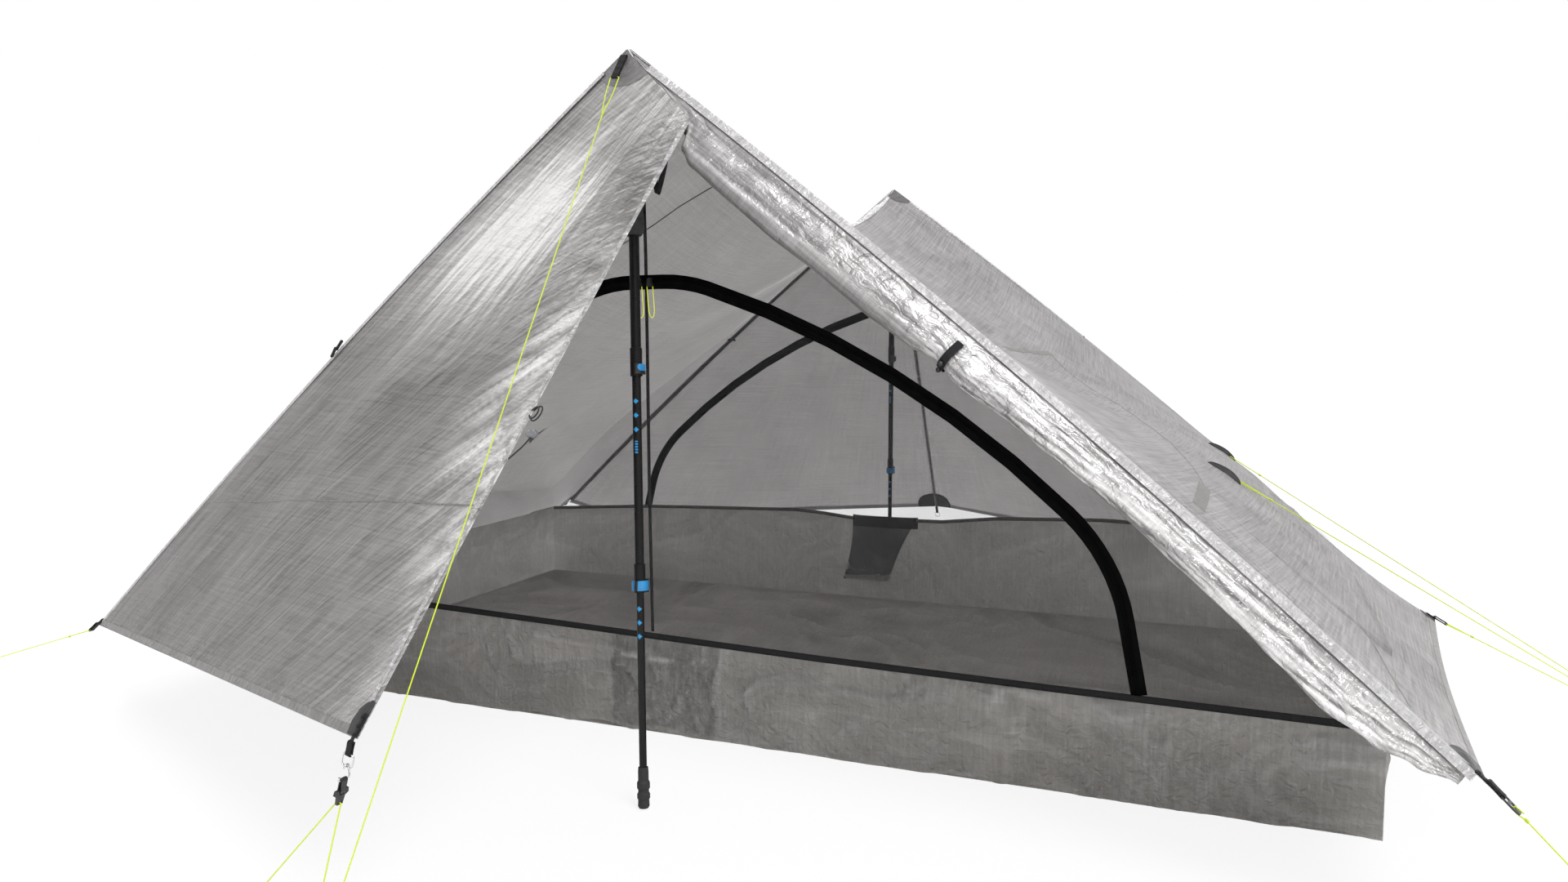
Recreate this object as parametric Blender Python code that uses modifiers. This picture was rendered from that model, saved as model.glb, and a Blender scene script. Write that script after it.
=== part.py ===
"""Two-peak trekking pole tent, pitched: fly, bathtub floor, mesh inner, poles and guylines.

Metres, +Z up. +X is the tent's right along the sleeping length, -Y is the front door.
The origin is the middle of the floor's underside.
"""
import math

import bmesh
import bpy
from mathutils import Matrix, Vector
from mathutils.bvhtree import BVHTree

# Pitch of the fly
FRONT_PEAK = Vector((0.0, -0.791, 1.232))
BACK_PEAK = Vector((0.0, 0.798, 1.221))
RIDGE_SAG = 0.20
SEAM_LIFT = 0.018
CORNER_REACH = 1.232
CORNER_DEPTH = 0.873
FRONT_RIGHT_RISE = 0.207
FRONT_LEFT_RISE = 0.169
BACK_RISE = 0.19
HEM_BOW = 0.097
HEM_REACH = CORNER_REACH + HEM_BOW
HEM_SHIFT = 0.017
HEM_RISE = 0.207
PANEL_PULL = 0.07
PULL_SHARE = 0.675
PULL_SPREAD_SHARE = 0.28
TIEOUT_SHARE = 0.146
FRONT_TOE = Vector((-0.053, -1.38, 0.265))
BACK_TOE = Vector((0.007, 1.357, 0.196))

# Fabric
CLOTH = 0.0015
PATCH = 0.0012
GAP = 0.0003
SEAM_GAP = 0.0017
DOOR_BILLOW = 0.012
FOLD_DEPTH = 0.004
FOLD_COUNT = 3
HOOD_SHARE = 0.112
HOOD_DROP = 0.030
DOOR_HEAD = 0.018
HOOD_HEAD = 0.003

# Bathtub floor: its walls' tops at shares of the length from left to right
FLOOR_INSET = 0.087
FLOOR_LENGTH = 2 * (CORNER_REACH - FLOOR_INSET)
FLOOR_WIDTH = 1.22
FLOOR_SHIFT = Vector((0.02, 0.0136, 0.0))
TUB_HEIGHT = 0.2
FRONT_TOP_SHARES = (0.0, 0.229, 0.605, 0.79, 1.0)
FRONT_TOPS = (0.205, 0.197, 0.175, 0.169, 0.165)
BACK_TOP_SHARES = (0.0, 0.155, 0.413, 0.649, 0.771, 0.906, 1.0)
BACK_TOPS = (0.210, 0.232, 0.250, 0.264, 0.275, 0.268, 0.245)
WALL_RIPPLE = 0.006
WALL_RIPPLES = 4

# Mesh inner and its arched doors
MESH = 0.001
MESH_LEAN = 0.124
MESH_DROP = 0.002
MESH_TOP = 1.135
MESH_CREST = 0.012
ARCH_HEIGHT = 0.858
ARCH_FLAT = 0.06
BACK_ARCH_SHIFT = -0.038
ARCH_CROWN_RADIUS = 0.277
ARCH_SLOPE_RADIUS = 1.593
ARCH_SHOULDER_RADIUS = 0.31
CROWN_ANGLE = math.radians(18)
SHOULDER_ANGLE = math.radians(44)
LEG_ANGLE = math.radians(80)
ZIP_WIDTH = 0.026
ZIP_THICKNESS = 0.002
SILL_WIDTH = 0.012
ARCH_STEP = math.radians(4.5)
POCKET_DEPTH = 0.012
POCKET_CLEARANCE = 0.0018

# Zip sliders
SLIDER_LENGTH = 0.014
SLIDER_WIDTH = 0.008
SLIDER_DEPTH = 0.007
SLIDER_SPACING = 0.022
SLIDER_PLACE = -0.036
PULL_LENGTH = 0.060
PULL_WIDTH = 0.0115
PULL_CORD = 0.0009

# Rolled storm door
ROLL_RADIUS = 0.022
ROLL_STEM = 0.062
ROLL_SET_IN = 0.002
ROLL_START_SHARE = 0.15
ROLL_END_SHARE = 0.985
STRAP_SHARE = 0.468
STRAP_WIDTH = 0.012
STRAP_THICKNESS = 0.0015
STRAP_CLEARANCE = 0.0008
TOGGLE_RADIUS = 0.004
TOGGLE_LENGTH = 0.026

# Tabs and hardware
WEBBING_WIDTH = 0.012
WEBBING = 0.0014
TAB_LENGTH = 0.026
TAB_SLIT = 0.0026
TAB_START = 0.004
CORNER_PATCH = 0.055
CRESCENT_LENGTH = 0.075
CRESCENT_WIDTH = 0.020
TOE_PATCH = 0.052
PATCH_LIFT = 0.0003
RING_WIRE = 0.0012
RING_WIDTH = 0.0085
RING_LENGTH = 0.0085
HOOK_RADIUS = 0.0042
HOOK_BAR = 0.0085
HOOK_DROP = 0.016
TOE_SLIT = 0.0034
TOE_WEBBING = 0.008
TOE_LOOP = 0.022
TOE_LOCK = 0.020
TOE_CHAIN = Vector((-0.017, -0.002, -0.064))
TIE_LOOP = 0.009
TIE_CORD = 0.0011
TIE_LOOP_SHARE = 0.541
TIE_TOGGLE_SHARE = 0.571
TIE_CORD_SHARE = 0.612
TIE_TOGGLE_OUT = 0.020
TIE_TOGGLE_LENGTH = 0.025
TIE_TOGGLE_RADIUS = 0.0065
BUCKLE_THICKNESS = 0.0020
BUCKLE_WIDTH = 0.020
BUCKLE_LENGTH = 0.026
BUCKLE_BAR = 0.0032
CAP_REACH = 0.062
CAP_LIFTS = (0.0042, 0.0020)
PEAK_LOOP_START = 0.0165
PEAK_LOOP_AIM = Vector((-0.007, -0.042, -0.069))
PEAK_LOOP_LENGTH = 0.050

# Trekking poles
FRONT_TIP = Vector((0.075, -0.905, 0.0))
BACK_TIP = Vector((-0.03, 0.88, 0.0))
UPPER_RADIUS = 0.0085
MIDDLE_RADIUS = 0.0073
LOWER_RADIUS = 0.0061
TUBE_WALL = 0.0008
UPPER_END = 0.700
LOWER_END = 0.348
UPPER_COLLAR = 0.0100
LOWER_COLLAR = 0.0092
COLLAR_LENGTH = 0.046
OVERLAP = 0.085
GRIP_CLEARANCE = 0.0004
GRIP_SOCKET = 0.030
POMMEL_RADIUS = 0.019
POMMEL_INSET = 0.010
GRIP_NECK = ((0.0125, 0.021), (0.0145, 0.045), (0.0155, 0.09))
GRIP_BODY = (
    (0.0150, 1.055), (0.0185, 1.040), (0.0185, 1.012), (0.0150, 1.000), (0.0142, 0.990),
    (0.0150, 0.978), (0.0175, 0.955), (0.0165, 0.938), (0.0125, 0.932),
)
BOOT = (
    (0.0080, 0.067), (0.0086, 0.060), (0.0086, 0.046), (0.0105, 0.042), (0.0105, 0.034),
    (0.0088, 0.031), (0.0088, 0.027), (0.0105, 0.024), (0.0105, 0.018), (0.0090, 0.015),
    (0.0095, 0.005), (0.0075, 0.0016), (0.0035, 0.0007), (0.0, 0.0),
)
BOOT_SOCKET = 0.012
LEVER_LENGTH = 0.016
LEVER_WALL = 0.0048
LEVER_RISE = 0.0034
EAR = 0.0024
PIN_RADIUS = 0.0011
LEVER_WRAP = math.radians(150)
UPPER_LEVER_START = math.radians(-65)
LOWER_LEVER_START = math.radians(20)

# Guylines, each ending in a loop
CORD_RADIUS = 0.0009
KNOT_SHARE = 2.6
END_LOOP = 0.008
PEAK_KNOT = 0.075
SIDE_KNOT = 0.050
PEAK_END = Vector((-0.006, -1.474, 0.100))
TOE_ENDS = (Vector((-0.200, -1.4127, 0.050)), Vector((-0.0387, -1.465, 0.094)))
FRONT_RIGHT_END = Vector((1.328, -0.918, 0.116))
FRONT_LEFT_END = Vector((-1.460, -0.950, 0.091))
HEM_END = Vector((1.5765, 0.0074, 0.0896))
FRONT_TIEOUT_END = Vector((1.554, -0.056, 0.1226))
BACK_TIEOUT_END = Vector((1.588, 0.054, 0.102))

# Counts of faces
PANEL_CELLS = (14, 12)
DOOR_CELLS = (12, 12)
PATCH_CELLS = (3, 3)
WALL_CELLS = (20, 3)
END_CELLS = 6
ROUND = 16
SMALL_ROUND = 12

UP = Vector((0.0, 0.0, 1.0))
ALONG = Vector((1.0, 0.0, 0.0))
BACKWARD = Vector((0.0, 1.0, 0.0))
COLOURS = {
    "fly_cloth": (0.42, 0.41, 0.41), "floor_cloth": (0.26, 0.25, 0.24),
    "mesh_cloth": (0.12, 0.12, 0.12), "black_webbing": (0.02, 0.02, 0.02),
    "black_plastic": (0.03, 0.03, 0.03), "patch_cloth": (0.10, 0.10, 0.10),
    "steel": (0.7, 0.7, 0.72), "carbon": (0.03, 0.03, 0.035), "grip_foam": (0.02, 0.02, 0.02),
    "blue_lever": (0.02, 0.28, 0.55), "rubber": (0.03, 0.03, 0.03), "cord": (0.65, 0.85, 0.05),
    "zip_tape": (0.01, 0.01, 0.01), "clear_toggle": (0.35, 0.35, 0.35),
}
METALS = ("steel",)


def clear_scene():
    """Empties the file of objects."""
    for old in list(bpy.data.objects):
        bpy.data.objects.remove(old, do_unlink=True)


def material(name):
    """Returns the part's material of that name, made once."""
    found = bpy.data.materials.get(name)
    if found:
        return found
    made = bpy.data.materials.new(name)
    made.use_nodes = True
    shader = made.node_tree.nodes["Principled BSDF"]
    shader.inputs["Base Color"].default_value = (*COLOURS[name], 1.0)
    shader.inputs["Roughness"].default_value = 0.25 if name in METALS else 0.6
    shader.inputs["Metallic"].default_value = 1.0 if name in METALS else 0.0
    return made


def new_object(name, data, slot, group=None):
    """Links a new object with its material into the tent's collection, or the cutters' one."""
    made = bpy.data.objects.new(name, data)
    (group or TENT).objects.link(made)
    data.materials.append(material(slot))
    return made


def frame(origin, along, across):
    """A placing with +Z along one direction and +X as near as it goes to another."""
    z = along.normalized()
    y = z.cross(across).normalized()
    x = y.cross(z)
    turn = Matrix((x, y, z)).transposed().to_4x4()
    turn.translation = origin
    return turn


def evaluated_mesh(made):
    """The object's mesh with its modifiers applied, in world space, with loose caps joined."""
    bpy.context.view_layer.update()
    graph = bpy.context.evaluated_depsgraph_get()
    graph.update()
    source = made.evaluated_get(graph)
    mesh = bpy.data.meshes.new_from_object(source)
    mesh.transform(source.matrix_world)
    return mesh


def made_solid(piece):
    """Turns a curve or modified object into a plain closed mesh object."""
    mesh = evaluated_mesh(piece)
    part = bmesh.new()
    part.from_mesh(mesh)
    bmesh.ops.remove_doubles(part, verts=part.verts, dist=CORD_RADIUS / 50)
    bmesh.ops.triangulate(part, faces=part.faces)
    part.to_mesh(mesh)
    part.free()
    name, slot = piece.name, piece.data.materials[0].name
    bpy.data.objects.remove(piece, do_unlink=True)
    mesh.materials.clear()
    return new_object(name, mesh, slot)


def fuse(name, pieces, slot):
    """Joins overlapping solids into one body."""
    solids = [made_solid(piece) for piece in pieces]
    first = solids[0]
    first.name = name
    first.data.materials[0] = material(slot)
    for other in solids[1:]:
        cut(first, other, "UNION")
    return first


def cut(target, cutter, operation="DIFFERENCE"):
    """Applies a Boolean between two objects; the cutter stays hidden in its own collection."""
    modifier = target.modifiers.new("cut", "BOOLEAN")
    modifier.object = cutter
    modifier.operation = operation
    cutter.hide_render = True
    cutter.display_type = "WIRE"
    TENT.objects.unlink(cutter)
    CUTTERS.objects.link(cutter)


def revolve(name, profile, place, slot, steps=ROUND):
    """A turned solid: (radius, height) points from top to bottom, closed on its axis."""
    data = bpy.data.meshes.new(name)
    points = [(radius, 0.0, height) for radius, height in profile]
    data.from_pydata(points, [(i, i + 1) for i in range(len(points) - 1)], [])
    made = new_object(name, data, slot)
    made.matrix_world = place
    screw = made.modifiers.new("turn", "SCREW")
    screw.axis = "Z"
    screw.steps = screw.render_steps = steps
    screw.use_merge_vertices = True
    screw.merge_threshold = 0.00001
    return made


def tube(name, points, radius, slot, cyclic=False, sides=2):
    """A round wire or cord through points."""
    curve = bpy.data.curves.new(name, "CURVE")
    curve.dimensions = "3D"
    curve.bevel_depth = radius
    curve.bevel_resolution = sides
    curve.use_fill_caps = not cyclic
    line = curve.splines.new("POLY")
    line.points.add(len(points) - 1)
    for spot, point in zip(line.points, points):
        spot.co = (*point, 1.0)
    line.use_cyclic_u = cyclic
    return new_object(name, curve, slot)


def plate(name, outlines, thickness, place, slot):
    """A flat sheet from closed outlines in the placing's XY plane, half its thickness each way."""
    curve = bpy.data.curves.new(name, "CURVE")
    curve.dimensions = "2D"
    curve.fill_mode = "BOTH"
    curve.extrude = thickness / 2
    for outline in outlines:
        line = curve.splines.new("POLY")
        line.points.add(len(outline) - 1)
        for spot, point in zip(line.points, outline):
            spot.co = (point[0], point[1], 0.0, 1.0)
        line.use_cyclic_u = True
    made = new_object(name, curve, slot)
    made.matrix_world = place
    return made


def block(name, size, place, slot, soften=0.0):
    """A box with its placing at its centre."""
    data = bpy.data.meshes.new(name)
    bm = bmesh.new()
    bmesh.ops.create_cube(bm, size=1.0, matrix=Matrix.Diagonal((*size, 1.0)))
    bm.to_mesh(data)
    bm.free()
    made = new_object(name, data, slot)
    made.matrix_world = place
    if soften:
        edge = made.modifiers.new("soften", "BEVEL")
        edge.width = soften
        edge.segments = 2
    return made


def normal_of(surface, u, v):
    """Unit normal of a surface, from its slopes."""
    step = 0.004
    low_u, high_u = max(u - step, 0.0), min(u + step, 1.0)
    low_v, high_v = max(v - step, 0.0), min(v + step, 1.0)
    across = surface(high_u, v) - surface(low_u, v)
    down = surface(u, high_v) - surface(u, low_v)
    return across.cross(down).normalized()


def lay_cloth(name, surface, cells, slot, lift=0.0, thickness=CLOTH, window=(0.0, 1.0, 0.0, 1.0)):
    """Cloth as a grid laid on a surface(u, v) and thickened.

    Without lift it thickens inwards from the surface. With lift it lies proud of it, outwards.
    """
    low_u, high_u, low_v, high_v = window
    data = bpy.data.meshes.new(name)
    bm = bmesh.new()
    bmesh.ops.create_grid(bm, x_segments=cells[0], y_segments=cells[1], size=0.5)
    for vert in bm.verts:
        u = low_u + (vert.co.x + 0.5) * (high_u - low_u)
        v = low_v + (vert.co.y + 0.5) * (high_v - low_v)
        vert.co = surface(u, v) + normal_of(surface, u, v) * lift
    bmesh.ops.triangulate(bm, faces=bm.faces)
    bm.to_mesh(data)
    bm.free()
    data.shade_smooth()
    made = new_object(name, data, slot)
    thicken = made.modifiers.new("thicken", "SOLIDIFY")
    thicken.thickness = thickness
    thicken.offset = 1.0 if lift else -1.0
    thicken.use_even_offset = True
    return made


def loft(name, rings, slot, band=False):
    """A closed solid through rings of equal point counts, with its two ends filled.

    A band's rings run out along one side and back along the other; its ends are filled in pairs.
    """
    data = bpy.data.meshes.new(name)
    bm = bmesh.new()
    layers = [[bm.verts.new(point) for point in ring] for ring in rings]
    for first, second in zip(layers, layers[1:]):
        for i in range(len(first)):
            j = (i + 1) % len(first)
            bm.faces.new((first[i], first[j], second[j], second[i]))
    for layer in (layers[0][::-1], layers[-1]):
        if band:
            count = len(layer)
            for i in range(count // 2 - 1):
                bm.faces.new((layer[i], layer[i + 1], layer[count - 2 - i], layer[count - 1 - i]))
        else:
            bm.faces.new(layer)
    bmesh.ops.triangulate(bm, faces=bm.faces)
    bmesh.ops.recalc_face_normals(bm, faces=bm.faces)
    bm.to_mesh(data)
    bm.free()
    data.shade_smooth()
    data.set_sharp_from_angle(angle=math.radians(40))
    return new_object(name, data, slot)


# Shape of the pitched fly

def corner(side, end):
    """A canopy corner: side is 1 for right or -1 for left, end is "front" or "back"."""
    if end == "back":
        return Vector((side * CORNER_REACH, CORNER_DEPTH, BACK_RISE))
    rise = FRONT_RIGHT_RISE if side > 0 else FRONT_LEFT_RISE
    return Vector((side * CORNER_REACH, -CORNER_DEPTH, rise))


def peak(end):
    """The apex at that end."""
    return FRONT_PEAK if end == "front" else BACK_PEAK


def toe(end):
    """Where the storm doors of that end come together at the ground."""
    return FRONT_TOE if end == "front" else BACK_TOE


def outward(side):
    """The end panel's outward direction."""
    rise = FRONT_PEAK.z - HEM_RISE
    return Vector((side * rise, 0.0, HEM_REACH)).normalized()


def seam_point(side, end, s):
    """A point of the seam from the peak (s = 0) to the corner (s = 1)."""
    straight = peak(end).lerp(corner(side, end), s)
    return straight + outward(side) * (4 * s * (1 - s) * SEAM_LIFT)


def panel_point(side, s, t):
    """A point of the end panel: s runs from ridge to hem, t from front to back."""
    ruled = seam_point(side, "front", s).lerp(seam_point(side, "back", s), t)
    middle = (corner(side, "front") + corner(side, "back")) / 2
    hem = Vector((side * HEM_REACH, HEM_SHIFT, HEM_RISE)) - middle
    if side < 0:
        hem.z = 0.0
    bump = math.exp(-(((s - PULL_SHARE) / PULL_SPREAD_SHARE) ** 2)) * s * (1 - s)
    bump /= PULL_SHARE * (1 - PULL_SHARE)
    sag = -UP * (RIDGE_SAG * (1 - s * s))
    return ruled + (sag + hem * s + outward(side) * (PANEL_PULL * bump)) * (4 * t * (1 - t))


def panel(side):
    """The end panel as a surface whose normal points out of the tent."""
    if side > 0:
        return lambda u, v: panel_point(side, u, v)
    return lambda u, v: panel_point(side, u, 1 - v)


def door_down(side, end):
    """Unit direction in a closed storm door's plane, square to its seam, towards the toe."""
    seam = (corner(side, end) - peak(end)).normalized()
    centre = toe(end) - peak(end)
    return (centre - seam * centre.dot(seam)).normalized()


def door_out(side, end):
    """Unit direction out of a closed storm door."""
    seam = (corner(side, end) - peak(end)).normalized()
    out = seam.cross(door_down(side, end))
    facing = -1 if end == "front" else 1
    return out if out.y * facing > 0 else -out


def hood_tip():
    """The point of the hood where the front doors part."""
    return seam_point(1, "front", HOOD_SHARE) + door_down(1, "front") * HOOD_DROP


def folds(u, v):
    """Shallow tension folds that run down from the peak and fade at the edges."""
    return FOLD_DEPTH * math.sin(2 * math.pi * FOLD_COUNT * u) * math.sin(math.pi * v) * 4 * u * (1 - u)


def inset_share(u, width, first, last):
    """The share across a width for a cloth set in by lengths from both sides."""
    return (first + u * (width - first - last)) / width


def billow(u, v):
    """How far a closed door stands out of its ruled shape."""
    return DOOR_BILLOW * 4 * u * (1 - u) * math.sin(math.pi * v) + folds(u, v)


def front_left_door(u, v):
    """The closed front door: u from seam to free edge, v from peak to hem."""
    seam = seam_point(-1, "front", v)
    edge = hood_tip().lerp(FRONT_TOE, v)
    ruled = seam.lerp(edge, inset_share(u, (edge - seam).length, SEAM_GAP * 3, 0.0))
    return ruled + door_out(-1, "front") * billow(u, v)


def back_door(side):
    """A closed back door: u from seam to the middle, v from peak to hem, facing out."""
    def surface(u, v):
        across = 1 - u if side > 0 else u
        seam = seam_point(side, "back", v)
        middle = BACK_PEAK.lerp(BACK_TOE, v)
        share = inset_share(across, (middle - seam).length, SEAM_GAP * 3, SEAM_GAP)
        return seam.lerp(middle, share) + door_out(side, "back") * billow(across, v)
    return surface


# Fly

def build_fly():
    """End panels and storm doors."""
    seam_share = SEAM_GAP / (corner(1, "front") - FRONT_PEAK).length
    edge_share = SEAM_GAP / (BACK_PEAK - FRONT_PEAK).length
    window = (seam_share, 1.0, edge_share, 1 - edge_share)
    for side, name in ((1, "canopy_right_panel"), (-1, "canopy_left_panel")):
        lay_cloth(name, panel(side), PANEL_CELLS, "fly_cloth", window=window)
    length = (FRONT_TOE - FRONT_PEAK).length
    window = (0.0, 1.0, HOOD_HEAD / length, 1.0)
    lay_cloth("front_left_storm_door", front_left_door, DOOR_CELLS, "fly_cloth", window=window)
    window = (0.0, 1.0, DOOR_HEAD / length, 1.0)
    for side, name in ((1, "back_right_storm_door"), (-1, "back_left_storm_door")):
        lay_cloth(name, back_door(side), DOOR_CELLS, "fly_cloth", window=window)
    build_rolled_door()


# The rolled door's section at stations down its seam: share of the seam, of the stem,
# of the roll's width and of its thickness
ROLL_SHARES = (
    (0.012, 0.04, 0.03, 0.06), (0.055, 0.19, 0.03, 0.06), (0.10, 0.39, 0.03, 0.06),
    (0.118, 0.62, 0.12, 0.14), (0.133, 0.95, 0.40, 0.42), (0.15, 1.00, 0.55, 0.55),
    (0.20, 0.95, 0.66, 0.64), (0.26, 0.86, 0.82, 0.76),
    (0.32, 0.72, 0.86, 0.90), (0.38, 0.60, 1.00, 0.92), (0.43, 0.52, 0.94, 0.98),
    (0.46, 0.48, 0.80, 0.78), (0.49, 0.44, 0.98, 0.94), (0.55, 0.32, 0.92, 1.00),
    (0.61, 0.22, 1.00, 0.90), (0.67, 0.16, 0.94, 0.96), (0.73, 0.18, 1.02, 0.84),
    (0.79, 0.24, 1.00, 0.74), (0.84, 0.30, 1.06, 0.56), (0.88, 0.34, 1.14, 0.38),
    (0.92, 0.30, 1.02, 0.24), (0.955, 0.20, 0.72, 0.18), (0.985, 0.08, 0.40, 0.14),
)
ROLL_SIDES = 14


def roll_section(stem_share, width_share, depth_share):
    """Outline of the hanging strip and its roll: (down the door, into the tent) pairs."""
    stem = ROLL_STEM * stem_share + SEAM_GAP * 2
    width = ROLL_RADIUS * width_share
    depth = ROLL_RADIUS * depth_share
    turn = math.asin(CLOTH / depth - 1)
    end = math.pi - turn
    outline = [(SEAM_GAP * 1.1, 0.0)]
    for i in range(ROLL_SIDES):
        angle = -math.pi / 2 + (end + math.pi / 2) * i / (ROLL_SIDES - 1)
        outline.append((stem + width + width * math.cos(angle), depth * (1 + math.sin(angle))))
    outline.append((SEAM_GAP * 1.1, CLOTH))
    return outline


def roll_place(s):
    """Placing of the roll's section: X down the door, Y into the tent, at a seam station."""
    origin = seam_point(1, "front", s)
    down = door_down(1, "front")
    inward = -door_out(1, "front")
    return origin, down, inward


def build_rolled_door():
    """The right front door, rolled and hanging from its seam, with its strap."""
    rings = []
    for s, stem_share, width_share, depth_share in ROLL_SHARES:
        origin, down, inward = roll_place(s)
        section = roll_section(stem_share, width_share, depth_share)
        rings.append([origin + down * a + inward * (b + ROLL_SET_IN) for a, b in section])
    loft("front_right_storm_door", rings, "fly_cloth")


# Bathtub floor

def floor_x(u):
    """World x at a share of the floor's length from left to right."""
    return FLOOR_SHIFT.x + (u - 0.5) * FLOOR_LENGTH


def stepped(shares, values, u):
    """A value between the table's, straight from one to the next."""
    for i in range(len(shares) - 1):
        if u <= shares[i + 1]:
            part = (u - shares[i]) / (shares[i + 1] - shares[i])
            return values[i] + (values[i + 1] - values[i]) * part
    return values[-1]


def wall_top(end, u):
    """Height of the tub wall at a share of the length."""
    if end == "front":
        return stepped(FRONT_TOP_SHARES, FRONT_TOPS, u)
    return stepped(BACK_TOP_SHARES, BACK_TOPS, u)


def facing(end):
    """-1 at the front, 1 at the back."""
    return -1 if end == "front" else 1


def wall_foot(end):
    """World y of the tub wall's foot."""
    return FLOOR_SHIFT.y + facing(end) * FLOOR_WIDTH / 2


def mesh_y(end, z):
    """World y of the leaning mesh at a height."""
    return wall_foot(end) + facing(end) * MESH_LEAN * (z - TUB_HEIGHT)


def long_wall_point(end, u, v):
    """A point of the front or back tub wall's outer face; u runs from left to right."""
    top = wall_top(end, u)
    ripple = WALL_RIPPLE * math.sin(2 * math.pi * WALL_RIPPLES * u) * math.sin(math.pi * v)
    ripple *= 4 * u * (1 - u)
    y = wall_foot(end) + (mesh_y(end, top) - wall_foot(end)) * v + ripple
    return Vector((floor_x(u), y, top * v))


def end_wall_point(side, u, v):
    """A point of an end wall's outer face; u runs from front to back between the long walls."""
    share = 1.0 if side > 0 else 0.0
    return long_wall_point("front", share, v).lerp(long_wall_point("back", share, v), u)


def build_tub():
    """Floor and four standing walls as one open tub of cloth."""
    along, rows = WALL_CELLS
    short = END_CELLS
    bm = bmesh.new()
    rings = []
    for row in range(rows + 1):
        v = row / rows
        ring = [long_wall_point("front", i / along, v) for i in range(along)]
        ring += [end_wall_point(1, i / short, v) for i in range(short)]
        ring += [long_wall_point("back", 1 - i / along, v) for i in range(along)]
        ring += [end_wall_point(-1, 1 - i / short, v) for i in range(short)]
        rings.append([bm.verts.new(point) for point in ring])
    count = len(rings[0])
    for low, high in zip(rings, rings[1:]):
        for i in range(count):
            j = (i + 1) % count
            bm.faces.new((low[i], low[j], high[j], high[i]))
    bm.faces.new(rings[0][::-1])
    bmesh.ops.triangulate(bm, faces=bm.faces)
    data = bpy.data.meshes.new("bathtub_floor")
    bm.to_mesh(data)
    bm.free()
    tub = new_object("bathtub_floor", data, "floor_cloth")
    thicken = tub.modifiers.new("thicken", "SOLIDIFY")
    thicken.thickness = CLOTH
    thicken.offset = -1.0
    thicken.use_even_offset = True


# Mesh inner

def mesh_place(end):
    """Placing of the leaning mesh: X along the tent, Y up the mesh, Z out of the tent."""
    origin = Vector((0.0, wall_foot(end), TUB_HEIGHT))
    rise = (UP + BACKWARD * (facing(end) * MESH_LEAN)).normalized()
    along = ALONG * -facing(end)
    out = along.cross(rise)
    turn = Matrix((along, rise, out)).transposed().to_4x4()
    turn.translation = origin
    return turn


def on_mesh(points):
    """Turns (x in the mesh's placing, world height) pairs into its plane's coordinates."""
    stretch = math.sqrt(1 + MESH_LEAN ** 2)
    return [(x, (z - TUB_HEIGHT) * stretch) for x, z in points]


def sill(end, x):
    """Height of the tub wall's top at an x of the mesh's placing."""
    world = -facing(end) * x
    return wall_top(end, min(max((world - floor_x(0)) / FLOOR_LENGTH, 0.0), 1.0))


def arch_half(offset):
    """Right half of the arch at an offset from its tape's middle, from the top down."""
    first = Vector((0.0, ARCH_HEIGHT - ARCH_CROWN_RADIUS))
    second = first - arch_turn(CROWN_ANGLE) * (ARCH_SLOPE_RADIUS - ARCH_CROWN_RADIUS)
    third = second + arch_turn(SHOULDER_ANGLE) * (ARCH_SLOPE_RADIUS - ARCH_SHOULDER_RADIUS)
    spans = (
        (first, ARCH_CROWN_RADIUS, 0.0, CROWN_ANGLE),
        (second, ARCH_SLOPE_RADIUS, CROWN_ANGLE, SHOULDER_ANGLE),
        (third, ARCH_SHOULDER_RADIUS, SHOULDER_ANGLE, LEG_ANGLE),
    )
    points = []
    for centre, radius, start, end in spans:
        steps = max(2, round((end - start) / ARCH_STEP))
        for i in range(steps + (end == LEG_ANGLE)):
            angle = start + (end - start) * i / steps
            points.append(centre + arch_turn(angle) * (radius + offset))
    return points


def arch_turn(angle):
    """Unit vector at an angle from upright."""
    return Vector((math.sin(angle), math.cos(angle)))


def arch_path(end, offset, foot):
    """The arch from its left foot over the top to its right foot, foot above the tub wall."""
    shift = BACK_ARCH_SHIFT if end == "back" else 0.0
    half = arch_half(offset)
    right = [(p.x + shift, p.y) for p in half]
    left = [(-p.x + shift - ARCH_FLAT, p.y) for p in reversed(half)]
    path = left + right
    slope = math.tan(math.pi / 2 - LEG_ANGLE)
    for index, sign in ((0, -1), (-1, 1)):
        x, z = path[index]
        low_x, low_z = x, z
        for _ in range(6):
            low_z = sill(end, low_x) + foot
            low_x = x + sign * (z - low_z) * slope
        if index:
            path.append((low_x, low_z))
        else:
            path.insert(0, (low_x, low_z))
    return path


def sill_line(end, start, stop, rise):
    """Points above the tub wall's top from one x to another of the mesh's placing."""
    shares = FRONT_TOP_SHARES if end == "front" else BACK_TOP_SHARES
    knots = [-facing(end) * floor_x(share) for share in shares]
    low, high = min(start, stop), max(start, stop)
    inner = sorted(x for x in knots if low + GAP < x < high - GAP)
    line = [start] + (inner if start < stop else inner[::-1]) + [stop]
    return [(x, sill(end, x) + rise) for x in line]


def under_fly(end, x, trees):
    """Height where the mesh meets the fly's inside, less the clearance."""
    world = -facing(end) * x
    z = TUB_HEIGHT
    for _ in range(8):
        start = Vector((world, mesh_y(end, z), CLOTH))
        hits = [tree.ray_cast(start, UP) for tree in trees]
        heights = [hit[0].z for hit in hits if hit[0]]
        z = min(min(heights) - MESH_DROP, MESH_TOP) if heights else z
    return z


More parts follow.
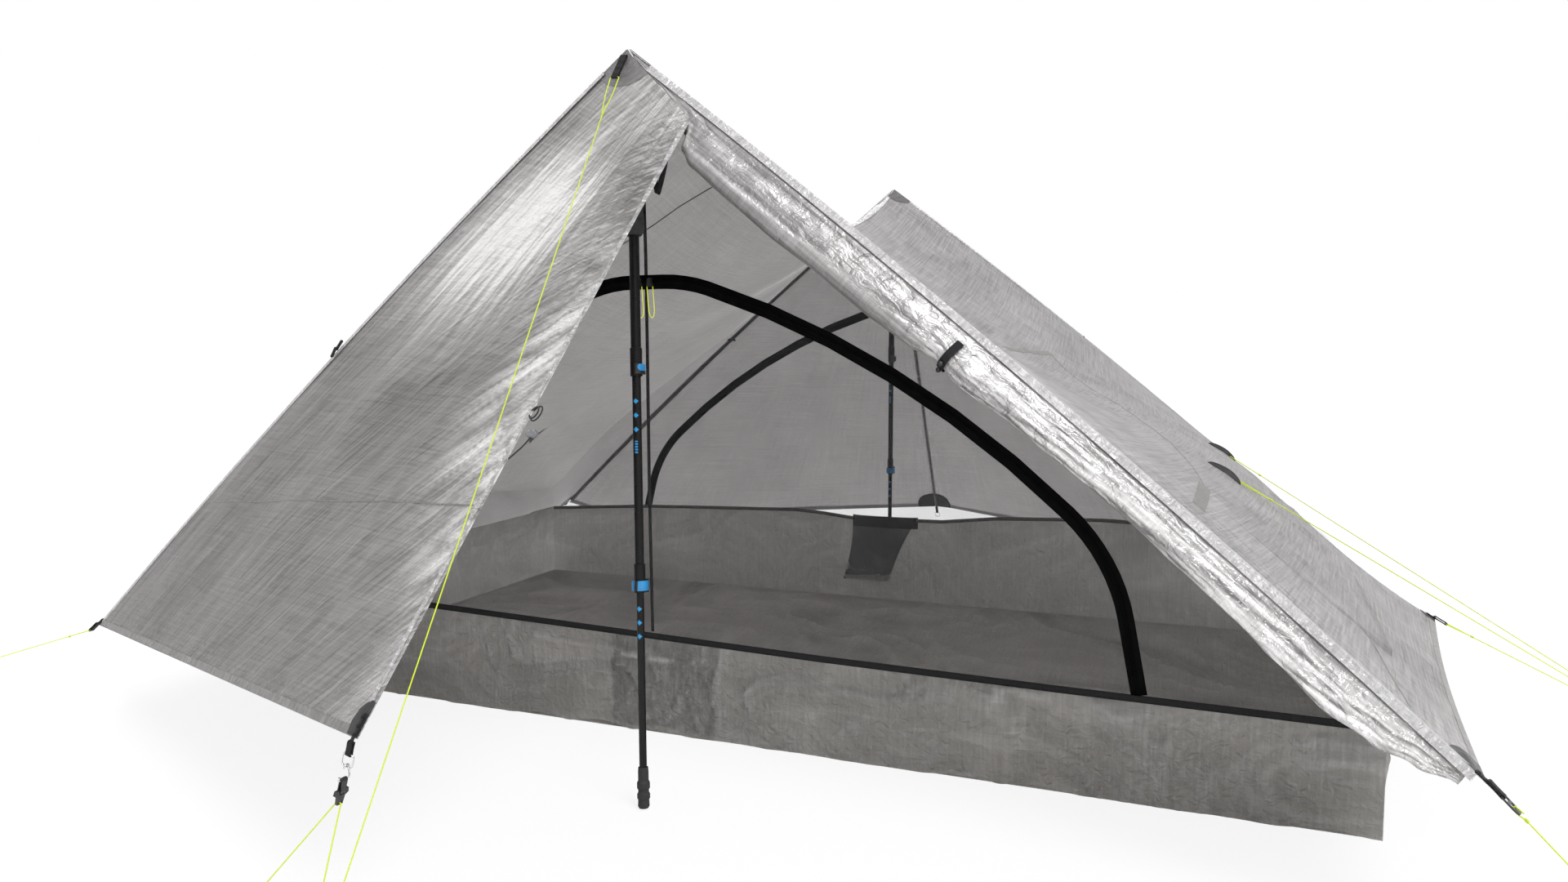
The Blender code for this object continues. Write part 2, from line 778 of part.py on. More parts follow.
def trees_of(names):
    """Search trees of finished objects by name."""
    bpy.context.view_layer.update()
    graph = bpy.context.evaluated_depsgraph_get()
    graph.update()
    return [BVHTree.FromObject(bpy.data.objects[name], graph) for name in names]


def build_mesh():
    """Mesh walls with their arched doors, zips and sill tape."""
    trees = trees_of(("canopy_right_panel", "canopy_left_panel"))
    low = SILL_WIDTH + GAP * 2
    walls = []
    for end in ("front", "back"):
        place = mesh_place(end)
        left, right = sorted((-facing(end) * floor_x(0), -facing(end) * floor_x(1)))
        rise = low if end == "front" else GAP
        outer = arch_path(end, ZIP_WIDTH / 2 + GAP, rise)
        wall = sill_line(end, left, outer[0][0], rise) + outer[1:-1]
        wall += sill_line(end, outer[-1][0], right, rise)
        count = 26
        spots = [right + (left - right) * i / count for i in range(count + 1)]
        spots = sorted(spots + [-MESH_CREST, MESH_CREST], reverse=True)
        for x in spots:
            wall.append((x, under_fly(end, x, trees)))
        walls.append(plate("wall", [on_mesh(wall)], MESH, place, "mesh_cloth"))
        inner = arch_path(end, -ZIP_WIDTH / 2 - GAP, rise)
        door = sill_line(end, inner[0][0], inner[-1][0], rise)
        door += inner[-2:0:-1]
        plate(end + "_mesh_door", [on_mesh(door)], MESH, place, "mesh_cloth")
        tape = arch_path(end, ZIP_WIDTH / 2, rise) + arch_path(end, -ZIP_WIDTH / 2, rise)[::-1]
        plate(end + "_door_zipper", [on_mesh(tape)], ZIP_THICKNESS, place, "zip_tape")
        if end == "front":
            strip = sill_line(end, left, right, GAP) + sill_line(end, right, left, GAP + SILL_WIDTH)
            plate("front_sill_tape", [on_mesh(strip)], ZIP_THICKNESS, place, "zip_tape")
    fuse("inner_mesh_walls", walls + end_mesh(trees), "mesh_cloth")


def end_mesh(trees):
    """Mesh strips between the tub's end walls and the fly."""
    strips = []
    for side in (1, -1):
        share = 1.0 if side > 0 else 0.0
        x = floor_x(share) - side * (CLOTH / 2)
        low = [end_wall_point(side, u, 1.0) for u in (0.0, 1.0)]
        tape = SILL_WIDTH + GAP * 2
        front, back = (spot.z + GAP for spot in low)
        points = [(mesh_y("front", front + tape), front + tape),
                  (mesh_y("front", front) + ZIP_THICKNESS * 2, front + tape),
                  (mesh_y("front", front) + ZIP_THICKNESS * 2, front),
                  (mesh_y("back", back), back)]
        count = 8
        for i in range(count, -1, -1):
            u = i / count
            z = max(front, back)
            for _ in range(6):
                y = mesh_y("front", z) + (mesh_y("back", z) - mesh_y("front", z)) * u
                hits = [tree.ray_cast(Vector((x, y, CLOTH)), UP) for tree in trees]
                heights = [hit[0].z for hit in hits if hit[0]]
                z = min(heights) - MESH_DROP if heights else z
            points.append((y, z))
        place = Matrix(((0, 0, 1, x), (1, 0, 0, 0), (0, 1, 0, 0), (0, 0, 0, 1)))
        strips.append(plate("strip", [points], MESH, place, "mesh_cloth"))
    return strips


# Pockets: x at the top's two ends, at the bottom's two ends, and their heights
FRONT_POCKET = ((-0.163, 0.057), (-0.163, 0.057), (0.170, 0.012))
BACK_POCKET = ((-0.070, 0.128), (-0.097, 0.043), (0.238, 0.053))


def build_pockets():
    """Shallow pouches open at the top on the inside of the long tub walls."""
    for end, pocket in (("front", FRONT_POCKET), ("back", BACK_POCKET)):
        top, bottom, heights = pocket

        def surface(u, v, end=end, top=top, bottom=bottom, heights=heights):
            z = heights[1] + (heights[0] - heights[1]) * v
            upper = top[0] + (top[1] - top[0]) * u
            lower = bottom[0] + (bottom[1] - bottom[0]) * u
            x = lower + (upper - lower) * v
            share = (x - floor_x(0)) / FLOOR_LENGTH
            rise = z / wall_top(end, share)
            wall = long_wall_point(end, share, rise)
            belly = POCKET_DEPTH * (1 - (2 * u - 1) ** 4) * v
            inside = CLOTH + POCKET_CLEARANCE + belly
            return Vector((x, wall.y - facing(end) * inside, z))

        flip = end == "back"
        lay_cloth(end + "_wall_pocket", lambda u, v, s=surface, f=flip: s(1 - u if f else u, v),
                  (8, 5), "mesh_cloth", thickness=MESH)


# Patches, tabs and hardware

def lay_patch(name, surface, cells, window, base, slot="patch_cloth", inside=None):
    """A thin reinforcement lying just proud of a finished cloth."""
    tree = trees_of((base,))[0]
    low_u, high_u, low_v, high_v = window

    def proud(u, v):
        a = low_u + (high_u - low_u) * u
        b = low_v + (high_v - low_v) * v
        spot = surface(a, b)
        out = normal_of(surface, a, b)
        hit = tree.ray_cast(spot + out * TOE_PATCH, -out)
        return (hit[0] if hit[0] else spot) + out * PATCH_LIFT

    return lay_cloth(name, proud, cells, slot, lift=GAP, thickness=PATCH)


def tab_loop(name, origin, along, normal, length, width=WEBBING_WIDTH, slit=TAB_SLIT, slot="black_webbing"):
    """A flat loop of webbing: its thin opening seen across the width. X along it, Y its normal."""
    across = along.cross(normal).normalized()
    up = across.cross(along).normalized()
    turn = Matrix((along.normalized(), up, across)).transposed().to_4x4()
    turn.translation = origin
    half = slit / 2 + WEBBING
    outer = stadium(length, half)
    inner = [(x * 1.0 + WEBBING, y) for x, y in stadium(length - WEBBING * 2, slit / 2)]
    return plate(name, [outer, inner], width, turn, slot)


def stadium(length, half):
    """A long round-ended outline from 0 to length."""
    points = []
    for centre, start in ((length - half, -math.pi / 2), (half, math.pi / 2)):
        for i in range(5):
            angle = start + math.pi * i / 4
            points.append((centre + half * math.cos(angle), half * math.sin(angle)))
    return points


def tieout_point(t):
    """Where a side guyline pulls on the end panel: t 0.5 less or more the tie-outs' share."""
    return panel_point(1, PULL_SHARE, t)


def seated_loop(spot, normal, aim, length, width=WEBBING_WIDTH, slit=TAB_SLIT):
    """A webbing loop lying on a patch at a point of the cloth, aimed along it; and its placing."""
    along = (aim - normal * aim.dot(normal)).normalized()
    origin = spot + normal * (slit / 2 + WEBBING + PATCH_LIFT + PATCH / 2) - along * TAB_START
    return origin, along, tab_loop("loop", origin, along, normal, length, width, slit)


def loop_anchor(spot, normal, aim, length, slit=TAB_SLIT):
    """Where a cord crosses a seated loop's slot, and the direction across it."""
    along = (aim - normal * aim.dot(normal)).normalized()
    origin = spot + normal * (slit / 2 + WEBBING + PATCH_LIFT + PATCH / 2) - along * TAB_START
    return slot_point(origin, along, length), along.cross(normal)


def hem_seat(side):
    """Point, normal and aim of the tab at the middle of a hem."""
    surface = panel(side)
    aim = Vector((side * HEM_REACH, 0.0, -(FRONT_PEAK.z - HEM_RISE))).normalized()
    return surface(1.0, 0.5), normal_of(surface, 1.0, 0.5), aim


def tieout_seat(side, sign):
    """Point, normal and aim of a tie-out; sign is -1 at the front and 1 at the back."""
    surface = panel(side)
    t = 0.5 + sign * TIEOUT_SHARE * side
    normal = normal_of(surface, PULL_SHARE, t)
    pull = tieout_pull(side, sign)
    along = (pull - normal * pull.dot(normal)).normalized()
    tree = trees_of(("canopy_right_panel" if side > 0 else "canopy_left_panel",))[0]
    laid = tree.ray_cast(surface(PULL_SHARE, t) + normal * TOE_PATCH, -normal)[0]
    return laid - along * TAB_START, normal, pull


def side_tabs(side, word):
    """The tie-out tab at the middle of the hem and the two on the panel."""
    surface = panel(side)
    base = "canopy_" + word + "_panel"
    length = (corner(1, "front") - FRONT_PEAK).length
    width = 2 * CORNER_DEPTH
    half = 0.5 * CORNER_PATCH / width
    window = (1 - CRESCENT_WIDTH * 1.6 / length, 1 - CLOTH / length, 0.5 - half, 0.5 + half)
    patch = lay_patch("patch", surface, PATCH_CELLS, window, base)
    loop = seated_loop(*hem_seat(side), TAB_LENGTH)[2]
    fuse(word + "_hem_tab", [patch, loop], "black_webbing")
    for sign, end in ((-1, "front"), (1, "back")):
        t = 0.5 + sign * TIEOUT_SHARE * side
        reach = CRESCENT_LENGTH / width / 2
        deep = CRESCENT_WIDTH / length / 2
        window = (PULL_SHARE - deep, PULL_SHARE + deep, t - reach, t + reach)
        patch = lay_patch("patch", surface, (2, 4), window, base)
        loop = seated_loop(*tieout_seat(side, sign), TAB_LENGTH)[2]
        fuse(word + "_" + end + "_tieout_tab", [patch, loop], "black_webbing")


def tieout_pull(side, sign):
    """Direction of the guyline at a tie-out."""
    end = BACK_TIEOUT_END if sign > 0 else FRONT_TIEOUT_END
    aim = (end - tieout_point(0.5 + sign * TIEOUT_SHARE)).normalized()
    return Vector((side * aim.x, aim.y, aim.z))


def corner_window(side, end):
    """The panel patch at a corner, as a share window of the panel's surface."""
    length = (corner(1, "front") - FRONT_PEAK).length
    edge = CLOTH * 2 / (2 * CORNER_DEPTH)
    reach = CORNER_PATCH / (2 * CORNER_DEPTH)
    low_s, high_s = 1 - CORNER_PATCH / length, 1 - CLOTH / length
    at_start = (end == "front") == (side > 0)
    if at_start:
        return low_s, high_s, edge, edge + reach
    return low_s, high_s, 1 - edge - reach, 1 - edge


def corner_pull(side, end):
    """Direction in which a corner is staked out."""
    if end == "front" and side > 0:
        return (FRONT_RIGHT_END - corner(1, "front")).normalized()
    if end == "front":
        return (FRONT_LEFT_END - corner(-1, "front")).normalized()
    aim = FRONT_RIGHT_END - corner(1, "front")
    return Vector((side * aim.x, -aim.y, aim.z)).normalized()


def corner_seat(side, end):
    """Point, normal and aim of a corner's webbing loop."""
    surface = panel(side)
    t = 0.0 if (end == "front") == (side > 0) else 1.0
    middle = normal_of(surface, 1.0, t)
    return corner(side, end), middle, corner_pull(side, end)


def corner_tab(side, end, length):
    """Patch and webbing loop of one corner."""
    word = "right" if side > 0 else "left"
    base = "canopy_" + word + "_panel"
    patch = lay_patch("patch", panel(side), PATCH_CELLS, corner_window(side, end), base)
    loop = seated_loop(*corner_seat(side, end), length)[2]
    fuse(end + "_" + word + "_corner_tab", [patch, loop], "black_webbing")


def buckle(name, origin, along, normal):
    """A flat ladder-shaped buckle with two slots; its first bar lies in a webbing loop."""
    across = along.cross(normal).normalized()
    up = across.cross(along).normalized()
    turn = Matrix((along.normalized(), across, -up)).transposed().to_4x4()
    turn.translation = origin
    half = BUCKLE_WIDTH / 2
    frame_side = half - BUCKLE_BAR
    outer = [(0.0, -half), (BUCKLE_LENGTH * 0.7, -half), (BUCKLE_LENGTH, -half * 0.55),
             (BUCKLE_LENGTH, half * 0.55), (BUCKLE_LENGTH * 0.7, half), (0.0, half)]
    first = BUCKLE_BAR * 0.8
    slot_one = box_outline(first, first + BUCKLE_BAR * 1.8, -frame_side, frame_side)
    second = first + BUCKLE_BAR * 2.9
    slot_two = box_outline(second, second + BUCKLE_BAR * 1.9, -frame_side * 0.75, frame_side * 0.75)
    return plate(name, [outer, slot_one, slot_two], BUCKLE_THICKNESS, turn, "black_plastic")


def box_outline(low_x, high_x, low_y, high_y):
    """A rectangle's outline."""
    return [(low_x, low_y), (high_x, low_y), (high_x, high_y), (low_x, high_y)]


def buckle_place():
    """Start, direction and normal of the front right corner's buckle."""
    spot, normal, aim = corner_seat(1, "front")
    along = (aim - normal * aim.dot(normal)).normalized()
    origin = spot + normal * (TAB_SLIT / 2 + WEBBING + PATCH_LIFT + PATCH / 2) - along * TAB_START
    start = origin + along * (TAB_LENGTH - WEBBING - GAP * 2 - BUCKLE_BAR * 0.8)
    return start, along, normal


def build_corners():
    """Tabs and patches at corners, hems and panels."""
    for side, end in ((1, "front"), (-1, "front"), (1, "back"), (-1, "back")):
        corner_tab(side, end, TAB_LENGTH)
    buckle("front_right_line_lock", *buckle_place())
    side_tabs(1, "right")
    side_tabs(-1, "left")


def cap_ring(end):
    """Points on the fly around a peak at the cap's reach."""
    seam_share = CAP_REACH / (corner(1, "front") - FRONT_PEAK).length
    ridge_share = CAP_REACH / (BACK_PEAK - FRONT_PEAK).length
    door_share = CAP_REACH / (FRONT_TOE - FRONT_PEAK).length
    along = ridge_share if end == "front" else 1 - ridge_share
    diagonal = ridge_share * 0.7 if end == "front" else 1 - ridge_share * 0.7
    right = panel_point(1, seam_share * 0.7, diagonal)
    left = panel_point(-1, seam_share * 0.7, diagonal)
    ring = [panel_point(1, 0.0, along), right, seam_point(1, end, seam_share)]
    if end == "front":
        drop = HOOD_DROP * seam_share / HOOD_SHARE
        ring.append(seam_point(1, end, seam_share) + door_down(1, end) * drop)
        ring += [cap_edge(*shares) for shares in CAP_SHARES]
    else:
        ring.append(back_door(1)(0.5, door_share))
        ring.append(BACK_PEAK.lerp(BACK_TOE, door_share))
        ring.append(back_door(-1)(0.5, door_share))
    ring += [seam_point(-1, end, seam_share), left]
    return ring


# Directions of the cap's edge on the closed door: shares across and down it
CAP_SHARES = ((0.25, 0.03), (0.12, 0.045))


def cap_edge(across, down):
    """The point of the closed front door at the cap's reach from the peak."""
    low, high = 0.0, 2.0
    for _ in range(30):
        middle = (low + high) / 2
        spot = front_left_door(across * middle, down * middle)
        if (spot - FRONT_PEAK).length < CAP_REACH:
            low = middle
        else:
            high = middle
    return front_left_door(across * low, down * low)


def build_cap(end):
    """The reinforcement over a peak."""
    bm = bmesh.new()
    core = peak(end) - BACKWARD * (facing(end) * CAP_REACH / 3) - UP * (CAP_REACH * 2)
    lift = CAP_LIFTS[0 if end == "front" else 1]
    top = bm.verts.new(peak(end) + UP * (lift * 2))
    ring = []
    for point in cap_ring(end):
        ring.append(bm.verts.new(point + (point - core).normalized() * lift))
    for i in range(len(ring)):
        j = (i + 1) % len(ring)
        pair = (ring[i], ring[j]) if end == "back" else (ring[j], ring[i])
        bm.faces.new((top, *pair))
    bmesh.ops.recalc_face_normals(bm, faces=bm.faces)
    if sum((face.normal.dot(face.calc_center_median() - core) for face in bm.faces)) < 0:
        bmesh.ops.reverse_faces(bm, faces=bm.faces)
    data = bpy.data.meshes.new(end + "_peak_cap")
    bm.to_mesh(data)
    bm.free()
    made = new_object(end + "_peak_cap", data, "patch_cloth")
    thicken = made.modifiers.new("thicken", "SOLIDIFY")
    thicken.thickness = PATCH
    thicken.offset = 1.0
    thicken.use_even_offset = True


def peak_loop_origin():
    """Where the loop of the front peak starts."""
    aim = PEAK_LOOP_AIM.normalized()
    return FRONT_PEAK + aim * PEAK_LOOP_START, aim


def build_peaks():
    """Caps at both peaks and the front one's guyline loop."""
    build_cap("front")
    build_cap("back")
    origin, aim = peak_loop_origin()
    tab_loop("front_peak_loop", origin, aim, aim.cross(ALONG), PEAK_LOOP_LENGTH)


def build_toe():
    """Toe patches, and the front toe's ring, hook and line lock down to its cord."""
    length = (FRONT_TOE - FRONT_PEAK).length
    share = TOE_PATCH / length
    wide = TOE_PATCH / (FRONT_TOE - corner(-1, "front")).length
    window = (wide * 0.03, wide * 0.7, 1 - share, 1 - CLOTH / length)

    def turned(u, v):
        return front_left_door(1 - u, v)

    patch = lay_patch("patch", turned, PATCH_CELLS, window, "front_left_storm_door")
    place = toe_place()
    loop = tab_loop("loop", place.translation, place.to_3x3() @ UP, place.to_3x3() @ BACKWARD,
                    TAB_LENGTH * 0.8, TOE_WEBBING, TOE_SLIT)
    run, out, spot = toe_seat()
    strip = stitched_end(spot, run, out, PATCH_LIFT + GAP + PATCH / 2)
    fuse("front_door_toe_patch", [patch, strip, loop], "black_webbing")
    ring_top = toe_ring_top()
    ring = [place @ (point + UP * ring_top) for point in ring_shape()]
    tube("front_toe_ring", ring, RING_WIRE, "steel", cyclic=True, sides=1)
    low = ring_top + RING_LENGTH * 2 + HOOK_RADIUS - RING_WIRE * 2 - GAP
    hook = []
    for i in range(7):
        angle = math.pi * i / 6
        hook.append((HOOK_RADIUS * math.cos(angle), low - HOOK_RADIUS * math.sin(angle)))
    foot = low + HOOK_DROP
    hook += [(-HOOK_RADIUS, low + HOOK_RADIUS * 0.5), (-HOOK_BAR, foot - HOOK_RADIUS),
             (-HOOK_BAR, foot - RING_WIRE), (-HOOK_BAR + RING_WIRE, foot),
             (HOOK_BAR - RING_WIRE, foot), (HOOK_BAR, foot - RING_WIRE),
             (HOOK_BAR, foot - HOOK_RADIUS * 1.3)]
    tube("front_toe_hook", [place @ Vector((0.0, y, z)) for y, z in hook], RING_WIRE, "steel", sides=1)
    build_toe_lock(place, foot)
    build_back_toe()


def toe_ring_top():
    """Distance down the toe's chain of the ring's upper wire."""
    return TAB_LENGTH * 0.8 - WEBBING - GAP * 2 - RING_WIRE


def ring_shape():
    """A squarish ring in the XZ plane, hanging from its upper wire at the origin."""
    points = []
    for i in range(ROUND):
        angle = 2 * math.pi * (i + 0.5) / ROUND
        x = math.copysign(math.sqrt(abs(math.cos(angle))), math.cos(angle))
        z = math.copysign(math.sqrt(abs(math.sin(angle))), math.sin(angle))
        points.append(Vector((RING_WIDTH * x, 0.0, RING_LENGTH * (1 + z))))
    return points


def toe_place():
    """Placing of the front toe's hardware: Z down its chain, X along the tent."""
    run, out, spot = toe_seat()
    start = spot + run * TAB_START + out * (PATCH_LIFT + GAP + PATCH / 2 + WEBBING / 2)
    return frame(start, TOE_CHAIN, ALONG)


def toe_seat():
    """Way down the front toe, its outward normal and the middle of its webbing at the hem."""
    tree = trees_of(("front_left_storm_door",))[0]
    down = (FRONT_TOE - FRONT_PEAK).normalized()
    hem = (corner(-1, "front") - FRONT_TOE).normalized()
    out = door_out(-1, "front")
    laid = []
    for back in (TOE_PATCH * 0.6, TAB_START):
        spot = FRONT_TOE + hem * (TOE_WEBBING * 0.6) - down * back
        laid.append(tree.ray_cast(spot + out * TOE_PATCH, -out)[0])
    run = (laid[1] - laid[0]).normalized()
    out = (out - run * out.dot(run)).normalized()
    return run, out, laid[1] + run * TAB_START


def stitched_end(spot, run, out, low):
    """Webbing stitched flat on a toe's patch and reaching a little past the hem."""
    inside, beyond = TOE_PATCH * 0.6, TAB_START * 1.5
    centre = spot + run * ((beyond - inside) / 2) + out * (low + WEBBING / 2)
    place = frame(centre, run, run.cross(out))
    return block("strip", (TOE_WEBBING, WEBBING, inside + beyond), place, "black_webbing")


def toe_lock_hole():
    """Distance down the toe's chain of the cord's hole in the line lock."""
    foot = toe_ring_top() + RING_LENGTH * 2 + HOOK_RADIUS - RING_WIRE * 2 - GAP + HOOK_DROP
    start = foot - RING_WIRE - GAP * 2 - WEBBING
    return start + TOE_LOOP + TOE_LOCK - WEBBING - GAP * 2 - TOE_LOCK * 0.3


def build_toe_lock(place, foot):
    """Webbing loop on the hook's bar with the line lock in its lower end."""
    start = foot - RING_WIRE - GAP * 2 - WEBBING
    turn = place.to_3x3()
    loop = tab_loop("webbing", place @ (UP * start), turn @ UP, turn @ ALONG, TOE_LOOP, TOE_WEBBING,
                    TOE_SLIT)
    top = start + TOE_LOOP - WEBBING - GAP * 2
    half = BUCKLE_WIDTH / 2
    bar = TOE_SLIT + GAP
    matrix = Matrix((turn @ BACKWARD, turn @ UP, (turn @ BACKWARD).cross(turn @ UP))).transposed()
    lock = Matrix.Translation(place @ (UP * (top - bar))) @ matrix.to_4x4()
    outer = [(-half, 0.0), (half, 0.0), (half * 1.1, TOE_LOCK * 0.3), (half * 0.6, TOE_LOCK * 0.45),
             (half * 0.45, TOE_LOCK), (-half * 0.45, TOE_LOCK), (-half * 0.6, TOE_LOCK * 0.45),
             (-half * 1.1, TOE_LOCK * 0.3)]
    slot = box_outline(-TOE_WEBBING / 2 - GAP, TOE_WEBBING / 2 + GAP, bar, bar + WEBBING * 2)
    hole_y = toe_lock_hole() - (top - bar)
    hole = box_outline(-half * 0.25, half * 0.25, hole_y - CORD_RADIUS * 2, hole_y + CORD_RADIUS * 2)
    body = plate("lock", [outer, slot, hole], bar, lock, "black_plastic")
    fuse("front_toe_line_lock", [loop, body], "black_plastic")


def build_back_toe():
    """The back toe's patch, webbing and ring."""
    length = (BACK_TOE - BACK_PEAK).length
    share = TOE_PATCH / length
    wide = TOE_PATCH / (BACK_TOE - corner(1, "back")).length
    pieces = []
    for side, name in ((1, "back_right_storm_door"), (-1, "back_left_storm_door")):
        low, high = (0.02 * wide, wide * 0.6) if side > 0 else (1 - wide * 0.6, 1 - 0.02 * wide)
        window = (low, high, 1 - share, 1 - CLOTH / length)
        pieces.append(lay_patch("patch", back_door(side), PATCH_CELLS, window, name))
    down = (BACK_TOE - BACK_PEAK).normalized()
    normal = (door_out(1, "back") + door_out(-1, "back")).normalized()
    pieces.append(stitched_end(BACK_TOE, down, normal, GAP * 2))
    start = BACK_TOE + down * TAB_START + normal * (PATCH_LIFT + WEBBING / 2)
    pieces.append(tab_loop("loop", start, down, normal, TAB_LENGTH, TOE_WEBBING, TOE_SLIT))
    place = frame(start + down * (TAB_LENGTH - WEBBING), down, ALONG)
    ring = [place @ point for point in ring_shape()]
    pieces.append(tube("ring", ring, RING_WIRE, "steel", cyclic=True, sides=1))
    fuse("back_door_toe_patch", pieces, "black_webbing")


# Rolled door's strap and the closed door's ties

def section_at(s):
    """The roll's shares at a station of the seam."""
    for first, second in zip(ROLL_SHARES, ROLL_SHARES[1:]):
        if s <= second[0]:
            part = (s - first[0]) / (second[0] - first[0])
            return [a + (b - a) * part for a, b in zip(first[1:], second[1:])]
    return list(ROLL_SHARES[-1][1:])


def strap_ring(s, gap_in):
    """The strap's outline around the roll, at a distance from the cloth."""
    shares = section_at(s)
    section = roll_section(*shares)
    section[0] = (ROLL_STEM * shares[0] + SEAM_GAP * 2, 0.0)
    section = section[:-4] + section[-1:]
    line = []
    for i, point in enumerate(section):
        before = Vector(section[max(i - 1, 0)])
        after = Vector(section[min(i + 1, len(section) - 1)])
        slope = (after - before).normalized()
        line.append(Vector(point) + Vector((slope.y, -slope.x)) * gap_in)
    return line


def build_strap():
    """Webbing around the rolled door, with its toggle."""
    length = (corner(1, "front") - FRONT_PEAK).length
    half = STRAP_WIDTH / 2 / length
    rings = []
    for s in (STRAP_SHARE - half, STRAP_SHARE + half):
        origin, down, inward = roll_place(s)
        outline = strap_ring(s, STRAP_CLEARANCE + STRAP_THICKNESS)
        outline += strap_ring(s, STRAP_CLEARANCE)[::-1]
        rings.append([origin + down * p.x + inward * (p.y + ROLL_SET_IN) for p in outline])
    strap = loft("strap", rings, "black_webbing", band=True)
    origin, down, inward = roll_place(STRAP_SHARE)
    low = max(p.x for p in strap_ring(STRAP_SHARE, STRAP_CLEARANCE + STRAP_THICKNESS))
    depth = ROLL_RADIUS * section_at(STRAP_SHARE)[2]
    centre = origin + down * (low + TOGGLE_RADIUS * 0.6) + inward * depth
    toggle = revolve("toggle", toggle_profile(), frame(centre, inward, down), "black_plastic", SMALL_ROUND)
    fuse("rolled_door_strap", [strap, toggle], "black_webbing")


def toggle_profile():
    """A waisted toggle from its upper end to its lower."""
    half = TOGGLE_LENGTH / 2
    return ((0.0, half), (TOGGLE_RADIUS, half), (TOGGLE_RADIUS, half * 0.5), (TOGGLE_RADIUS * 0.6, 0.0),
            (TOGGLE_RADIUS, -half * 0.5), (TOGGLE_RADIUS, -half), (0.0, -half))


def build_door_ties():
    """Loop and toggle at the closed door's edge."""
    edge = front_left_door(1.0, TIE_LOOP_SHARE)
    run = (FRONT_TOE - hood_tip()).normalized()
    out = door_out(-1, "front")
    aside = run.cross(out).normalized()
    aside = aside if aside.x > 0 else -aside
    points = []
    for i in range(10):
        angle = math.radians(205 + 310 * i / 9)
        spot = Vector((math.cos(angle), math.sin(angle)))
        points.append(edge + aside * (TIE_LOOP * (0.87 + spot.x) + TIE_CORD + GAP) + run * (TIE_LOOP * spot.y)
                      - out * (CLOTH / 2))
    tube("door_tie_loop", points, TIE_CORD, "black_webbing", sides=1)
    lower = front_left_door(1.0, TIE_TOGGLE_SHARE)
    centre = lower + aside * TIE_TOGGLE_OUT - out * (TIE_LOOP * 0.5)
    half = TIE_TOGGLE_LENGTH / 2
    profile = [(0.0, half)]
    for i in range(1, 6):
        angle = math.pi * i / 6
        profile.append((TIE_TOGGLE_RADIUS * math.sin(angle), half * math.cos(angle)))
    profile.append((0.0, -half))
    toggle = revolve("toggle", profile, frame(centre, aside, UP), "clear_toggle", SMALL_ROUND)
    foot = front_left_door(1.0, TIE_CORD_SHARE)
    cord = [centre - UP * (TIE_TOGGLE_RADIUS / 2),
            centre.lerp(foot, 0.5) + aside * TIE_CORD * 3 - out * TIE_CORD * 2,
            foot + aside * (TIE_CORD + GAP) - out * (CLOTH / 2)]
    string = tube("cord", cord, TIE_CORD, "black_webbing", sides=1)
    fuse("door_tie_toggle", [toggle, string], "clear_toggle")


# Zip sliders

def slider(name, end, x):
    """A slider on the arch's zip with a cord pull hanging from its eye."""
    place = mesh_place(end)
    stretch = math.sqrt(1 + MESH_LEAN ** 2)
    local = Vector((x, (ARCH_HEIGHT - TUB_HEIGHT) * stretch, ZIP_THICKNESS / 2 + GAP))
    half = SLIDER_LENGTH / 2
    outer = [(0.0, half), (SLIDER_DEPTH * 0.7, half), (SLIDER_DEPTH, half * 0.3),
             (SLIDER_DEPTH, -half), (0.0, -half)]
    middle = Vector((SLIDER_DEPTH * 0.5, -half * 0.45))
    side_on = place @ Matrix.Translation(local) @ Matrix(((0, 0, -1, 0), (0, 1, 0, 0), (1, 0, 0, 0),
                                                           (0, 0, 0, 1)))
    body = plate("body", [outer], SLIDER_WIDTH, side_on, "black_plastic")
    wide = PULL_WIDTH / 2
    shape = [(-wide, 0.0), (-wide, -PULL_LENGTH * 0.8), (-wide * 0.6, -PULL_LENGTH * 0.95),
             (0.0, -PULL_LENGTH), (wide * 0.6, -PULL_LENGTH * 0.95), (wide, -PULL_LENGTH * 0.8),
             (wide, 0.0)]
    depth = local.z + middle.x
    pull = [place @ Vector((x + a, local.y + middle.y + b, depth)) for a, b in shape]
    cord = tube("pull", pull, PULL_CORD, "cord", cyclic=True, sides=1)
    fuse(name, [body, cord], "cord")


def build_sliders():
    """Two sliders on the front zip."""
    slider("front_zip_slider_left", "front", SLIDER_PLACE - SLIDER_SPACING / 2)
    slider("front_zip_slider_right", "front", SLIDER_PLACE + SLIDER_SPACING / 2)


# Trekking poles

def clear_below(end, trees):
    """Centre of the pommel, let down from the peak until it clears the fly."""
    start = peak(end) - BACKWARD * (facing(end) * POMMEL_INSET)
    low, high = POMMEL_RADIUS, POMMEL_RADIUS * 6
    for _ in range(30):
        middle = (low + high) / 2
        centre = start - UP * middle
        near = min(tree.find_nearest(centre)[3] for tree in trees)
        if near > POMMEL_RADIUS + GRIP_CLEARANCE:
            high = middle
        else:
            low = middle
    return start - UP * high


def tube_profile(outer, bore, bottom, top, collar):
    """A tube closed at its top, with a collar at its open bottom."""
    lip = bottom + COLLAR_LENGTH
    return ((0.0, top), (outer, top), (outer, lip + CLOTH), (collar, lip), (collar, bottom),
            (bore, bottom), (bore, top - TUBE_WALL), (0.0, top - TUBE_WALL))


def lever_ring(collar):
    """Radius of the middle of a lever's arm."""
    return collar + GAP + LEVER_WALL / 2


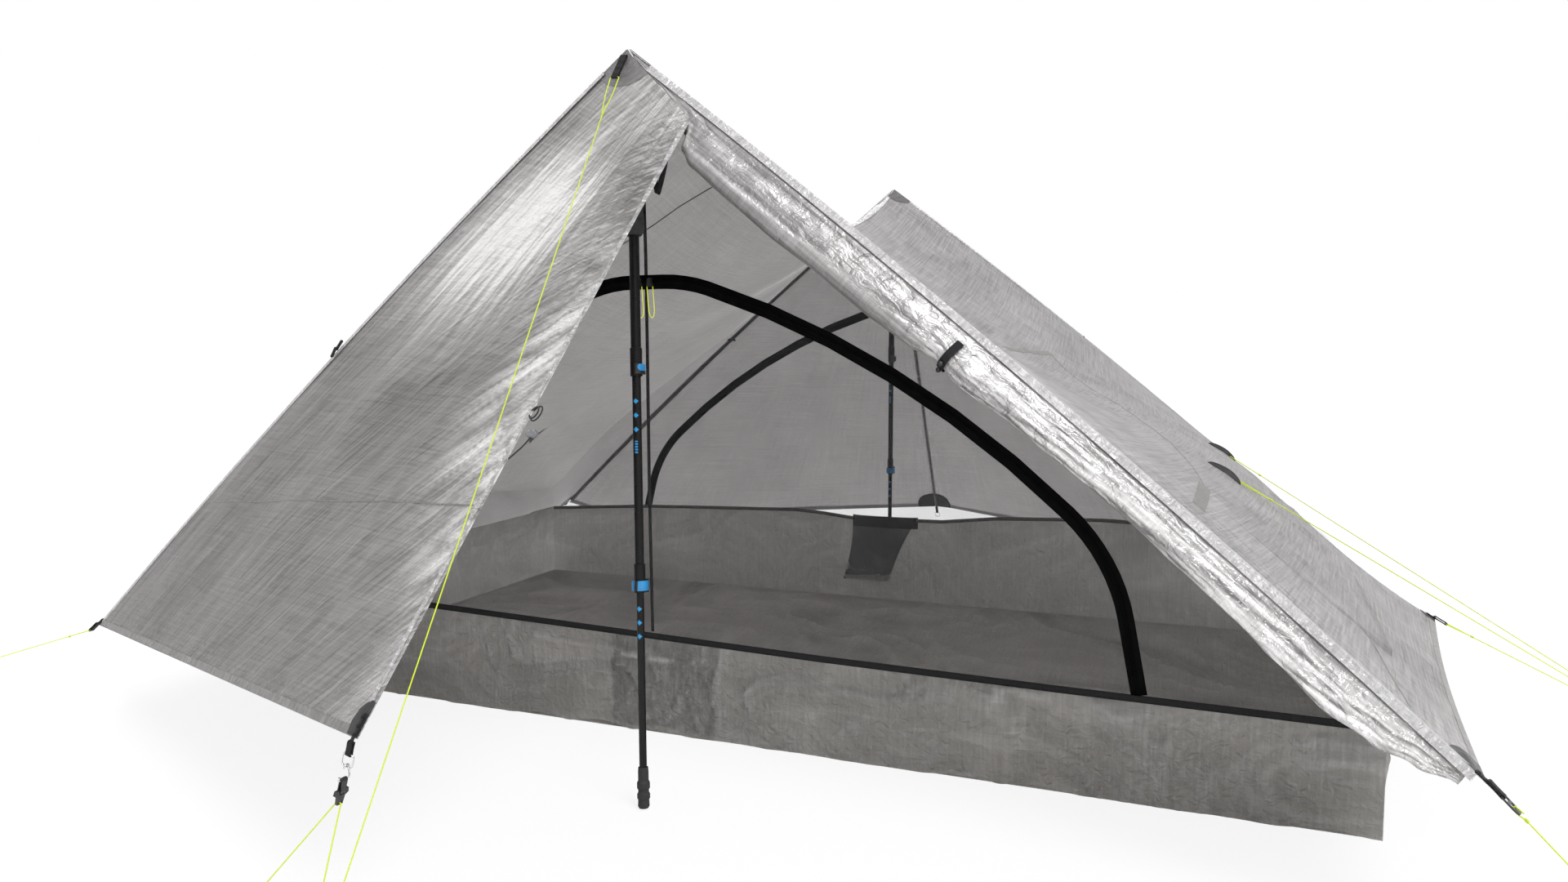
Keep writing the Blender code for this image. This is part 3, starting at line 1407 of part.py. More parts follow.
def build_lever(name, place, bottom, collar, start, turn):
    """A cam lever wrapped around a collar; its pin's hole is at the start angle."""
    radius = lever_ring(collar)
    half = LEVER_WALL / 2
    steps = 10
    outer = []
    for i in range(steps + 1):
        outer.append(polar(radius + half, start + turn * LEVER_WRAP * i / steps))
    stop = start + turn * LEVER_WRAP
    for i in range(1, 4):
        outer.append(polar(radius, stop) + polar(half, stop + turn * math.pi * i / 4))
    for i in range(steps + 1):
        outer.append(polar(radius - half, stop - turn * LEVER_WRAP * i / steps))
    for i in range(1, 4):
        outer.append(polar(radius, start) + polar(half, start + math.pi + turn * math.pi * i / 4))
    pin = polar(radius, start)
    hole = [pin + polar(PIN_RADIUS + GAP, 2 * math.pi * i / 12) for i in range(12)]
    middle = place @ Matrix.Translation(UP * (bottom + LEVER_RISE + LEVER_LENGTH / 2))
    plate(name, [outer, hole], LEVER_LENGTH, middle, "blue_lever")


def polar(radius, angle):
    """A point of a circle."""
    return Vector((radius * math.cos(angle), radius * math.sin(angle)))


def collared_tube(name, place, sizes, bottom, top, start):
    """A shaft section whose collar carries the ears and pin of its lever."""
    outer, bore, collar = sizes
    shaft = revolve(name, tube_profile(outer, bore, bottom, top, collar), place, "carbon")
    radius = lever_ring(collar)
    low = bottom + LEVER_RISE - GAP - EAR / 2
    high = bottom + LEVER_RISE + LEVER_LENGTH + GAP + EAR / 2
    inner = (collar + bore) / 2
    reach = radius + LEVER_WALL / 2 - inner
    turned = place @ Matrix.Rotation(start, 4, "Z")
    for i, height in enumerate((low, high)):
        centre = Vector((inner + reach / 2, 0.0, height))
        ear = block(name + " ear", (reach, LEVER_WALL, EAR), turned @ Matrix.Translation(centre), "carbon")
        cut(shaft, ear, "UNION")
    foot = turned @ Matrix.Translation(Vector((radius, 0.0, low)))
    rod = revolve(name + " pin", ((0.0, high - low), (PIN_RADIUS, high - low), (PIN_RADIUS, 0.0),
                                  (0.0, 0.0)), foot, "carbon", SMALL_ROUND)
    cut(shaft, rod, "UNION")


def build_pole(end, tip):
    """One trekking pole standing under a peak: grip, three sections, levers and rubber tip."""
    names = ["canopy_right_panel", "canopy_left_panel"]
    names += [end + "_left_storm_door", end + "_right_storm_door"]
    seat = clear_below(end, trees_of(names))
    length = (seat - tip).length
    place = frame(tip, seat - tip, ALONG)
    grip = [(0.0, length + POMMEL_RADIUS)]
    for i in range(1, 7):
        angle = math.radians(90 - 22 * i)
        grip.append((POMMEL_RADIUS * math.cos(angle), length + POMMEL_RADIUS * math.sin(angle)))
    grip += [(r, length - down) for r, down in GRIP_NECK] + list(GRIP_BODY)
    socket = UPPER_RADIUS + GRIP_CLEARANCE
    top = length - GRIP_SOCKET
    grip += [(socket, GRIP_BODY[-1][1]), (socket, top), (0.0, top)]
    revolve(end + "_pole_grip", grip, place, "grip_foam")
    levers = UPPER_LEVER_START, LOWER_LEVER_START
    collared_tube(end + "_pole_upper_shaft", place,
                  (UPPER_RADIUS, UPPER_RADIUS - TUBE_WALL, UPPER_COLLAR), UPPER_END,
                  top - GAP, levers[0])
    build_lever(end + "_pole_upper_lever", place, UPPER_END, UPPER_COLLAR, levers[0], 1)
    collared_tube(end + "_pole_middle_shaft", place,
                  (MIDDLE_RADIUS, MIDDLE_RADIUS - TUBE_WALL, LOWER_COLLAR), LOWER_END,
                  UPPER_END + OVERLAP, levers[1])
    build_lever(end + "_pole_lower_lever", place, LOWER_END, LOWER_COLLAR, levers[1], -1)
    top = LOWER_END + OVERLAP
    rod = ((0.0, top), (LOWER_RADIUS, top), (LOWER_RADIUS, BOOT_SOCKET + GAP), (0.0, BOOT_SOCKET + GAP))
    revolve(end + "_pole_lower_shaft", rod, place, "carbon")
    socket = LOWER_RADIUS + GAP
    boot = [(0.0, BOOT_SOCKET), (socket, BOOT_SOCKET), (socket, BOOT[0][1])] + list(BOOT)
    revolve(end + "_pole_tip", boot, place, "rubber")


# Guylines

def guyline(name, anchor, across, knot_distance, stop, loop=TAB_SLIT):
    """A taut cord: doubled through a tab's slot back to its knot, then straight to its end loop."""
    pull = (stop - anchor).normalized()
    cross = across.normalized()
    side = (cross - pull * cross.dot(pull)).normalized()
    half = WEBBING_WIDTH / 2 + CORD_RADIUS * 2.2
    knot = anchor + pull * knot_distance
    above = knot - pull * (CORD_RADIUS * 6)
    points = [(above + side * CORD_RADIUS * 3.2, 1.0), (anchor.lerp(above, 0.5) + side * half * 0.85, 1.0),
              (anchor + side * half + pull * CORD_RADIUS * 2, 1.0), (anchor + cross * half * 0.8, 1.0),
              (anchor - cross * half * 0.8, 1.0), (anchor - side * half + pull * CORD_RADIUS * 2, 1.0),
              (anchor.lerp(above, 0.5) - side * half * 0.85, 1.0), (above - side * CORD_RADIUS * 1.2, 1.0),
              (knot - pull * CORD_RADIUS * 2, KNOT_SHARE), (knot + pull * CORD_RADIUS * 2, KNOT_SHARE),
              (knot + pull * CORD_RADIUS * 5, 1.0)]
    end = end_points(stop, pull, side)
    for i in range(1, 4):
        points.append((points[10][0].lerp(end[0][0], i / 4), 1.0))
    return corded(name, points + end)


def end_points(stop, pull, side):
    """The last stretch of a cord: a knot and the open loop after it."""
    points = [(stop - pull * CORD_RADIUS * 7, 1.0), (stop - pull * CORD_RADIUS * 4, KNOT_SHARE),
              (stop, KNOT_SHARE)]
    centre = stop + pull * (END_LOOP + CORD_RADIUS * 4)
    for i in range(8):
        angle = math.radians(200 + 305 * i / 7)
        points.append((centre + pull * END_LOOP * math.cos(angle) + side * END_LOOP * math.sin(angle), 1.0))
    return points


def corded(name, points):
    """A cord of varying thickness through (point, share of its radius) pairs."""
    made = tube(name, [point for point, _ in points], CORD_RADIUS, "cord", sides=1)
    for spot, (_, share) in zip(made.data.splines[0].points, points):
        spot.radius = share
    return made


def slot_point(origin, along, length):
    """Where a cord crosses a webbing loop's slot, near its far end."""
    return origin + along.normalized() * (length - WEBBING - CORD_RADIUS - GAP)


def build_guylines():
    """The cords that the picture shows, each from its tab to a loop."""
    origin, aim = peak_loop_origin()
    across = aim.cross(aim.cross(ALONG))
    anchor = slot_point(origin, aim, PEAK_LOOP_LENGTH)
    guyline("front_peak_guyline", anchor, across, PEAK_KNOT, PEAK_END)
    anchor, across = loop_anchor(*corner_seat(-1, "front"), TAB_LENGTH)
    guyline("front_left_guyline", anchor, across, SIDE_KNOT, FRONT_LEFT_END)
    start, along, normal = buckle_place()
    through = start + along * (BUCKLE_BAR * 5.6 - CORD_RADIUS - GAP)
    buckle_cord("front_right_guyline", through, along, along.cross(normal), FRONT_RIGHT_END)
    anchor, across = loop_anchor(*hem_seat(1), TAB_LENGTH)
    guyline("right_hem_guyline", anchor, across, SIDE_KNOT, HEM_END)
    for word, sign, stop in (("front", -1, FRONT_TIEOUT_END), ("back", 1, BACK_TIEOUT_END)):
        anchor, across = loop_anchor(*tieout_seat(1, sign), TAB_LENGTH)
        guyline("right_" + word + "_tieout_guyline", anchor, across, SIDE_KNOT * 1.5, stop)
    toe_cord()


def buckle_cord(name, through, along, across, stop):
    """The corner's cord: one turn around the buckle's last bar, a knot, then out to its loop."""
    pull = (stop - through).normalized()
    side = across.normalized()
    normal = side.cross(along).normalized()
    rise = BUCKLE_THICKNESS / 2 + CORD_RADIUS + GAP
    shares = ((1.7, 12.0), (1.15, 3.0), (1.05, 0.0), (0.55, -0.4), (-0.55, -0.4), (-1.05, 0.0),
              (-1.15, 3.0), (-1.05, 11.0))
    points = [(through + normal * rise * a + along * CORD_RADIUS * b, 1.0) for a, b in shares]
    knot = through + along * CORD_RADIUS * 18
    pull = (stop - knot).normalized()
    points += [(knot, KNOT_SHARE), (knot + pull * CORD_RADIUS * 4, KNOT_SHARE)]
    points.append((knot + pull * CORD_RADIUS * 7, 1.0))
    end = end_points(stop, pull, side)
    for i in range(1, 3):
        points.append((points[10][0].lerp(end[0][0], i / 3), 1.0))
    corded(name, points + end)


def toe_cord():
    """The front toe's cord: from one loop up through the line lock and down to the other."""
    place = toe_place()
    hole = place @ (UP * toe_lock_hole())
    halves = []
    for stop, sign in zip(TOE_ENDS, (-1, 1)):
        near = place @ Vector((sign * CORD_RADIUS * 3.5, 0.0, toe_lock_hole() + CORD_RADIUS * 0.6))
        pull = (stop - near).normalized()
        side = pull.cross(BACKWARD).normalized()
        line = [(hole.lerp(near, 0.5), 1.0), (near, 1.0), (near + pull * CORD_RADIUS * 5, 1.0)]
        end = end_points(stop, pull, side)
        for i in range(1, 4):
            line.append((line[2][0].lerp(end[0][0], i / 4), 1.0))
        halves.append(line + end)
    corded("toe_guyline", halves[0][::-1] + halves[1])


def main():
    """Builds the tent."""
    build_fly()
    build_tub()
    build_mesh()
    build_pockets()
    build_corners()
    build_peaks()
    build_toe()
    build_strap()
    build_door_ties()
    build_sliders()
    build_pole("front", FRONT_TIP)
    build_pole("back", BACK_TIP)
    build_guylines()


clear_scene()
TENT = bpy.data.collections.new("trekking_pole_tent")
CUTTERS = bpy.data.collections.new("cutters")
bpy.context.scene.collection.children.link(TENT)
bpy.context.scene.collection.children.link(CUTTERS)
main()
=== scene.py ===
import math
import bmesh
import bpy
import numpy as np
from mathutils import Matrix, Vector, noise
from mathutils.bvhtree import BVHTree


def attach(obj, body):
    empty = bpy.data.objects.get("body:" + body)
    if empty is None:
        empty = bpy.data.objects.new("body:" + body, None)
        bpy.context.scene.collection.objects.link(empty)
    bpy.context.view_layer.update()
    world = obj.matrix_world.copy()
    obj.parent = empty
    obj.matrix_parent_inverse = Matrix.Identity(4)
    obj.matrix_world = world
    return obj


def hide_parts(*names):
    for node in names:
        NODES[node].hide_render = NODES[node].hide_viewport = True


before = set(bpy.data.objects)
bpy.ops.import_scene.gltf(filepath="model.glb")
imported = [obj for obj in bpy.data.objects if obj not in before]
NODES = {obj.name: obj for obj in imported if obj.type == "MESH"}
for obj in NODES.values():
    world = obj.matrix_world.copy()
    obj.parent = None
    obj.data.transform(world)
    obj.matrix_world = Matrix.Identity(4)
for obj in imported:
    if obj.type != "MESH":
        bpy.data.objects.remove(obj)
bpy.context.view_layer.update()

# Measurements in metres: X right, Y back, Z up from the ground under the tent's middle

FRONT_PEAK = Vector((0.0, -0.791, 1.232))
BACK_PEAK = Vector((0.0, 0.798, 1.221))
RIDGE_SAG = 0.20
SEAM_LIFT = 0.018
CORNER_REACH = 1.232
CORNER_DEPTH = 0.873
FRONT_RIGHT_RISE = 0.207
FRONT_LEFT_RISE = 0.169
BACK_RISE = 0.19
HEM_BOW = 0.097
HEM_REACH = CORNER_REACH + HEM_BOW
HEM_SHIFT = 0.017
HEM_RISE = 0.207
PANEL_PULL = 0.07
PULL_SHARE = 0.675
PULL_SPREAD_SHARE = 0.28
TIEOUT_SHARE = 0.146
FRONT_TOE = Vector((-0.053, -1.38, 0.265))
BACK_TOE = Vector((0.007, 1.357, 0.174))
CLOTH = 0.0015
PATCH = 0.0012
GAP = 0.0003
SEAM_GAP = 0.0017
DOOR_BILLOW = 0.012
FOLD_DEPTH = 0.004
FOLD_COUNT = 3
HOOD_SHARE = 0.112
HOOD_DROP = 0.030
FLOOR_INSET = 0.087
FLOOR_LENGTH = 2 * (CORNER_REACH - FLOOR_INSET)
FLOOR_WIDTH = 1.22
FLOOR_SHIFT = Vector((0.02, 0.0136, 0.0))
TUB_HEIGHT = 0.2
FRONT_TOP_SHARES = (0.0, 0.229, 0.605, 0.79, 1.0)
FRONT_TOPS = (0.205, 0.197, 0.175, 0.169, 0.165)
BACK_TOP_SHARES = (0.0, 0.155, 0.413, 0.649, 0.771, 0.906, 1.0)
BACK_TOPS = (0.210, 0.232, 0.250, 0.264, 0.275, 0.268, 0.245)
WALL_RIPPLE = 0.006
WALL_RIPPLES = 4
MESH_LEAN = 0.124
MESH_TOP = 1.135
ARCH_HEIGHT = 0.858
ARCH_FLAT = 0.06
BACK_ARCH_SHIFT = -0.038
ARCH_CROWN_RADIUS = 0.277
ARCH_SLOPE_RADIUS = 1.593
ARCH_SHOULDER_RADIUS = 0.31
CROWN_ANGLE = math.radians(18)
SHOULDER_ANGLE = math.radians(44)
LEG_ANGLE = math.radians(80)
ARCH_STEP = math.radians(4.5)
POCKET_DEPTH = 0.012
POCKET_CLEARANCE = 0.0018
ROLL_RADIUS = 0.022
ROLL_STEM = 0.062
ROLL_SET_IN = 0.002
STRAP_SHARE = 0.468
STRAP_WIDTH = 0.012
STRAP_THICKNESS = 0.0015
STRAP_CLEARANCE = 0.0008
TOGGLE_RADIUS = 0.004
TOGGLE_LENGTH = 0.026
WEBBING_WIDTH = 0.012
WEBBING = 0.0014
TAB_LENGTH = 0.026
TAB_SLIT = 0.0026
TAB_START = 0.004
CORNER_PATCH = 0.055
CRESCENT_LENGTH = 0.075
CRESCENT_WIDTH = 0.020
TOE_PATCH = 0.052
PATCH_LIFT = 0.0003
RING_WIRE = 0.0012
RING_WIDTH = 0.0085
RING_LENGTH = 0.0085
HOOK_RADIUS = 0.0042
HOOK_BAR = 0.0085
HOOK_DROP = 0.016
TOE_SLIT = 0.0034
TOE_WEBBING = 0.008
TOE_LOOP = 0.022
TOE_LOCK = 0.020
TOE_CHAIN = Vector((-0.017, -0.002, -0.064))
TIE_LOOP = 0.009
TIE_CORD = 0.0011
TIE_LOOP_SHARE = 0.541
TIE_TOGGLE_SHARE = 0.571
TIE_CORD_SHARE = 0.612
TIE_TOGGLE_OUT = 0.020
TIE_TOGGLE_LENGTH = 0.025
TIE_TOGGLE_RADIUS = 0.0065
BUCKLE_THICKNESS = 0.0020
BUCKLE_BAR = 0.0032
CAP_REACH = 0.062
PEAK_LOOP_START = 0.0165
PEAK_LOOP_AIM = Vector((-0.007, -0.042, -0.069))
PEAK_LOOP_LENGTH = 0.050
FRONT_TIP = Vector((0.075, -0.905, 0.0))
CORD_RADIUS = 0.0009
KNOT_SHARE = 2.6
END_LOOP = 0.008
PEAK_KNOT = 0.075
SIDE_KNOT = 0.050
PEAK_END = Vector((-0.006, -1.474, 0.100))
TOE_ENDS = (Vector((-0.200, -1.4127, 0.050)), Vector((-0.0387, -1.465, 0.094)))
FRONT_RIGHT_END = Vector((1.328, -0.918, 0.116))
FRONT_LEFT_END = Vector((-1.460, -0.950, 0.091))
HEM_END = Vector((1.5765, 0.0074, 0.0896))
FRONT_TIEOUT_END = Vector((1.554, -0.056, 0.1226))
BACK_TIEOUT_END = Vector((1.588, 0.054, 0.102))
ROUND = 16
UP = Vector((0.0, 0.0, 1.0))
ALONG = Vector((1.0, 0.0, 0.0))
BACKWARD = Vector((0.0, 1.0, 0.0))
ROLL_SHARES = (
    (0.012, 0.04, 0.03, 0.06), (0.055, 0.19, 0.03, 0.06), (0.10, 0.39, 0.03, 0.06),
    (0.118, 0.62, 0.12, 0.14), (0.133, 0.95, 0.40, 0.42), (0.15, 1.00, 0.55, 0.55),
    (0.20, 0.95, 0.66, 0.64), (0.26, 0.86, 0.82, 0.76),
    (0.32, 0.72, 0.86, 0.90), (0.38, 0.60, 1.00, 0.92), (0.43, 0.52, 0.94, 0.98),
    (0.46, 0.48, 0.80, 0.78), (0.49, 0.44, 0.98, 0.94), (0.55, 0.32, 0.92, 1.00),
    (0.61, 0.22, 1.00, 0.90), (0.67, 0.16, 0.94, 0.96), (0.73, 0.18, 1.02, 0.84),
    (0.79, 0.24, 1.00, 0.74), (0.84, 0.30, 1.06, 0.56), (0.88, 0.34, 1.14, 0.38),
    (0.92, 0.30, 1.02, 0.24), (0.955, 0.20, 0.72, 0.18), (0.985, 0.08, 0.40, 0.14),
)
ROLL_SIDES = 14
FRONT_POCKET = ((-0.163, 0.057), (-0.163, 0.057), (0.170, 0.012))
BACK_POCKET = ((-0.070, 0.128), (-0.097, 0.043), (0.238, 0.053))


# The tent's geometry

def axes_at(origin, x, y, z):
    """A placing with its axes along three directions."""
    turn = Matrix((x, y, z)).transposed().to_4x4()
    turn.translation = origin
    return turn


def placing(origin, along, across):
    """A placing with +Z along one direction and +X as near as it goes to another."""
    z = along.normalized()
    y = z.cross(across).normalized()
    return axes_at(origin, y.cross(z), y, z)


def flattened(way, normal):
    """A direction laid into the plane of a normal."""
    return (way - normal * way.dot(normal)).normalized()


def normal_of(surface, u, v):
    """Unit normal of a surface, from its slopes."""
    step = 0.004
    low_u, high_u = max(u - step, 0.0), min(u + step, 1.0)
    low_v, high_v = max(v - step, 0.0), min(v + step, 1.0)
    across = surface(high_u, v) - surface(low_u, v)
    down = surface(u, high_v) - surface(u, low_v)
    return across.cross(down).normalized()


def corner(side, end):
    """A canopy corner: side is 1 for right or -1 for left, end is "front" or "back"."""
    if end == "back":
        return Vector((side * CORNER_REACH, CORNER_DEPTH, BACK_RISE))
    rise = FRONT_RIGHT_RISE if side > 0 else FRONT_LEFT_RISE
    return Vector((side * CORNER_REACH, -CORNER_DEPTH, rise))


def peak(end):
    """The apex at that end."""
    return FRONT_PEAK if end == "front" else BACK_PEAK


def toe(end):
    """Where the storm doors of that end come together at the ground."""
    return FRONT_TOE if end == "front" else BACK_TOE


def drop(end):
    """From the peak down to the storm doors' toe."""
    return toe(end) - peak(end)


def seam_length():
    """Straight length of the seam from the front peak to the front right corner."""
    return (corner(1, "front") - FRONT_PEAK).length


def outward(side):
    """The end panel's outward direction."""
    rise = FRONT_PEAK.z - HEM_RISE
    return Vector((side * rise, 0.0, HEM_REACH)).normalized()


def seam_point(side, end, s):
    """A point of the seam from the peak (s = 0) to the corner (s = 1)."""
    straight = peak(end).lerp(corner(side, end), s)
    return straight + outward(side) * (4 * s * (1 - s) * SEAM_LIFT)


def panel_point(side, s, t):
    """A point of the end panel: s runs from ridge to hem, t from front to back."""
    ruled = seam_point(side, "front", s).lerp(seam_point(side, "back", s), t)
    middle = (corner(side, "front") + corner(side, "back")) / 2
    hem = Vector((side * HEM_REACH, HEM_SHIFT, HEM_RISE)) - middle
    if side < 0:
        hem.z = 0.0
    bump = math.exp(-(((s - PULL_SHARE) / PULL_SPREAD_SHARE) ** 2)) * s * (1 - s)
    bump /= PULL_SHARE * (1 - PULL_SHARE)
    sag = -UP * (RIDGE_SAG * (1 - s * s))
    return ruled + (sag + hem * s + outward(side) * (PANEL_PULL * bump)) * (4 * t * (1 - t))


def panel(side):
    """The end panel as a surface whose normal points out of the tent."""
    if side > 0:
        return lambda u, v: panel_point(side, u, v)
    return lambda u, v: panel_point(side, u, 1 - v)


def door_down(side, end):
    """Unit direction in a closed storm door's plane, square to its seam, towards the toe."""
    return flattened(drop(end), (corner(side, end) - peak(end)).normalized())


def door_out(side, end):
    """Unit direction out of a closed storm door."""
    out = (corner(side, end) - peak(end)).normalized().cross(door_down(side, end))
    return out if out.y * facing(end) > 0 else -out


def hood_tip():
    """The point of the hood where the front doors part."""
    return seam_point(1, "front", HOOD_SHARE) + door_down(1, "front") * HOOD_DROP


def folds(u, v):
    """Shallow tension folds that run down from the peak and fade at the edges."""
    return FOLD_DEPTH * math.sin(2 * math.pi * FOLD_COUNT * u) * math.sin(math.pi * v) * 4 * u * (1 - u)


def inset_share(u, width, first, last):
    """The share across a width for a cloth set in by lengths from both sides."""
    return (first + u * (width - first - last)) / width


def billow(u, v):
    """How far a closed door stands out of its ruled shape."""
    return DOOR_BILLOW * 4 * u * (1 - u) * math.sin(math.pi * v) + folds(u, v)


def front_left_door(u, v):
    """The closed front door: u from seam to free edge, v from peak to hem."""
    seam = seam_point(-1, "front", v)
    edge = hood_tip().lerp(FRONT_TOE, v)
    ruled = seam.lerp(edge, inset_share(u, (edge - seam).length, SEAM_GAP * 3, 0.0))
    return ruled + door_out(-1, "front") * billow(u, v)


def back_door(side):
    """A closed back door: u from seam to the middle, v from peak to hem, facing out."""
    def surface(u, v):
        """The door's point at its shares."""
        across = 1 - u if side > 0 else u
        seam = seam_point(side, "back", v)
        middle = BACK_PEAK.lerp(BACK_TOE, v)
        share = inset_share(across, (middle - seam).length, SEAM_GAP * 3, SEAM_GAP)
        return seam.lerp(middle, share) + door_out(side, "back") * billow(across, v)
    return surface


def roll_section(stem_share, width_share, depth_share):
    """Outline of the hanging strip and its roll: (down the door, into the tent) pairs."""
    stem = ROLL_STEM * stem_share + SEAM_GAP * 2
    width = ROLL_RADIUS * width_share
    depth = ROLL_RADIUS * depth_share
    turn = math.asin(CLOTH / depth - 1)
    end = math.pi - turn
    outline = [(SEAM_GAP * 1.1, 0.0)]
    for i in range(ROLL_SIDES):
        angle = -math.pi / 2 + (end + math.pi / 2) * i / (ROLL_SIDES - 1)
        outline.append((stem + width + width * math.cos(angle), depth * (1 + math.sin(angle))))
    outline.append((SEAM_GAP * 1.1, CLOTH))
    return outline


def roll_place(s):
    """Placing of the roll's section: X down the door, Y into the tent, at a seam station."""
    origin = seam_point(1, "front", s)
    down = door_down(1, "front")
    inward = -door_out(1, "front")
    return origin, down, inward


def floor_x(u):
    """World x at a share of the floor's length from left to right."""
    return FLOOR_SHIFT.x + (u - 0.5) * FLOOR_LENGTH


def stepped(shares, values, u):
    """A value between the table's, straight from one to the next."""
    for i in range(len(shares) - 1):
        if u <= shares[i + 1]:
            part = (u - shares[i]) / (shares[i + 1] - shares[i])
            return values[i] + (values[i + 1] - values[i]) * part
    return values[-1]


def wall_top(end, u):
    """Height of the tub wall at a share of the length."""
    if end == "front":
        return stepped(FRONT_TOP_SHARES, FRONT_TOPS, u)
    return stepped(BACK_TOP_SHARES, BACK_TOPS, u)


def facing(end):
    """-1 at the front, 1 at the back."""
    return -1 if end == "front" else 1


def wall_foot(end):
    """World y of the tub wall's foot."""
    return FLOOR_SHIFT.y + facing(end) * FLOOR_WIDTH / 2


def mesh_y(end, z):
    """World y of the leaning mesh at a height."""
    return wall_foot(end) + facing(end) * MESH_LEAN * (z - TUB_HEIGHT)


def long_wall_point(end, u, v):
    """A point of the front or back tub wall's outer face; u runs from left to right."""
    top = wall_top(end, u)
    wave = WALL_RIPPLE * math.sin(2 * math.pi * WALL_RIPPLES * u) * math.sin(math.pi * v) * 4 * u * (1 - u)
    y = wall_foot(end) + (mesh_y(end, top) - wall_foot(end)) * v + wave
    return Vector((floor_x(u), y, top * v))


def end_wall_point(side, u, v):
    """A point of an end wall's outer face; u runs from front to back between the long walls."""
    share = 1.0 if side > 0 else 0.0
    return long_wall_point("front", share, v).lerp(long_wall_point("back", share, v), u)


def mesh_place(end):
    """Placing of the leaning mesh: X along the tent, Y up the mesh, Z out of the tent."""
    rise = (UP + BACKWARD * (facing(end) * MESH_LEAN)).normalized()
    along = ALONG * -facing(end)
    return axes_at(Vector((0.0, wall_foot(end), TUB_HEIGHT)), along, rise, along.cross(rise))


def on_mesh(points):
    """Turns (x in the mesh's placing, world height) pairs into its plane's coordinates."""
    stretch = math.sqrt(1 + MESH_LEAN ** 2)
    return [(x, (z - TUB_HEIGHT) * stretch) for x, z in points]


def sill(end, x):
    """Height of the tub wall's top at an x of the mesh's placing."""
    world = -facing(end) * x
    return wall_top(end, min(max((world - floor_x(0)) / FLOOR_LENGTH, 0.0), 1.0))


def arch_half(offset):
    """Right half of the arch at an offset from its tape's middle, from the top down."""
    first = Vector((0.0, ARCH_HEIGHT - ARCH_CROWN_RADIUS))
    second = first - arch_turn(CROWN_ANGLE) * (ARCH_SLOPE_RADIUS - ARCH_CROWN_RADIUS)
    third = second + arch_turn(SHOULDER_ANGLE) * (ARCH_SLOPE_RADIUS - ARCH_SHOULDER_RADIUS)
    spans = (
        (first, ARCH_CROWN_RADIUS, 0.0, CROWN_ANGLE),
        (second, ARCH_SLOPE_RADIUS, CROWN_ANGLE, SHOULDER_ANGLE),
        (third, ARCH_SHOULDER_RADIUS, SHOULDER_ANGLE, LEG_ANGLE),
    )
    points = []
    for centre, radius, start, end in spans:
        steps = max(2, round((end - start) / ARCH_STEP))
        for i in range(steps + (end == LEG_ANGLE)):
            angle = start + (end - start) * i / steps
            points.append(centre + arch_turn(angle) * (radius + offset))
    return points


def arch_turn(angle):
    """Unit vector at an angle from upright."""
    return Vector((math.sin(angle), math.cos(angle)))


def arch_path(end, offset, foot):
    """The arch from its left foot over the top to its right foot, foot above the tub wall."""
    shift = BACK_ARCH_SHIFT if end == "back" else 0.0
    half = arch_half(offset)
    right = [(p.x + shift, p.y) for p in half]
    left = [(-p.x + shift - ARCH_FLAT, p.y) for p in reversed(half)]
    path = left + right
    slope = math.tan(math.pi / 2 - LEG_ANGLE)
    for index, sign in ((0, -1), (-1, 1)):
        x, z = path[index]
        low_x, low_z = x, z
        for _ in range(6):
            low_z = sill(end, low_x) + foot
            low_x = x + sign * (z - low_z) * slope
        if index:
            path.append((low_x, low_z))
        else:
            path.insert(0, (low_x, low_z))
    return path


def sill_line(end, start, stop, rise):
    """Points above the tub wall's top from one x to another of the mesh's placing."""
    shares = FRONT_TOP_SHARES if end == "front" else BACK_TOP_SHARES
    knots = [-facing(end) * floor_x(share) for share in shares]
    low, high = min(start, stop), max(start, stop)
    inner = sorted(x for x in knots if low + GAP < x < high - GAP)
    line = [start] + (inner if start < stop else inner[::-1]) + [stop]
    return [(x, sill(end, x) + rise) for x in line]


def tieout_point(t):
    """Where a side guyline pulls on the end panel: t 0.5 less or more the tie-outs' share."""
    return panel_point(1, PULL_SHARE, t)


def loop_start(spot, normal, aim):
    """Where a tab's webbing loop starts above its patch, and its direction."""
    along = flattened(aim, normal)
    return spot + normal * (TAB_SLIT / 2 + WEBBING + PATCH_LIFT + PATCH / 2) - along * TAB_START, along


def loop_anchor(spot, normal, aim):
    """Where a cord crosses a seated loop's slot, and the direction across it."""
    origin, along = loop_start(spot, normal, aim)
    return slot_point(origin, along, TAB_LENGTH), along.cross(normal)


def hem_seat(side):
    """Point, normal and aim of the tab at the middle of a hem."""
    surface = panel(side)
    aim = Vector((side * HEM_REACH, 0.0, -(FRONT_PEAK.z - HEM_RISE))).normalized()
    return surface(1.0, 0.5), normal_of(surface, 1.0, 0.5), aim


def tieout_seat(side, sign):
    """Point, normal and aim of a tie-out; sign is -1 at the front and 1 at the back."""
    surface = panel(side)
    t = 0.5 + sign * TIEOUT_SHARE * side
    normal = normal_of(surface, PULL_SHARE, t)
    pull = tieout_pull(side, sign)
    tree = trees_of(("canopy_right_panel" if side > 0 else "canopy_left_panel",))[0]
    laid = tree.ray_cast(surface(PULL_SHARE, t) + normal * TOE_PATCH, -normal)[0]
    return laid - flattened(pull, normal) * TAB_START, normal, pull


def tieout_pull(side, sign):
    """Direction of the guyline at a tie-out."""
    end = BACK_TIEOUT_END if sign > 0 else FRONT_TIEOUT_END
    aim = (end - tieout_point(0.5 + sign * TIEOUT_SHARE)).normalized()
    return Vector((side * aim.x, aim.y, aim.z))


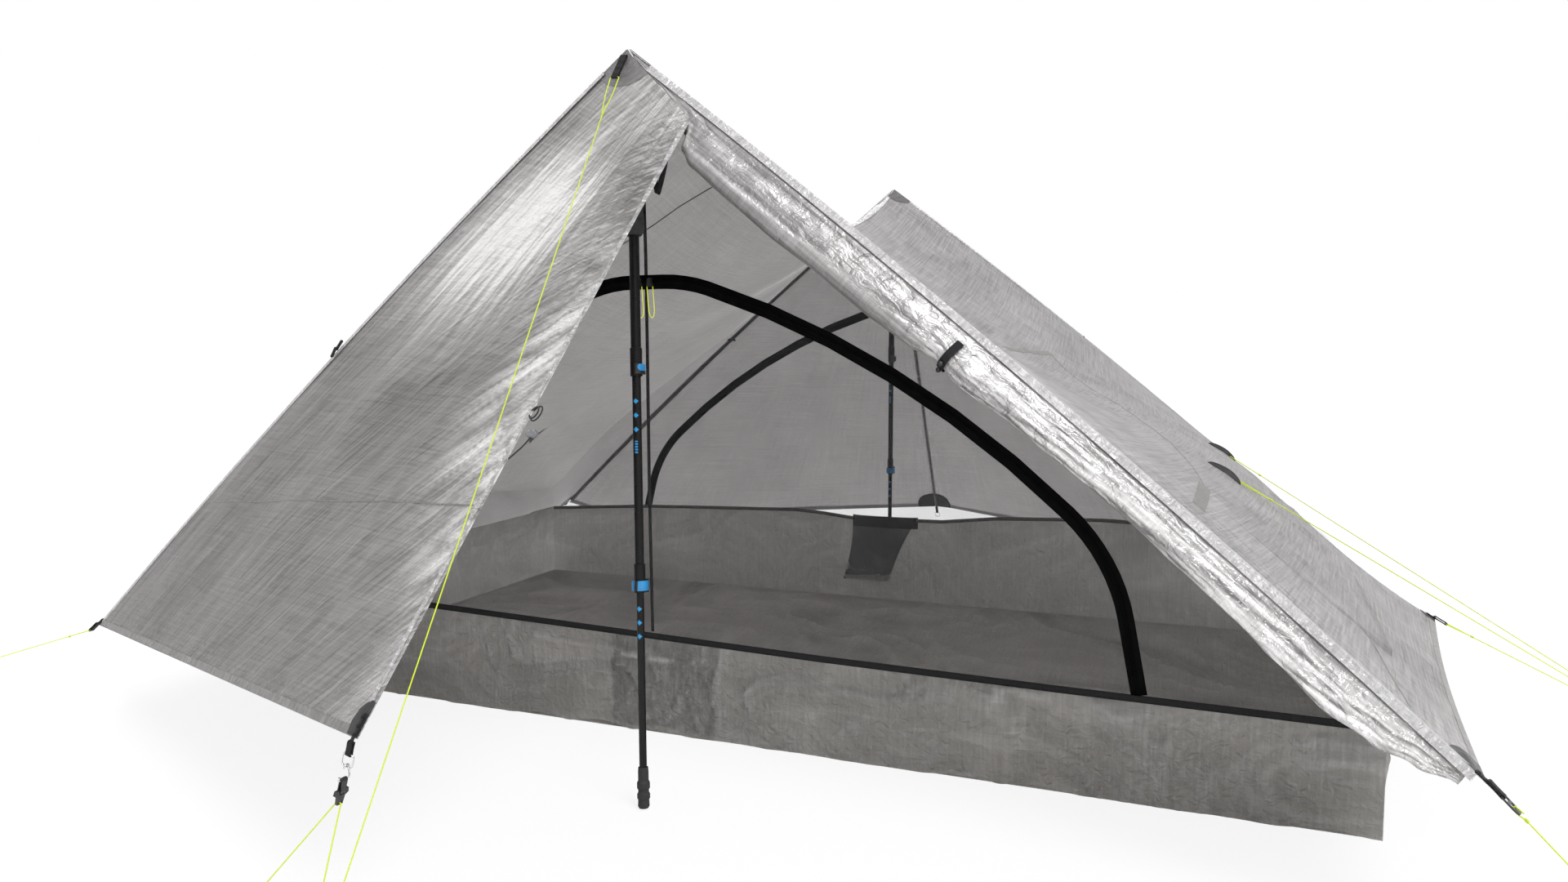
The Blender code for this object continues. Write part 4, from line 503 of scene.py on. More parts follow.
def corner_pull(side, end):
    """Direction in which a corner is staked out."""
    if end == "front" and side > 0:
        return (FRONT_RIGHT_END - corner(1, "front")).normalized()
    if end == "front":
        return (FRONT_LEFT_END - corner(-1, "front")).normalized()
    aim = FRONT_RIGHT_END - corner(1, "front")
    return Vector((side * aim.x, -aim.y, aim.z)).normalized()


def corner_seat(side, end):
    """Point, normal and aim of a corner's webbing loop."""
    surface = panel(side)
    t = 0.0 if (end == "front") == (side > 0) else 1.0
    middle = normal_of(surface, 1.0, t)
    return corner(side, end), middle, corner_pull(side, end)


def buckle_place():
    """Start, direction and normal of the front right corner's buckle."""
    spot, normal, aim = corner_seat(1, "front")
    origin, along = loop_start(spot, normal, aim)
    return origin + along * (TAB_LENGTH - WEBBING - GAP * 2 - BUCKLE_BAR * 0.8), along, normal


def peak_loop_origin():
    """Where the loop of the front peak starts."""
    aim = PEAK_LOOP_AIM.normalized()
    return FRONT_PEAK + aim * PEAK_LOOP_START, aim


def toe_ring_top():
    """Distance down the toe's chain of the ring's upper wire."""
    return TAB_LENGTH * 0.8 - WEBBING - GAP * 2 - RING_WIRE


def ring_shape():
    """A squarish ring in the XZ plane, hanging from its upper wire at the origin."""
    points = []
    for i in range(ROUND):
        angle = 2 * math.pi * (i + 0.5) / ROUND
        x = math.copysign(math.sqrt(abs(math.cos(angle))), math.cos(angle))
        z = math.copysign(math.sqrt(abs(math.sin(angle))), math.sin(angle))
        points.append(Vector((RING_WIDTH * x, 0.0, RING_LENGTH * (1 + z))))
    return points


def toe_place():
    """Placing of the front toe's hardware: Z down its chain, X along the tent."""
    run, out, spot = toe_seat()
    start = spot + run * TAB_START + out * (PATCH_LIFT + GAP + PATCH / 2 + WEBBING / 2)
    return placing(start, TOE_CHAIN, ALONG)


def toe_seat():
    """Way down the front toe, its outward normal and the middle of its webbing at the hem."""
    tree = trees_of(("front_left_storm_door",))[0]
    down = drop("front").normalized()
    hem = (corner(-1, "front") - FRONT_TOE).normalized()
    out = door_out(-1, "front")
    laid = []
    for back in (TOE_PATCH * 0.6, TAB_START):
        spot = FRONT_TOE + hem * (TOE_WEBBING * 0.6) - down * back
        laid.append(tree.ray_cast(spot + out * TOE_PATCH, -out)[0])
    run = (laid[1] - laid[0]).normalized()
    return run, flattened(out, run), laid[1] + run * TAB_START


def toe_lock_hole():
    """Distance down the toe's chain of the cord's hole in the line lock."""
    foot = toe_ring_top() + RING_LENGTH * 2 + HOOK_RADIUS - RING_WIRE * 2 - GAP + HOOK_DROP
    start = foot - RING_WIRE - GAP * 2 - WEBBING
    return start + TOE_LOOP + TOE_LOCK - WEBBING - GAP * 2 - TOE_LOCK * 0.3


def section_at(s, ease=False):
    """The roll's shares at a station of the seam, straight or eased from one to the next."""
    for first, second in zip(ROLL_SHARES, ROLL_SHARES[1:]):
        if s <= second[0]:
            part = (s - first[0]) / (second[0] - first[0])
            if ease:
                part = max(0.0, part) ** 2 * (3 - 2 * max(0.0, part))
            return [a + (b - a) * part for a, b in zip(first[1:], second[1:])]
    return list(ROLL_SHARES[-1][1:])


def strap_ring(s, gap_in):
    """The strap's outline around the roll, at a distance from the cloth."""
    shares = section_at(s)
    section = roll_section(*shares)
    section[0] = (ROLL_STEM * shares[0] + SEAM_GAP * 2, 0.0)
    section = section[:-4] + section[-1:]
    line = []
    for i, point in enumerate(section):
        before = Vector(section[max(i - 1, 0)])
        after = Vector(section[min(i + 1, len(section) - 1)])
        slope = (after - before).normalized()
        line.append(Vector(point) + Vector((slope.y, -slope.x)) * gap_in)
    return line


def guyline(name, anchor, across, knot_distance, stop):
    """A taut cord: doubled through a tab's slot back to its knot, then straight to its end loop."""
    pull = (stop - anchor).normalized()
    cross = across.normalized()
    side = flattened(cross, pull)
    half = WEBBING_WIDTH / 2 + CORD_RADIUS * 2.2
    knot = anchor + pull * knot_distance
    above = knot - pull * (CORD_RADIUS * 6)
    points = [(above + side * CORD_RADIUS * 3.2, 1.0), (anchor.lerp(above, 0.5) + side * half * 0.85, 1.0),
              (anchor + side * half + pull * CORD_RADIUS * 2, 1.0), (anchor + cross * half * 0.8, 1.0),
              (anchor - cross * half * 0.8, 1.0), (anchor - side * half + pull * CORD_RADIUS * 2, 1.0),
              (anchor.lerp(above, 0.5) - side * half * 0.85, 1.0), (above - side * CORD_RADIUS * 1.2, 1.0),
              (knot - pull * CORD_RADIUS * 2, KNOT_SHARE), (knot + pull * CORD_RADIUS * 2, KNOT_SHARE),
              (knot + pull * CORD_RADIUS * 5, 1.0)]
    corded(name, points + to_end(points, stop, pull, side, 4))


def to_end(points, stop, pull, side, parts):
    """The last stretch of a cord: straight on in parts, a knot and the open loop after it."""
    start, before = points[-1][0], stop - pull * CORD_RADIUS * 7
    out = [(start.lerp(before, i / parts), 1.0) for i in range(1, parts)]
    out += [(before, 1.0), (stop - pull * CORD_RADIUS * 4, KNOT_SHARE), (stop, KNOT_SHARE)]
    centre = stop + pull * (END_LOOP + CORD_RADIUS * 4)
    for i in range(8):
        angle = math.radians(200 + 305 * i / 7)
        out.append((centre + pull * END_LOOP * math.cos(angle) + side * END_LOOP * math.sin(angle), 1.0))
    return out


def slot_point(origin, along, length):
    """Where a cord crosses a webbing loop's slot, near its far end."""
    return origin + along.normalized() * (length - WEBBING - CORD_RADIUS - GAP)


def build_guylines():
    """The cords that the picture shows, each from its tab to a loop."""
    origin, aim = peak_loop_origin()
    guyline("front_peak_guyline", slot_point(origin, aim, PEAK_LOOP_LENGTH), aim.cross(aim.cross(ALONG)), PEAK_KNOT,
            PEAK_END)
    guyline("front_left_guyline", *loop_anchor(*corner_seat(-1, "front")), SIDE_KNOT, FRONT_LEFT_END)
    buckle_cord("front_right_guyline", FRONT_RIGHT_END)
    guyline("right_hem_guyline", *loop_anchor(*hem_seat(1)), SIDE_KNOT, HEM_END)
    for word, sign, stop in (("front", -1, FRONT_TIEOUT_END), ("back", 1, BACK_TIEOUT_END)):
        guyline("right_" + word + "_tieout_guyline", *loop_anchor(*tieout_seat(1, sign)), SIDE_KNOT * 1.5, stop)
    toe_cord()


def buckle_cord(name, stop):
    """The corner's cord: one turn around the buckle's last bar, a knot, then out to its loop."""
    start, along, out = buckle_place()
    through = start + along * (BUCKLE_BAR * 5.6 - CORD_RADIUS - GAP)
    side = along.cross(out).normalized()
    normal = side.cross(along).normalized()
    rise = BUCKLE_THICKNESS / 2 + CORD_RADIUS + GAP
    shares = ((1.7, 12.0), (1.15, 3.0), (1.05, 0.0), (0.55, -0.4), (-0.55, -0.4), (-1.05, 0.0),
              (-1.15, 3.0), (-1.05, 11.0))
    points = [(through + normal * rise * a + along * CORD_RADIUS * b, 1.0) for a, b in shares]
    knot = through + along * CORD_RADIUS * 18
    pull = (stop - knot).normalized()
    points += [(knot, KNOT_SHARE), (knot + pull * CORD_RADIUS * 4, KNOT_SHARE), (knot + pull * CORD_RADIUS * 7, 1.0)]
    corded(name, points + to_end(points, stop, pull, side, 3))


def toe_cord():
    """The front toe's cord: from one loop up through the line lock and down to the other."""
    place = toe_place()
    hole = place @ (UP * toe_lock_hole())
    halves = []
    for stop, sign in zip(TOE_ENDS, (-1, 1)):
        near = place @ Vector((sign * CORD_RADIUS * 3.5, 0.0, toe_lock_hole() + CORD_RADIUS * 0.6))
        pull = (stop - near).normalized()
        line = [(hole.lerp(near, 0.5), 1.0), (near, 1.0), (near + pull * CORD_RADIUS * 5, 1.0)]
        halves.append(line + to_end(line, stop, pull, pull.cross(BACKWARD).normalized(), 4))
    corded("toe_guyline", halves[0][::-1] + halves[1])


# Shared makers

SCENE = bpy.context.scene
RIM_ANGLE = math.radians(50)
ROUND_SIDES = 40
FLY = 0.0009  # thicknesses of the cloths and of what is laid on them, and lifts off them
NET = 0.0005
BAND = 0.0005
TAPE = 0.0004
LAID = 0.0006
CAP = 0.0008
FOLD_LIFT = 0.0002
CAP_LIFT = 0.0004
LINING = -0.0012
SEAM_LINING = -0.0016
ARCH_TAPE = 0.0125
SILL_RISE = 0.012 + GAP * 2
SIDE = 1.62  # length of cloth given to a panel's side, for its folds and paint


def rgb(*values):
    """A colour picked as screen values 0 to 255, as linear light."""
    shares = [c / 255 for c in values]
    return (*(c / 12.92 if c <= 0.04045 else ((c + 0.055) / 1.055) ** 2.4 for c in shares), 1.0)


def scaled(tone, gain, lift=0.0):
    """A colour times a gain, up to white."""
    return (*(min(c * gain + lift, 1.0) for c in tone[:3]), 1.0)


class Wire:
    """A shader node's output that can be added and multiplied, so that a paint reads as its formula."""

    def __init__(self, paint, socket):
        self.paint, self.socket = paint, socket

    def __add__(self, other):
        return self.paint.math("ADD", self, other)

    def __sub__(self, other):
        return self.paint.math("SUBTRACT", self, other)

    def __mul__(self, other):
        return self.paint.math("MULTIPLY", self, other)

    def __abs__(self):
        return self.paint.math("ABSOLUTE", self)


class Paint:
    """A material's or world's node tree, with short ways to add to it."""

    def __init__(self, name, owner=bpy.data.materials, out="ShaderNodeOutputMaterial"):
        self.mat = owner.new(name)
        self.mat.use_nodes = True
        self.tree = self.mat.node_tree
        self.tree.nodes.clear()
        self.out = self.tree.nodes.new(out)

    def add(self, kind, props=None, out=0, **inputs):
        """Adds a node and gives one output; inputs go by name, or as i0, i1 by place."""
        node = self.tree.nodes.new("ShaderNode" + kind)
        for key, value in (props or {}).items():
            setattr(node, key, value)
        for key, value in inputs.items():
            socket = node.inputs[int(key[1:]) if key[1:].isdigit() else key.replace("_", " ")]
            if isinstance(value, Wire):
                self.tree.links.new(value.socket, socket)
            else:
                socket.default_value = value
        return Wire(self, node.outputs[out])

    def math(self, op, a, b=0.0, clamp=False):
        return self.add("Math", {"operation": op, "use_clamp": clamp}, i0=a, i1=b)

    def mix(self, share, a, b):
        return self.add("Mix", {"data_type": "RGBA"}, 2, i0=share, i6=a, i7=b)

    def blend(self, share, a, b):
        return self.add("MixShader", Fac=share, i1=a, i2=b)

    def ramp(self, value, low, high, first=0.0, last=1.0):
        return self.add("MapRange", Value=value, From_Min=low, From_Max=high, To_Min=first, To_Max=last)

    def uv(self):
        return self.add("UVMap", {"uv_map": "cloth"})

    def spot(self):
        return self.add("TexCoord", out="Object")

    def part(self, vector, letter):
        return self.add("SeparateXYZ", out=letter, Vector=vector)

    def mapped(self, vector, scale, turn=0.0):
        return self.add("Mapping", Vector=vector, Scale=scale, Rotation=(0, 0, turn))

    def noise(self, vector, scale, detail=2.0, rough=0.5, warp=0.0):
        return self.add("TexNoise", Vector=vector, Scale=scale, Detail=detail, Roughness=rough, Distortion=warp)

    def wave(self, vector, way, scale, warp=0.0, detail=2.0):
        return self.add("TexWave", {"bands_direction": way}, "Fac", Vector=vector, Scale=scale, Distortion=warp,
                        Detail=detail)

    def bump(self, height, distance, strength=1.0, **normal):
        return self.add("Bump", Strength=strength, Distance=distance, Height=height, **normal)

    def surface(self, tint, rough, **inputs):
        return self.add("BsdfPrincipled", Base_Color=tint, Roughness=rough, **inputs)

    def done(self, shader):
        self.tree.links.new(shader.socket, self.out.inputs["Surface"])
        return self.mat

    def finish(self, tint, rough, **inputs):
        return self.done(self.surface(tint, rough, **inputs))


def fly_paint(name, light, dark, rough, metal, glow, crinkle, streak=1.0, stretch=(1, 1, 1), weft_share=0.28):
    """Laminated cloth: crossed fibres, soft mottling, foil-like crinkles with painted glints, and painted shade and
    painted highlights where the mesh says.
    """
    p = Paint(name)
    uv = p.uv()
    wide = p.noise(uv, 5.0, 4.0, 0.55, 0.8)
    blotch = p.noise(uv, 38.0, 4.0, 0.6, 0.4)
    along, across, weft = (p.noise(p.mapped(uv, scale, turn), 1.0, 4.0, 0.7) for scale, turn in
                           (((150, 5, 1), 0.34), ((170, 6, 1), -0.52), ((7, 230, 1), 0.0)))
    fibre = (along + across) * (0.5 - weft_share / 2) + weft * weft_share
    shift = p.add("CombineXYZ", X=p.noise(uv, 16.0) * 0.05, Y=blotch * 0.03)
    spot = p.add("VectorMath", i0=p.mapped(uv, stretch), i1=shift)
    cells, small = (p.add("TexVoronoi", {"feature": "DISTANCE_TO_EDGE"}, "Distance", Vector=spot, Scale=scale)
                    for scale in (46.0, 120.0))
    mask, shade, shine = (p.add("Attribute", {"attribute_name": key}, "Fac") for key in ("crinkle", "shade", "shine"))
    amount = mask + crinkle
    fold = p.ramp(cells, 0.0, 0.32) + p.ramp(small, 0.0, 0.3) * 0.35
    tint = p.mix(p.ramp(fibre, 0.42, 0.58) * (0.74 * streak) + p.ramp(wide, 0.3, 0.7) * 0.26, dark, light)
    # Painted shade: the shade attribute darkens the colour towards a third of the dark tone.
    tint = p.mix(p.ramp(shade, 0.0, 1.0), tint, scaled(dark, 0.30))
    # Painted glints: near-white flecks where the cloth is crinkled.
    glint = p.ramp(p.noise(p.mapped(uv, (190, 24, 1), 0.12), 1.0, 4.0, 0.6), 0.50, 0.72)
    tint = p.mix(glint * p.ramp(amount, 0.35, 1.1), tint, rgb(238, 237, 238))
    # Painted highlights: the shine attribute lightens the colour towards white.
    lit = p.math("ADD", shine * 0.8, shine * p.ramp(fibre, 0.44, 0.58) * 0.7, True)
    tint = p.mix(lit, tint, rgb(250, 249, 249))
    normal = p.bump(fibre, 0.0006, 0.5)
    normal = p.bump(fold * amount, 0.0035, 0.8, Normal=normal)
    normal = p.bump(blotch * p.ramp(amount, 0.0, 0.6, 0.25, 1.0), 0.006, 0.45, Normal=normal)
    skin = p.surface(tint, rough, Metallic=metal, Normal=normal, Sheen_Weight=0.08, Sheen_Roughness=0.4)
    thin = p.add("BsdfTranslucent", Color=p.mix(0.62, tint, rgb(250, 249, 248)), Normal=normal)
    return p.done(p.blend(glow, skin, thin))


def mesh_paint(name, tone, cover):
    """Fine insect mesh: mostly see-through, with its threads as a faint grid."""
    p = Paint(name)
    uv = p.uv()
    thread = p.math("MAXIMUM", p.wave(uv, "X", 150.0), p.wave(uv, "Y", 150.0))
    cloud = p.ramp(p.noise(uv, 7.0, 3.0), 0.3, 0.7, 0.8, 1.15)
    share = p.ramp(thread, 0.2, 1.0, cover * 0.7, cover * 1.25) * cloud
    return p.done(p.blend(share, p.add("BsdfTransparent"), p.surface(tone, 0.6, Sheen_Weight=0.1)))


def webbing_paint(name, tone):
    """Woven tape: ribs across and along."""
    p = Paint(name)
    uv = p.uv()
    weave = p.wave(uv, "Y", 190.0, 0.6) * (p.wave(uv, "X", 320.0) + 0.4)
    # The tone follows the weave ribs and a fine noise.
    weave_tone = p.ramp(weave + p.noise(uv, 120.0, 3.0), 0.3, 1.6)
    return p.finish(p.mix(weave_tone, scaled(tone, 0.55), scaled(tone, 1.6)), 0.62, Normal=p.bump(weave, 0.0004, 0.7),
                    Specular_IOR_Level=0.2)


def plastic_paint(name, tone, rough):
    """Moulded plastic with a fine grain and slight handling marks."""
    p = Paint(name)
    marks = p.noise(p.spot(), 60.0, 4.0, 0.7)
    tint = p.mix(p.ramp(marks, 0.35, 0.75), tone, scaled(tone, 1.5, 0.004))
    return p.finish(tint, p.ramp(marks, 0.3, 0.7, rough * 0.85, rough * 1.2),
                    Normal=p.bump(p.noise(p.spot(), 500.0, 3.0), 0.0002, 0.35))


def metal_paint(name, tone, rough):
    """Brushed metal."""
    p = Paint(name)
    brush = p.noise(p.mapped(p.spot(), (90, 90, 2200)), 1.0, 3.0)
    shade = p.ramp(p.noise(p.spot(), 200.0, 3.0), 0.3, 0.7, rough * 0.7, rough * 1.5)
    return p.finish(p.mix(p.ramp(brush, 0.3, 0.7), tone, scaled(tone, 0.75)), shade, Metallic=0.95,
                    Normal=p.bump(brush, 0.0001, 0.3))


def cord_paint(name, tone, stripe):
    """Braided cord: slanting strands with a paler fleck, and a faint painted glow."""
    p = Paint(name)
    braid = p.wave(p.spot(), "DIAGONAL", 420.0, 2.0, 1.0)
    tint = p.mix(p.ramp(braid + p.noise(p.spot(), 900.0), 0.6, 1.4), stripe, tone)
    # Painted glow: the cord emits a little of its own colour.
    return p.finish(tint, 0.5, Normal=p.bump(braid, 0.0003, 0.6), Emission_Color=tone, Emission_Strength=0.12)


def finish_node(name, paint):
    """Gives a shown CAD node its material."""
    NODES[name].data.materials.clear()
    NODES[name].data.materials.append(PAINTS[paint])


def put(name, mesh, paint, body="tent", node=()):
    """Puts a finished mesh or curve in the scene, riding a body and standing for CAD nodes."""
    made = bpy.data.objects.new(name, mesh)
    SCENE.collection.objects.link(made)
    mesh.materials.append(paint)
    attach(made, body)
    if node:
        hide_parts(*((node,) if isinstance(node, str) else node))
    return made


def trees_of(names):
    """Search trees of CAD nodes by name."""
    out = []
    for name in names:
        node = NODES[name]
        verts = [node.matrix_world @ v.co for v in node.data.vertices]
        out.append(BVHTree.FromPolygons(verts, [tuple(p.vertices) for p in node.data.polygons]))
    return out


def ripple(a, b, c):
    """Smooth noise about zero."""
    return noise.noise(Vector((a, b, c)))


def bell(distance, width):
    """1 in the middle, fading to 0 over a width."""
    return np.exp(-((distance / width) ** 2))


def unit(share):
    """A share kept from 0 to 1."""
    return np.clip(share, 0, 1)


def sample(surface, cells, window=(0.0, 1.0, 0.0, 1.0)):
    """A grid of points of surface(u, v), as an array, with its u and v."""
    us = np.linspace(window[0], window[1], cells[0] + 1)
    vs = np.linspace(window[2], window[3], cells[1] + 1)
    points = np.array([[surface(float(u), float(v)) for v in vs] for u in us])
    return points, us, vs


def grid_normals(points, towards):
    """Unit normals of a grid of points, on the side of a direction."""
    a = np.gradient(points, axis=0)
    b = np.gradient(points, axis=1)
    n = np.cross(a, b)
    n /= np.maximum(np.linalg.norm(n, axis=2, keepdims=True), 1e-12)
    if (n.mean(axis=(0, 1)) * np.array(towards)).sum() < 0:
        n = -n
    return n


def metric(points):
    """Cloth lengths along both ways of a grid of points, for its UV map."""
    a = np.zeros(points.shape[:2])
    b = np.zeros(points.shape[:2])
    a[1:] = np.cumsum(np.linalg.norm(np.diff(points, axis=0), axis=2).mean(axis=1))[:, None]
    b[:, 1:] = np.cumsum(np.linalg.norm(np.diff(points, axis=1), axis=2).mean(axis=0))[None, :]
    return a, b


def mark(mesh, copies=1, **marks):
    """Writes point attributes that the paints read."""
    for key, values in marks.items():
        attribute = mesh.attributes.new(key, "FLOAT", "POINT")
        attribute.data.foreach_set("value", np.tile(values.reshape(-1), copies))


def sheet_mesh(name, points, towards, thickness, uv=None, ring_normals=None, **marks):
    """A closed thin sheet from a grid of points: its outer face on the points, thickened inwards.

    Where ring_normals are given the sheet is a ring, and the grid's last column repeats its first.
    """
    rows, cols = points.shape[:2]
    wrap = ring_normals is not None
    n = ring_normals if wrap else grid_normals(points, towards)
    base, kept = rows * cols, cols - wrap
    flip = (np.cross(points[1, 0] - points[0, 0], points[0, 1] - points[0, 0]) * n[0, 0]).sum() < 0
    faces = []
    for i in range(rows - 1):
        for j in range(cols - 1):
            a, b, c, d = i * cols + j, (i + 1) * cols + j, (i + 1) * cols + j + 1, i * cols + j + 1
            quad = (a, d, c, b) if flip else (a, b, c, d)
            faces += [quad, tuple(base + k for k in reversed(quad))]
    last = base - cols
    if wrap:
        rim = [(j + 1, j) for j in range(kept)] + [(last + j, last + j + 1) for j in range(kept)]
    else:
        rim = [i * cols for i in range(rows)] + [last + j for j in range(1, cols)]
        rim += [i * cols + cols - 1 for i in range(rows - 2, -1, -1)] + [j for j in range(cols - 2, 0, -1)]
        rim = zip(rim, rim[1:] + rim[:1])
    for first, second in rim:
        quad = (first, second, base + second, base + first)
        faces.append(quad if flip else quad[::-1])
    spots = np.arange(2 * base)
    vertex = (spots // cols * kept + spots % cols % kept).tolist()
    verts = np.concatenate([points[:, :kept].reshape(-1, 3), (points - n * thickness)[:, :kept].reshape(-1, 3)])
    mesh = bpy.data.meshes.new(name)
    mesh.from_pydata(verts.tolist(), [], [[vertex[k] for k in face] for face in faces])
    flat = np.stack(uv or metric(points), axis=2).reshape(-1, 2)
    corners = np.array([k % base for face in faces for k in face])
    mesh.uv_layers.new(name="cloth").data.foreach_set("uv", flat[corners].reshape(-1))
    mark(mesh, 2, **{key: values[:, :kept] for key, values in marks.items()})
    mesh.shade_smooth()
    mesh.set_sharp_from_angle(angle=RIM_ANGLE)
    return mesh


def put_sheet(name, grid, towards, thickness, paint, node=(), slot="patch_cloth", **marks):
    """Puts a sheet in the scene whose crinkle, and shine if given, are even."""
    points = np.array(grid)
    marks = {key: np.full(points.shape[:2], value) for key, value in marks.items()}
    mesh = sheet_mesh(name, points, tuple(towards), thickness, **marks)
    return put(name, mesh, PAINTS[paint], node=node)


def loft(name, rings, uv=None, wrap=False, flat_caps=False, **marks):
    """A closed body through rings of points, capped or joined end to end; uv gives a ring point's place."""
    count, size = len(rings), len(rings[0])
    faces = [(i * size + j, i * size + k, n * size + k, n * size + j) for i in range(count - 1 + wrap)
             for n in ((i + 1) % count,) for j in range(size) for k in ((j + 1) % size,)]
    if not wrap:
        faces += [tuple(range(size))[::-1], tuple((count - 1) * size + j for j in range(size))]
    mesh = bpy.data.meshes.new(name)
    mesh.from_pydata([tuple(point) for ring in rings for point in ring], [], faces)
    bm = bmesh.new()
    bm.from_mesh(mesh)
    bmesh.ops.recalc_face_normals(bm, faces=bm.faces)
    bm.to_mesh(mesh)
    bm.free()
    mesh.shade_smooth()
    layer = mesh.uv_layers.new(name="cloth") if uv else None
    for polygon in mesh.polygons:
        spots = [divmod(mesh.loops[k].vertex_index, size) for k in polygon.loop_indices]
        seam = wrap and max(spots)[0] - min(spots)[0] > 1
        for k, (i, j) in zip(polygon.loop_indices, spots if uv else ()):
            layer.data[k].uv = uv(count if seam and i == 0 else i, j)
        polygon.use_smooth = not flat_caps or len(spots) == 4
    mark(mesh, **marks)
    return mesh


def edge_distance(x, y, a, b):
    """Distance of grid points (x, y) from a segment, and the share along it."""
    (ax, ay), (bx, by) = a, b
    dx, dy = bx - ax, by - ay
    t = np.clip(((x - ax) * dx + (y - ay) * dy) / (dx * dx + dy * dy), 0, 1)
    return np.hypot(x - ax - t * dx, y - ay - t * dy), t


def crease(x, y, a, b, width, height):
    """A soft ridge along a segment, fading at both ends."""
    d, t = edge_distance(x, y, a, b)
    return height * bell(d, width) * np.sin(np.pi * unit(t * 0.98 + 0.01)) ** 0.5


def flow(x, y, scale_x, scale_y, seed):
    """Noise over cloth coordinates, stretched by its own scale each way."""
    return np.array([ripple(float(a) * scale_x + seed, float(b) * scale_y - seed, seed)
                     for a, b in zip(x.reshape(-1), y.reshape(-1))]).reshape(x.shape)


def running(points):
    """Lengths from the start of a path to each of its points."""
    run = [0.0]
    for a, b in zip(points, points[1:]):
        run.append(run[-1] + (b - a).length)
    return run


def sweep_band(name, line, across, profile, paint, out, node=()):
    """A band along a line: profile is (across, out) pairs; across is given per point."""
    rings = [[point + side * a + out * b for a, b in profile] for point, side in zip(line, across)]
    run = running(line)
    mesh = loft(name, rings, lambda i, j: (profile[j][0], run[i]), flat_caps=True)
    return put(name, mesh, paint, node=node)


def wire(name, points, radius, paint, node=(), cyclic=False, sides=3, piece=None):
    """A round wire, cord or thread along points."""
    curve = bpy.data.curves.new(name, "CURVE")
    curve.dimensions = "3D"
    curve.bevel_depth = radius
    curve.bevel_resolution = sides
    curve.use_fill_caps = True
    spline = curve.splines.new("POLY")
    spline.points.add(len(points) - 1)
    for spot, point in zip(spline.points, points):
        spot.co = (*point, 1.0)
    spline.use_cyclic_u = cyclic
    return put(piece or name, curve, paint, node=node)


# Camera, light and floor

CAMERA_SPOT = Vector((0.8984, -2.3538, 0.7390))
CAMERA_TURN = (0.3799, 0.0867, -0.0021)
FOCAL_PIXELS = 1295.8036
SENSOR = 36
SUNS = (("key", 2.0, 25, (0.52, 0.35, 0.5)), ("rim", 1.6, 40, (-0.75, -0.45, 0.0)))


def build_stage():
    """The photograph's camera, a plain studio dome, one soft sun and a pale floor."""
    yaw, pitch, roll = CAMERA_TURN
    forward = Vector((-math.sin(yaw) * math.cos(pitch), math.cos(yaw) * math.cos(pitch), -math.sin(pitch)))
    right = Vector((math.cos(yaw), math.sin(yaw), 0))
    up = right.cross(forward)
    level = right * math.cos(roll) + up * math.sin(roll)
    upright = up * math.cos(roll) - right * math.sin(roll)
    data = bpy.data.cameras.new("camera")
    camera = bpy.data.objects.new("camera", data)
    SCENE.collection.objects.link(camera)
    data.sensor_width = SENSOR
    data.lens = FOCAL_PIXELS * SENSOR / 1920
    data.clip_start = 0.01
    camera.matrix_world = axes_at(CAMERA_SPOT, level, upright, -forward)
    SCENE.camera = camera
    SCENE.view_settings.view_transform = "Standard"
    sky = Paint("world", bpy.data.worlds, "ShaderNodeOutputWorld")
    SCENE.world = sky.mat
    seen = [sky.add("LightPath", out=kind) for kind in ("Is Glossy Ray", "Is Transmission Ray", "Is Camera Ray")]
    plain = sky.math("MAXIMUM", sky.math("MAXIMUM", seen[0], seen[1]), seen[2])
    sky.done(sky.blend(plain, sky.add("Background", Color=(1.0, 0.99, 0.98, 1), Strength=0.85),
                       sky.add("Background", Color=(1, 1, 1, 1), Strength=1.0)))
    for name, energy, angle, turn in SUNS:
        lamp = bpy.data.lights.new(name, "SUN")
        lamp.energy = energy
        lamp.angle = math.radians(angle)
        holder = bpy.data.objects.new(name, lamp)
        holder.rotation_euler = turn
        SCENE.collection.objects.link(holder)
    p = Paint("floor_white")
    seen = p.add("LightPath", out="Is Camera Ray") * 0.86
    p.done(p.blend(seen, p.add("BsdfDiffuse", Color=(0.92, 0.92, 0.92, 1)),
                   p.add("Emission", Color=(1, 1, 1, 1), Strength=1.0)))
    bpy.ops.mesh.primitive_plane_add(size=60, location=(0, 0, -0.0005))
    ground = bpy.context.object
    ground.name = "floor"
    ground.data.materials.append(p.mat)


# Guylines

def corded(name, points):
    """A cord's curve through (point, share) pairs, with its knots as pieces of their own."""
    line = [point for point, _ in points]
    smooth = smoothed(line, 3)
    made = wire(name, smooth, CORD_RADIUS, PAINTS["cord"], name, piece=name + "_cord")
    knots = []
    spots = [i for i, (_, share) in enumerate(points) if share > 1.5]
    for a, b in zip(spots[::2], spots[1::2]):
        knots.append(knot(name + "_knot_%d" % len(knots), points[a][0], points[b][0]))
    round(running(smooth)[-1], 3)
    return made


def smoothed(points, steps):
    """Points of a gentle curve through the given ones; straight stretches stay straight."""
    out = []
    count = len(points)
    for i in range(count - 1):
        p0, p1, p2, p3 = (points[max(i - 1, 0)], points[i], points[i + 1], points[min(i + 2, count - 1)])
        span = (p2 - p1).length
        m1 = (p2 - p0).normalized() * span * 0.5 if (p2 - p0).length else Vector()
        m2 = (p3 - p1).normalized() * span * 0.5 if (p3 - p1).length else Vector()
        parts = steps if span < 0.03 else 1
        for k in range(parts):
            t = k / parts
            h1, h2 = 2 * t ** 3 - 3 * t * t + 1, t ** 3 - 2 * t * t + t
            h3, h4 = -2 * t ** 3 + 3 * t * t, t ** 3 - t * t
            out.append(p1 * h1 + m1 * h2 + p2 * h3 + m2 * h4)
    out.append(points[-1])
    return out


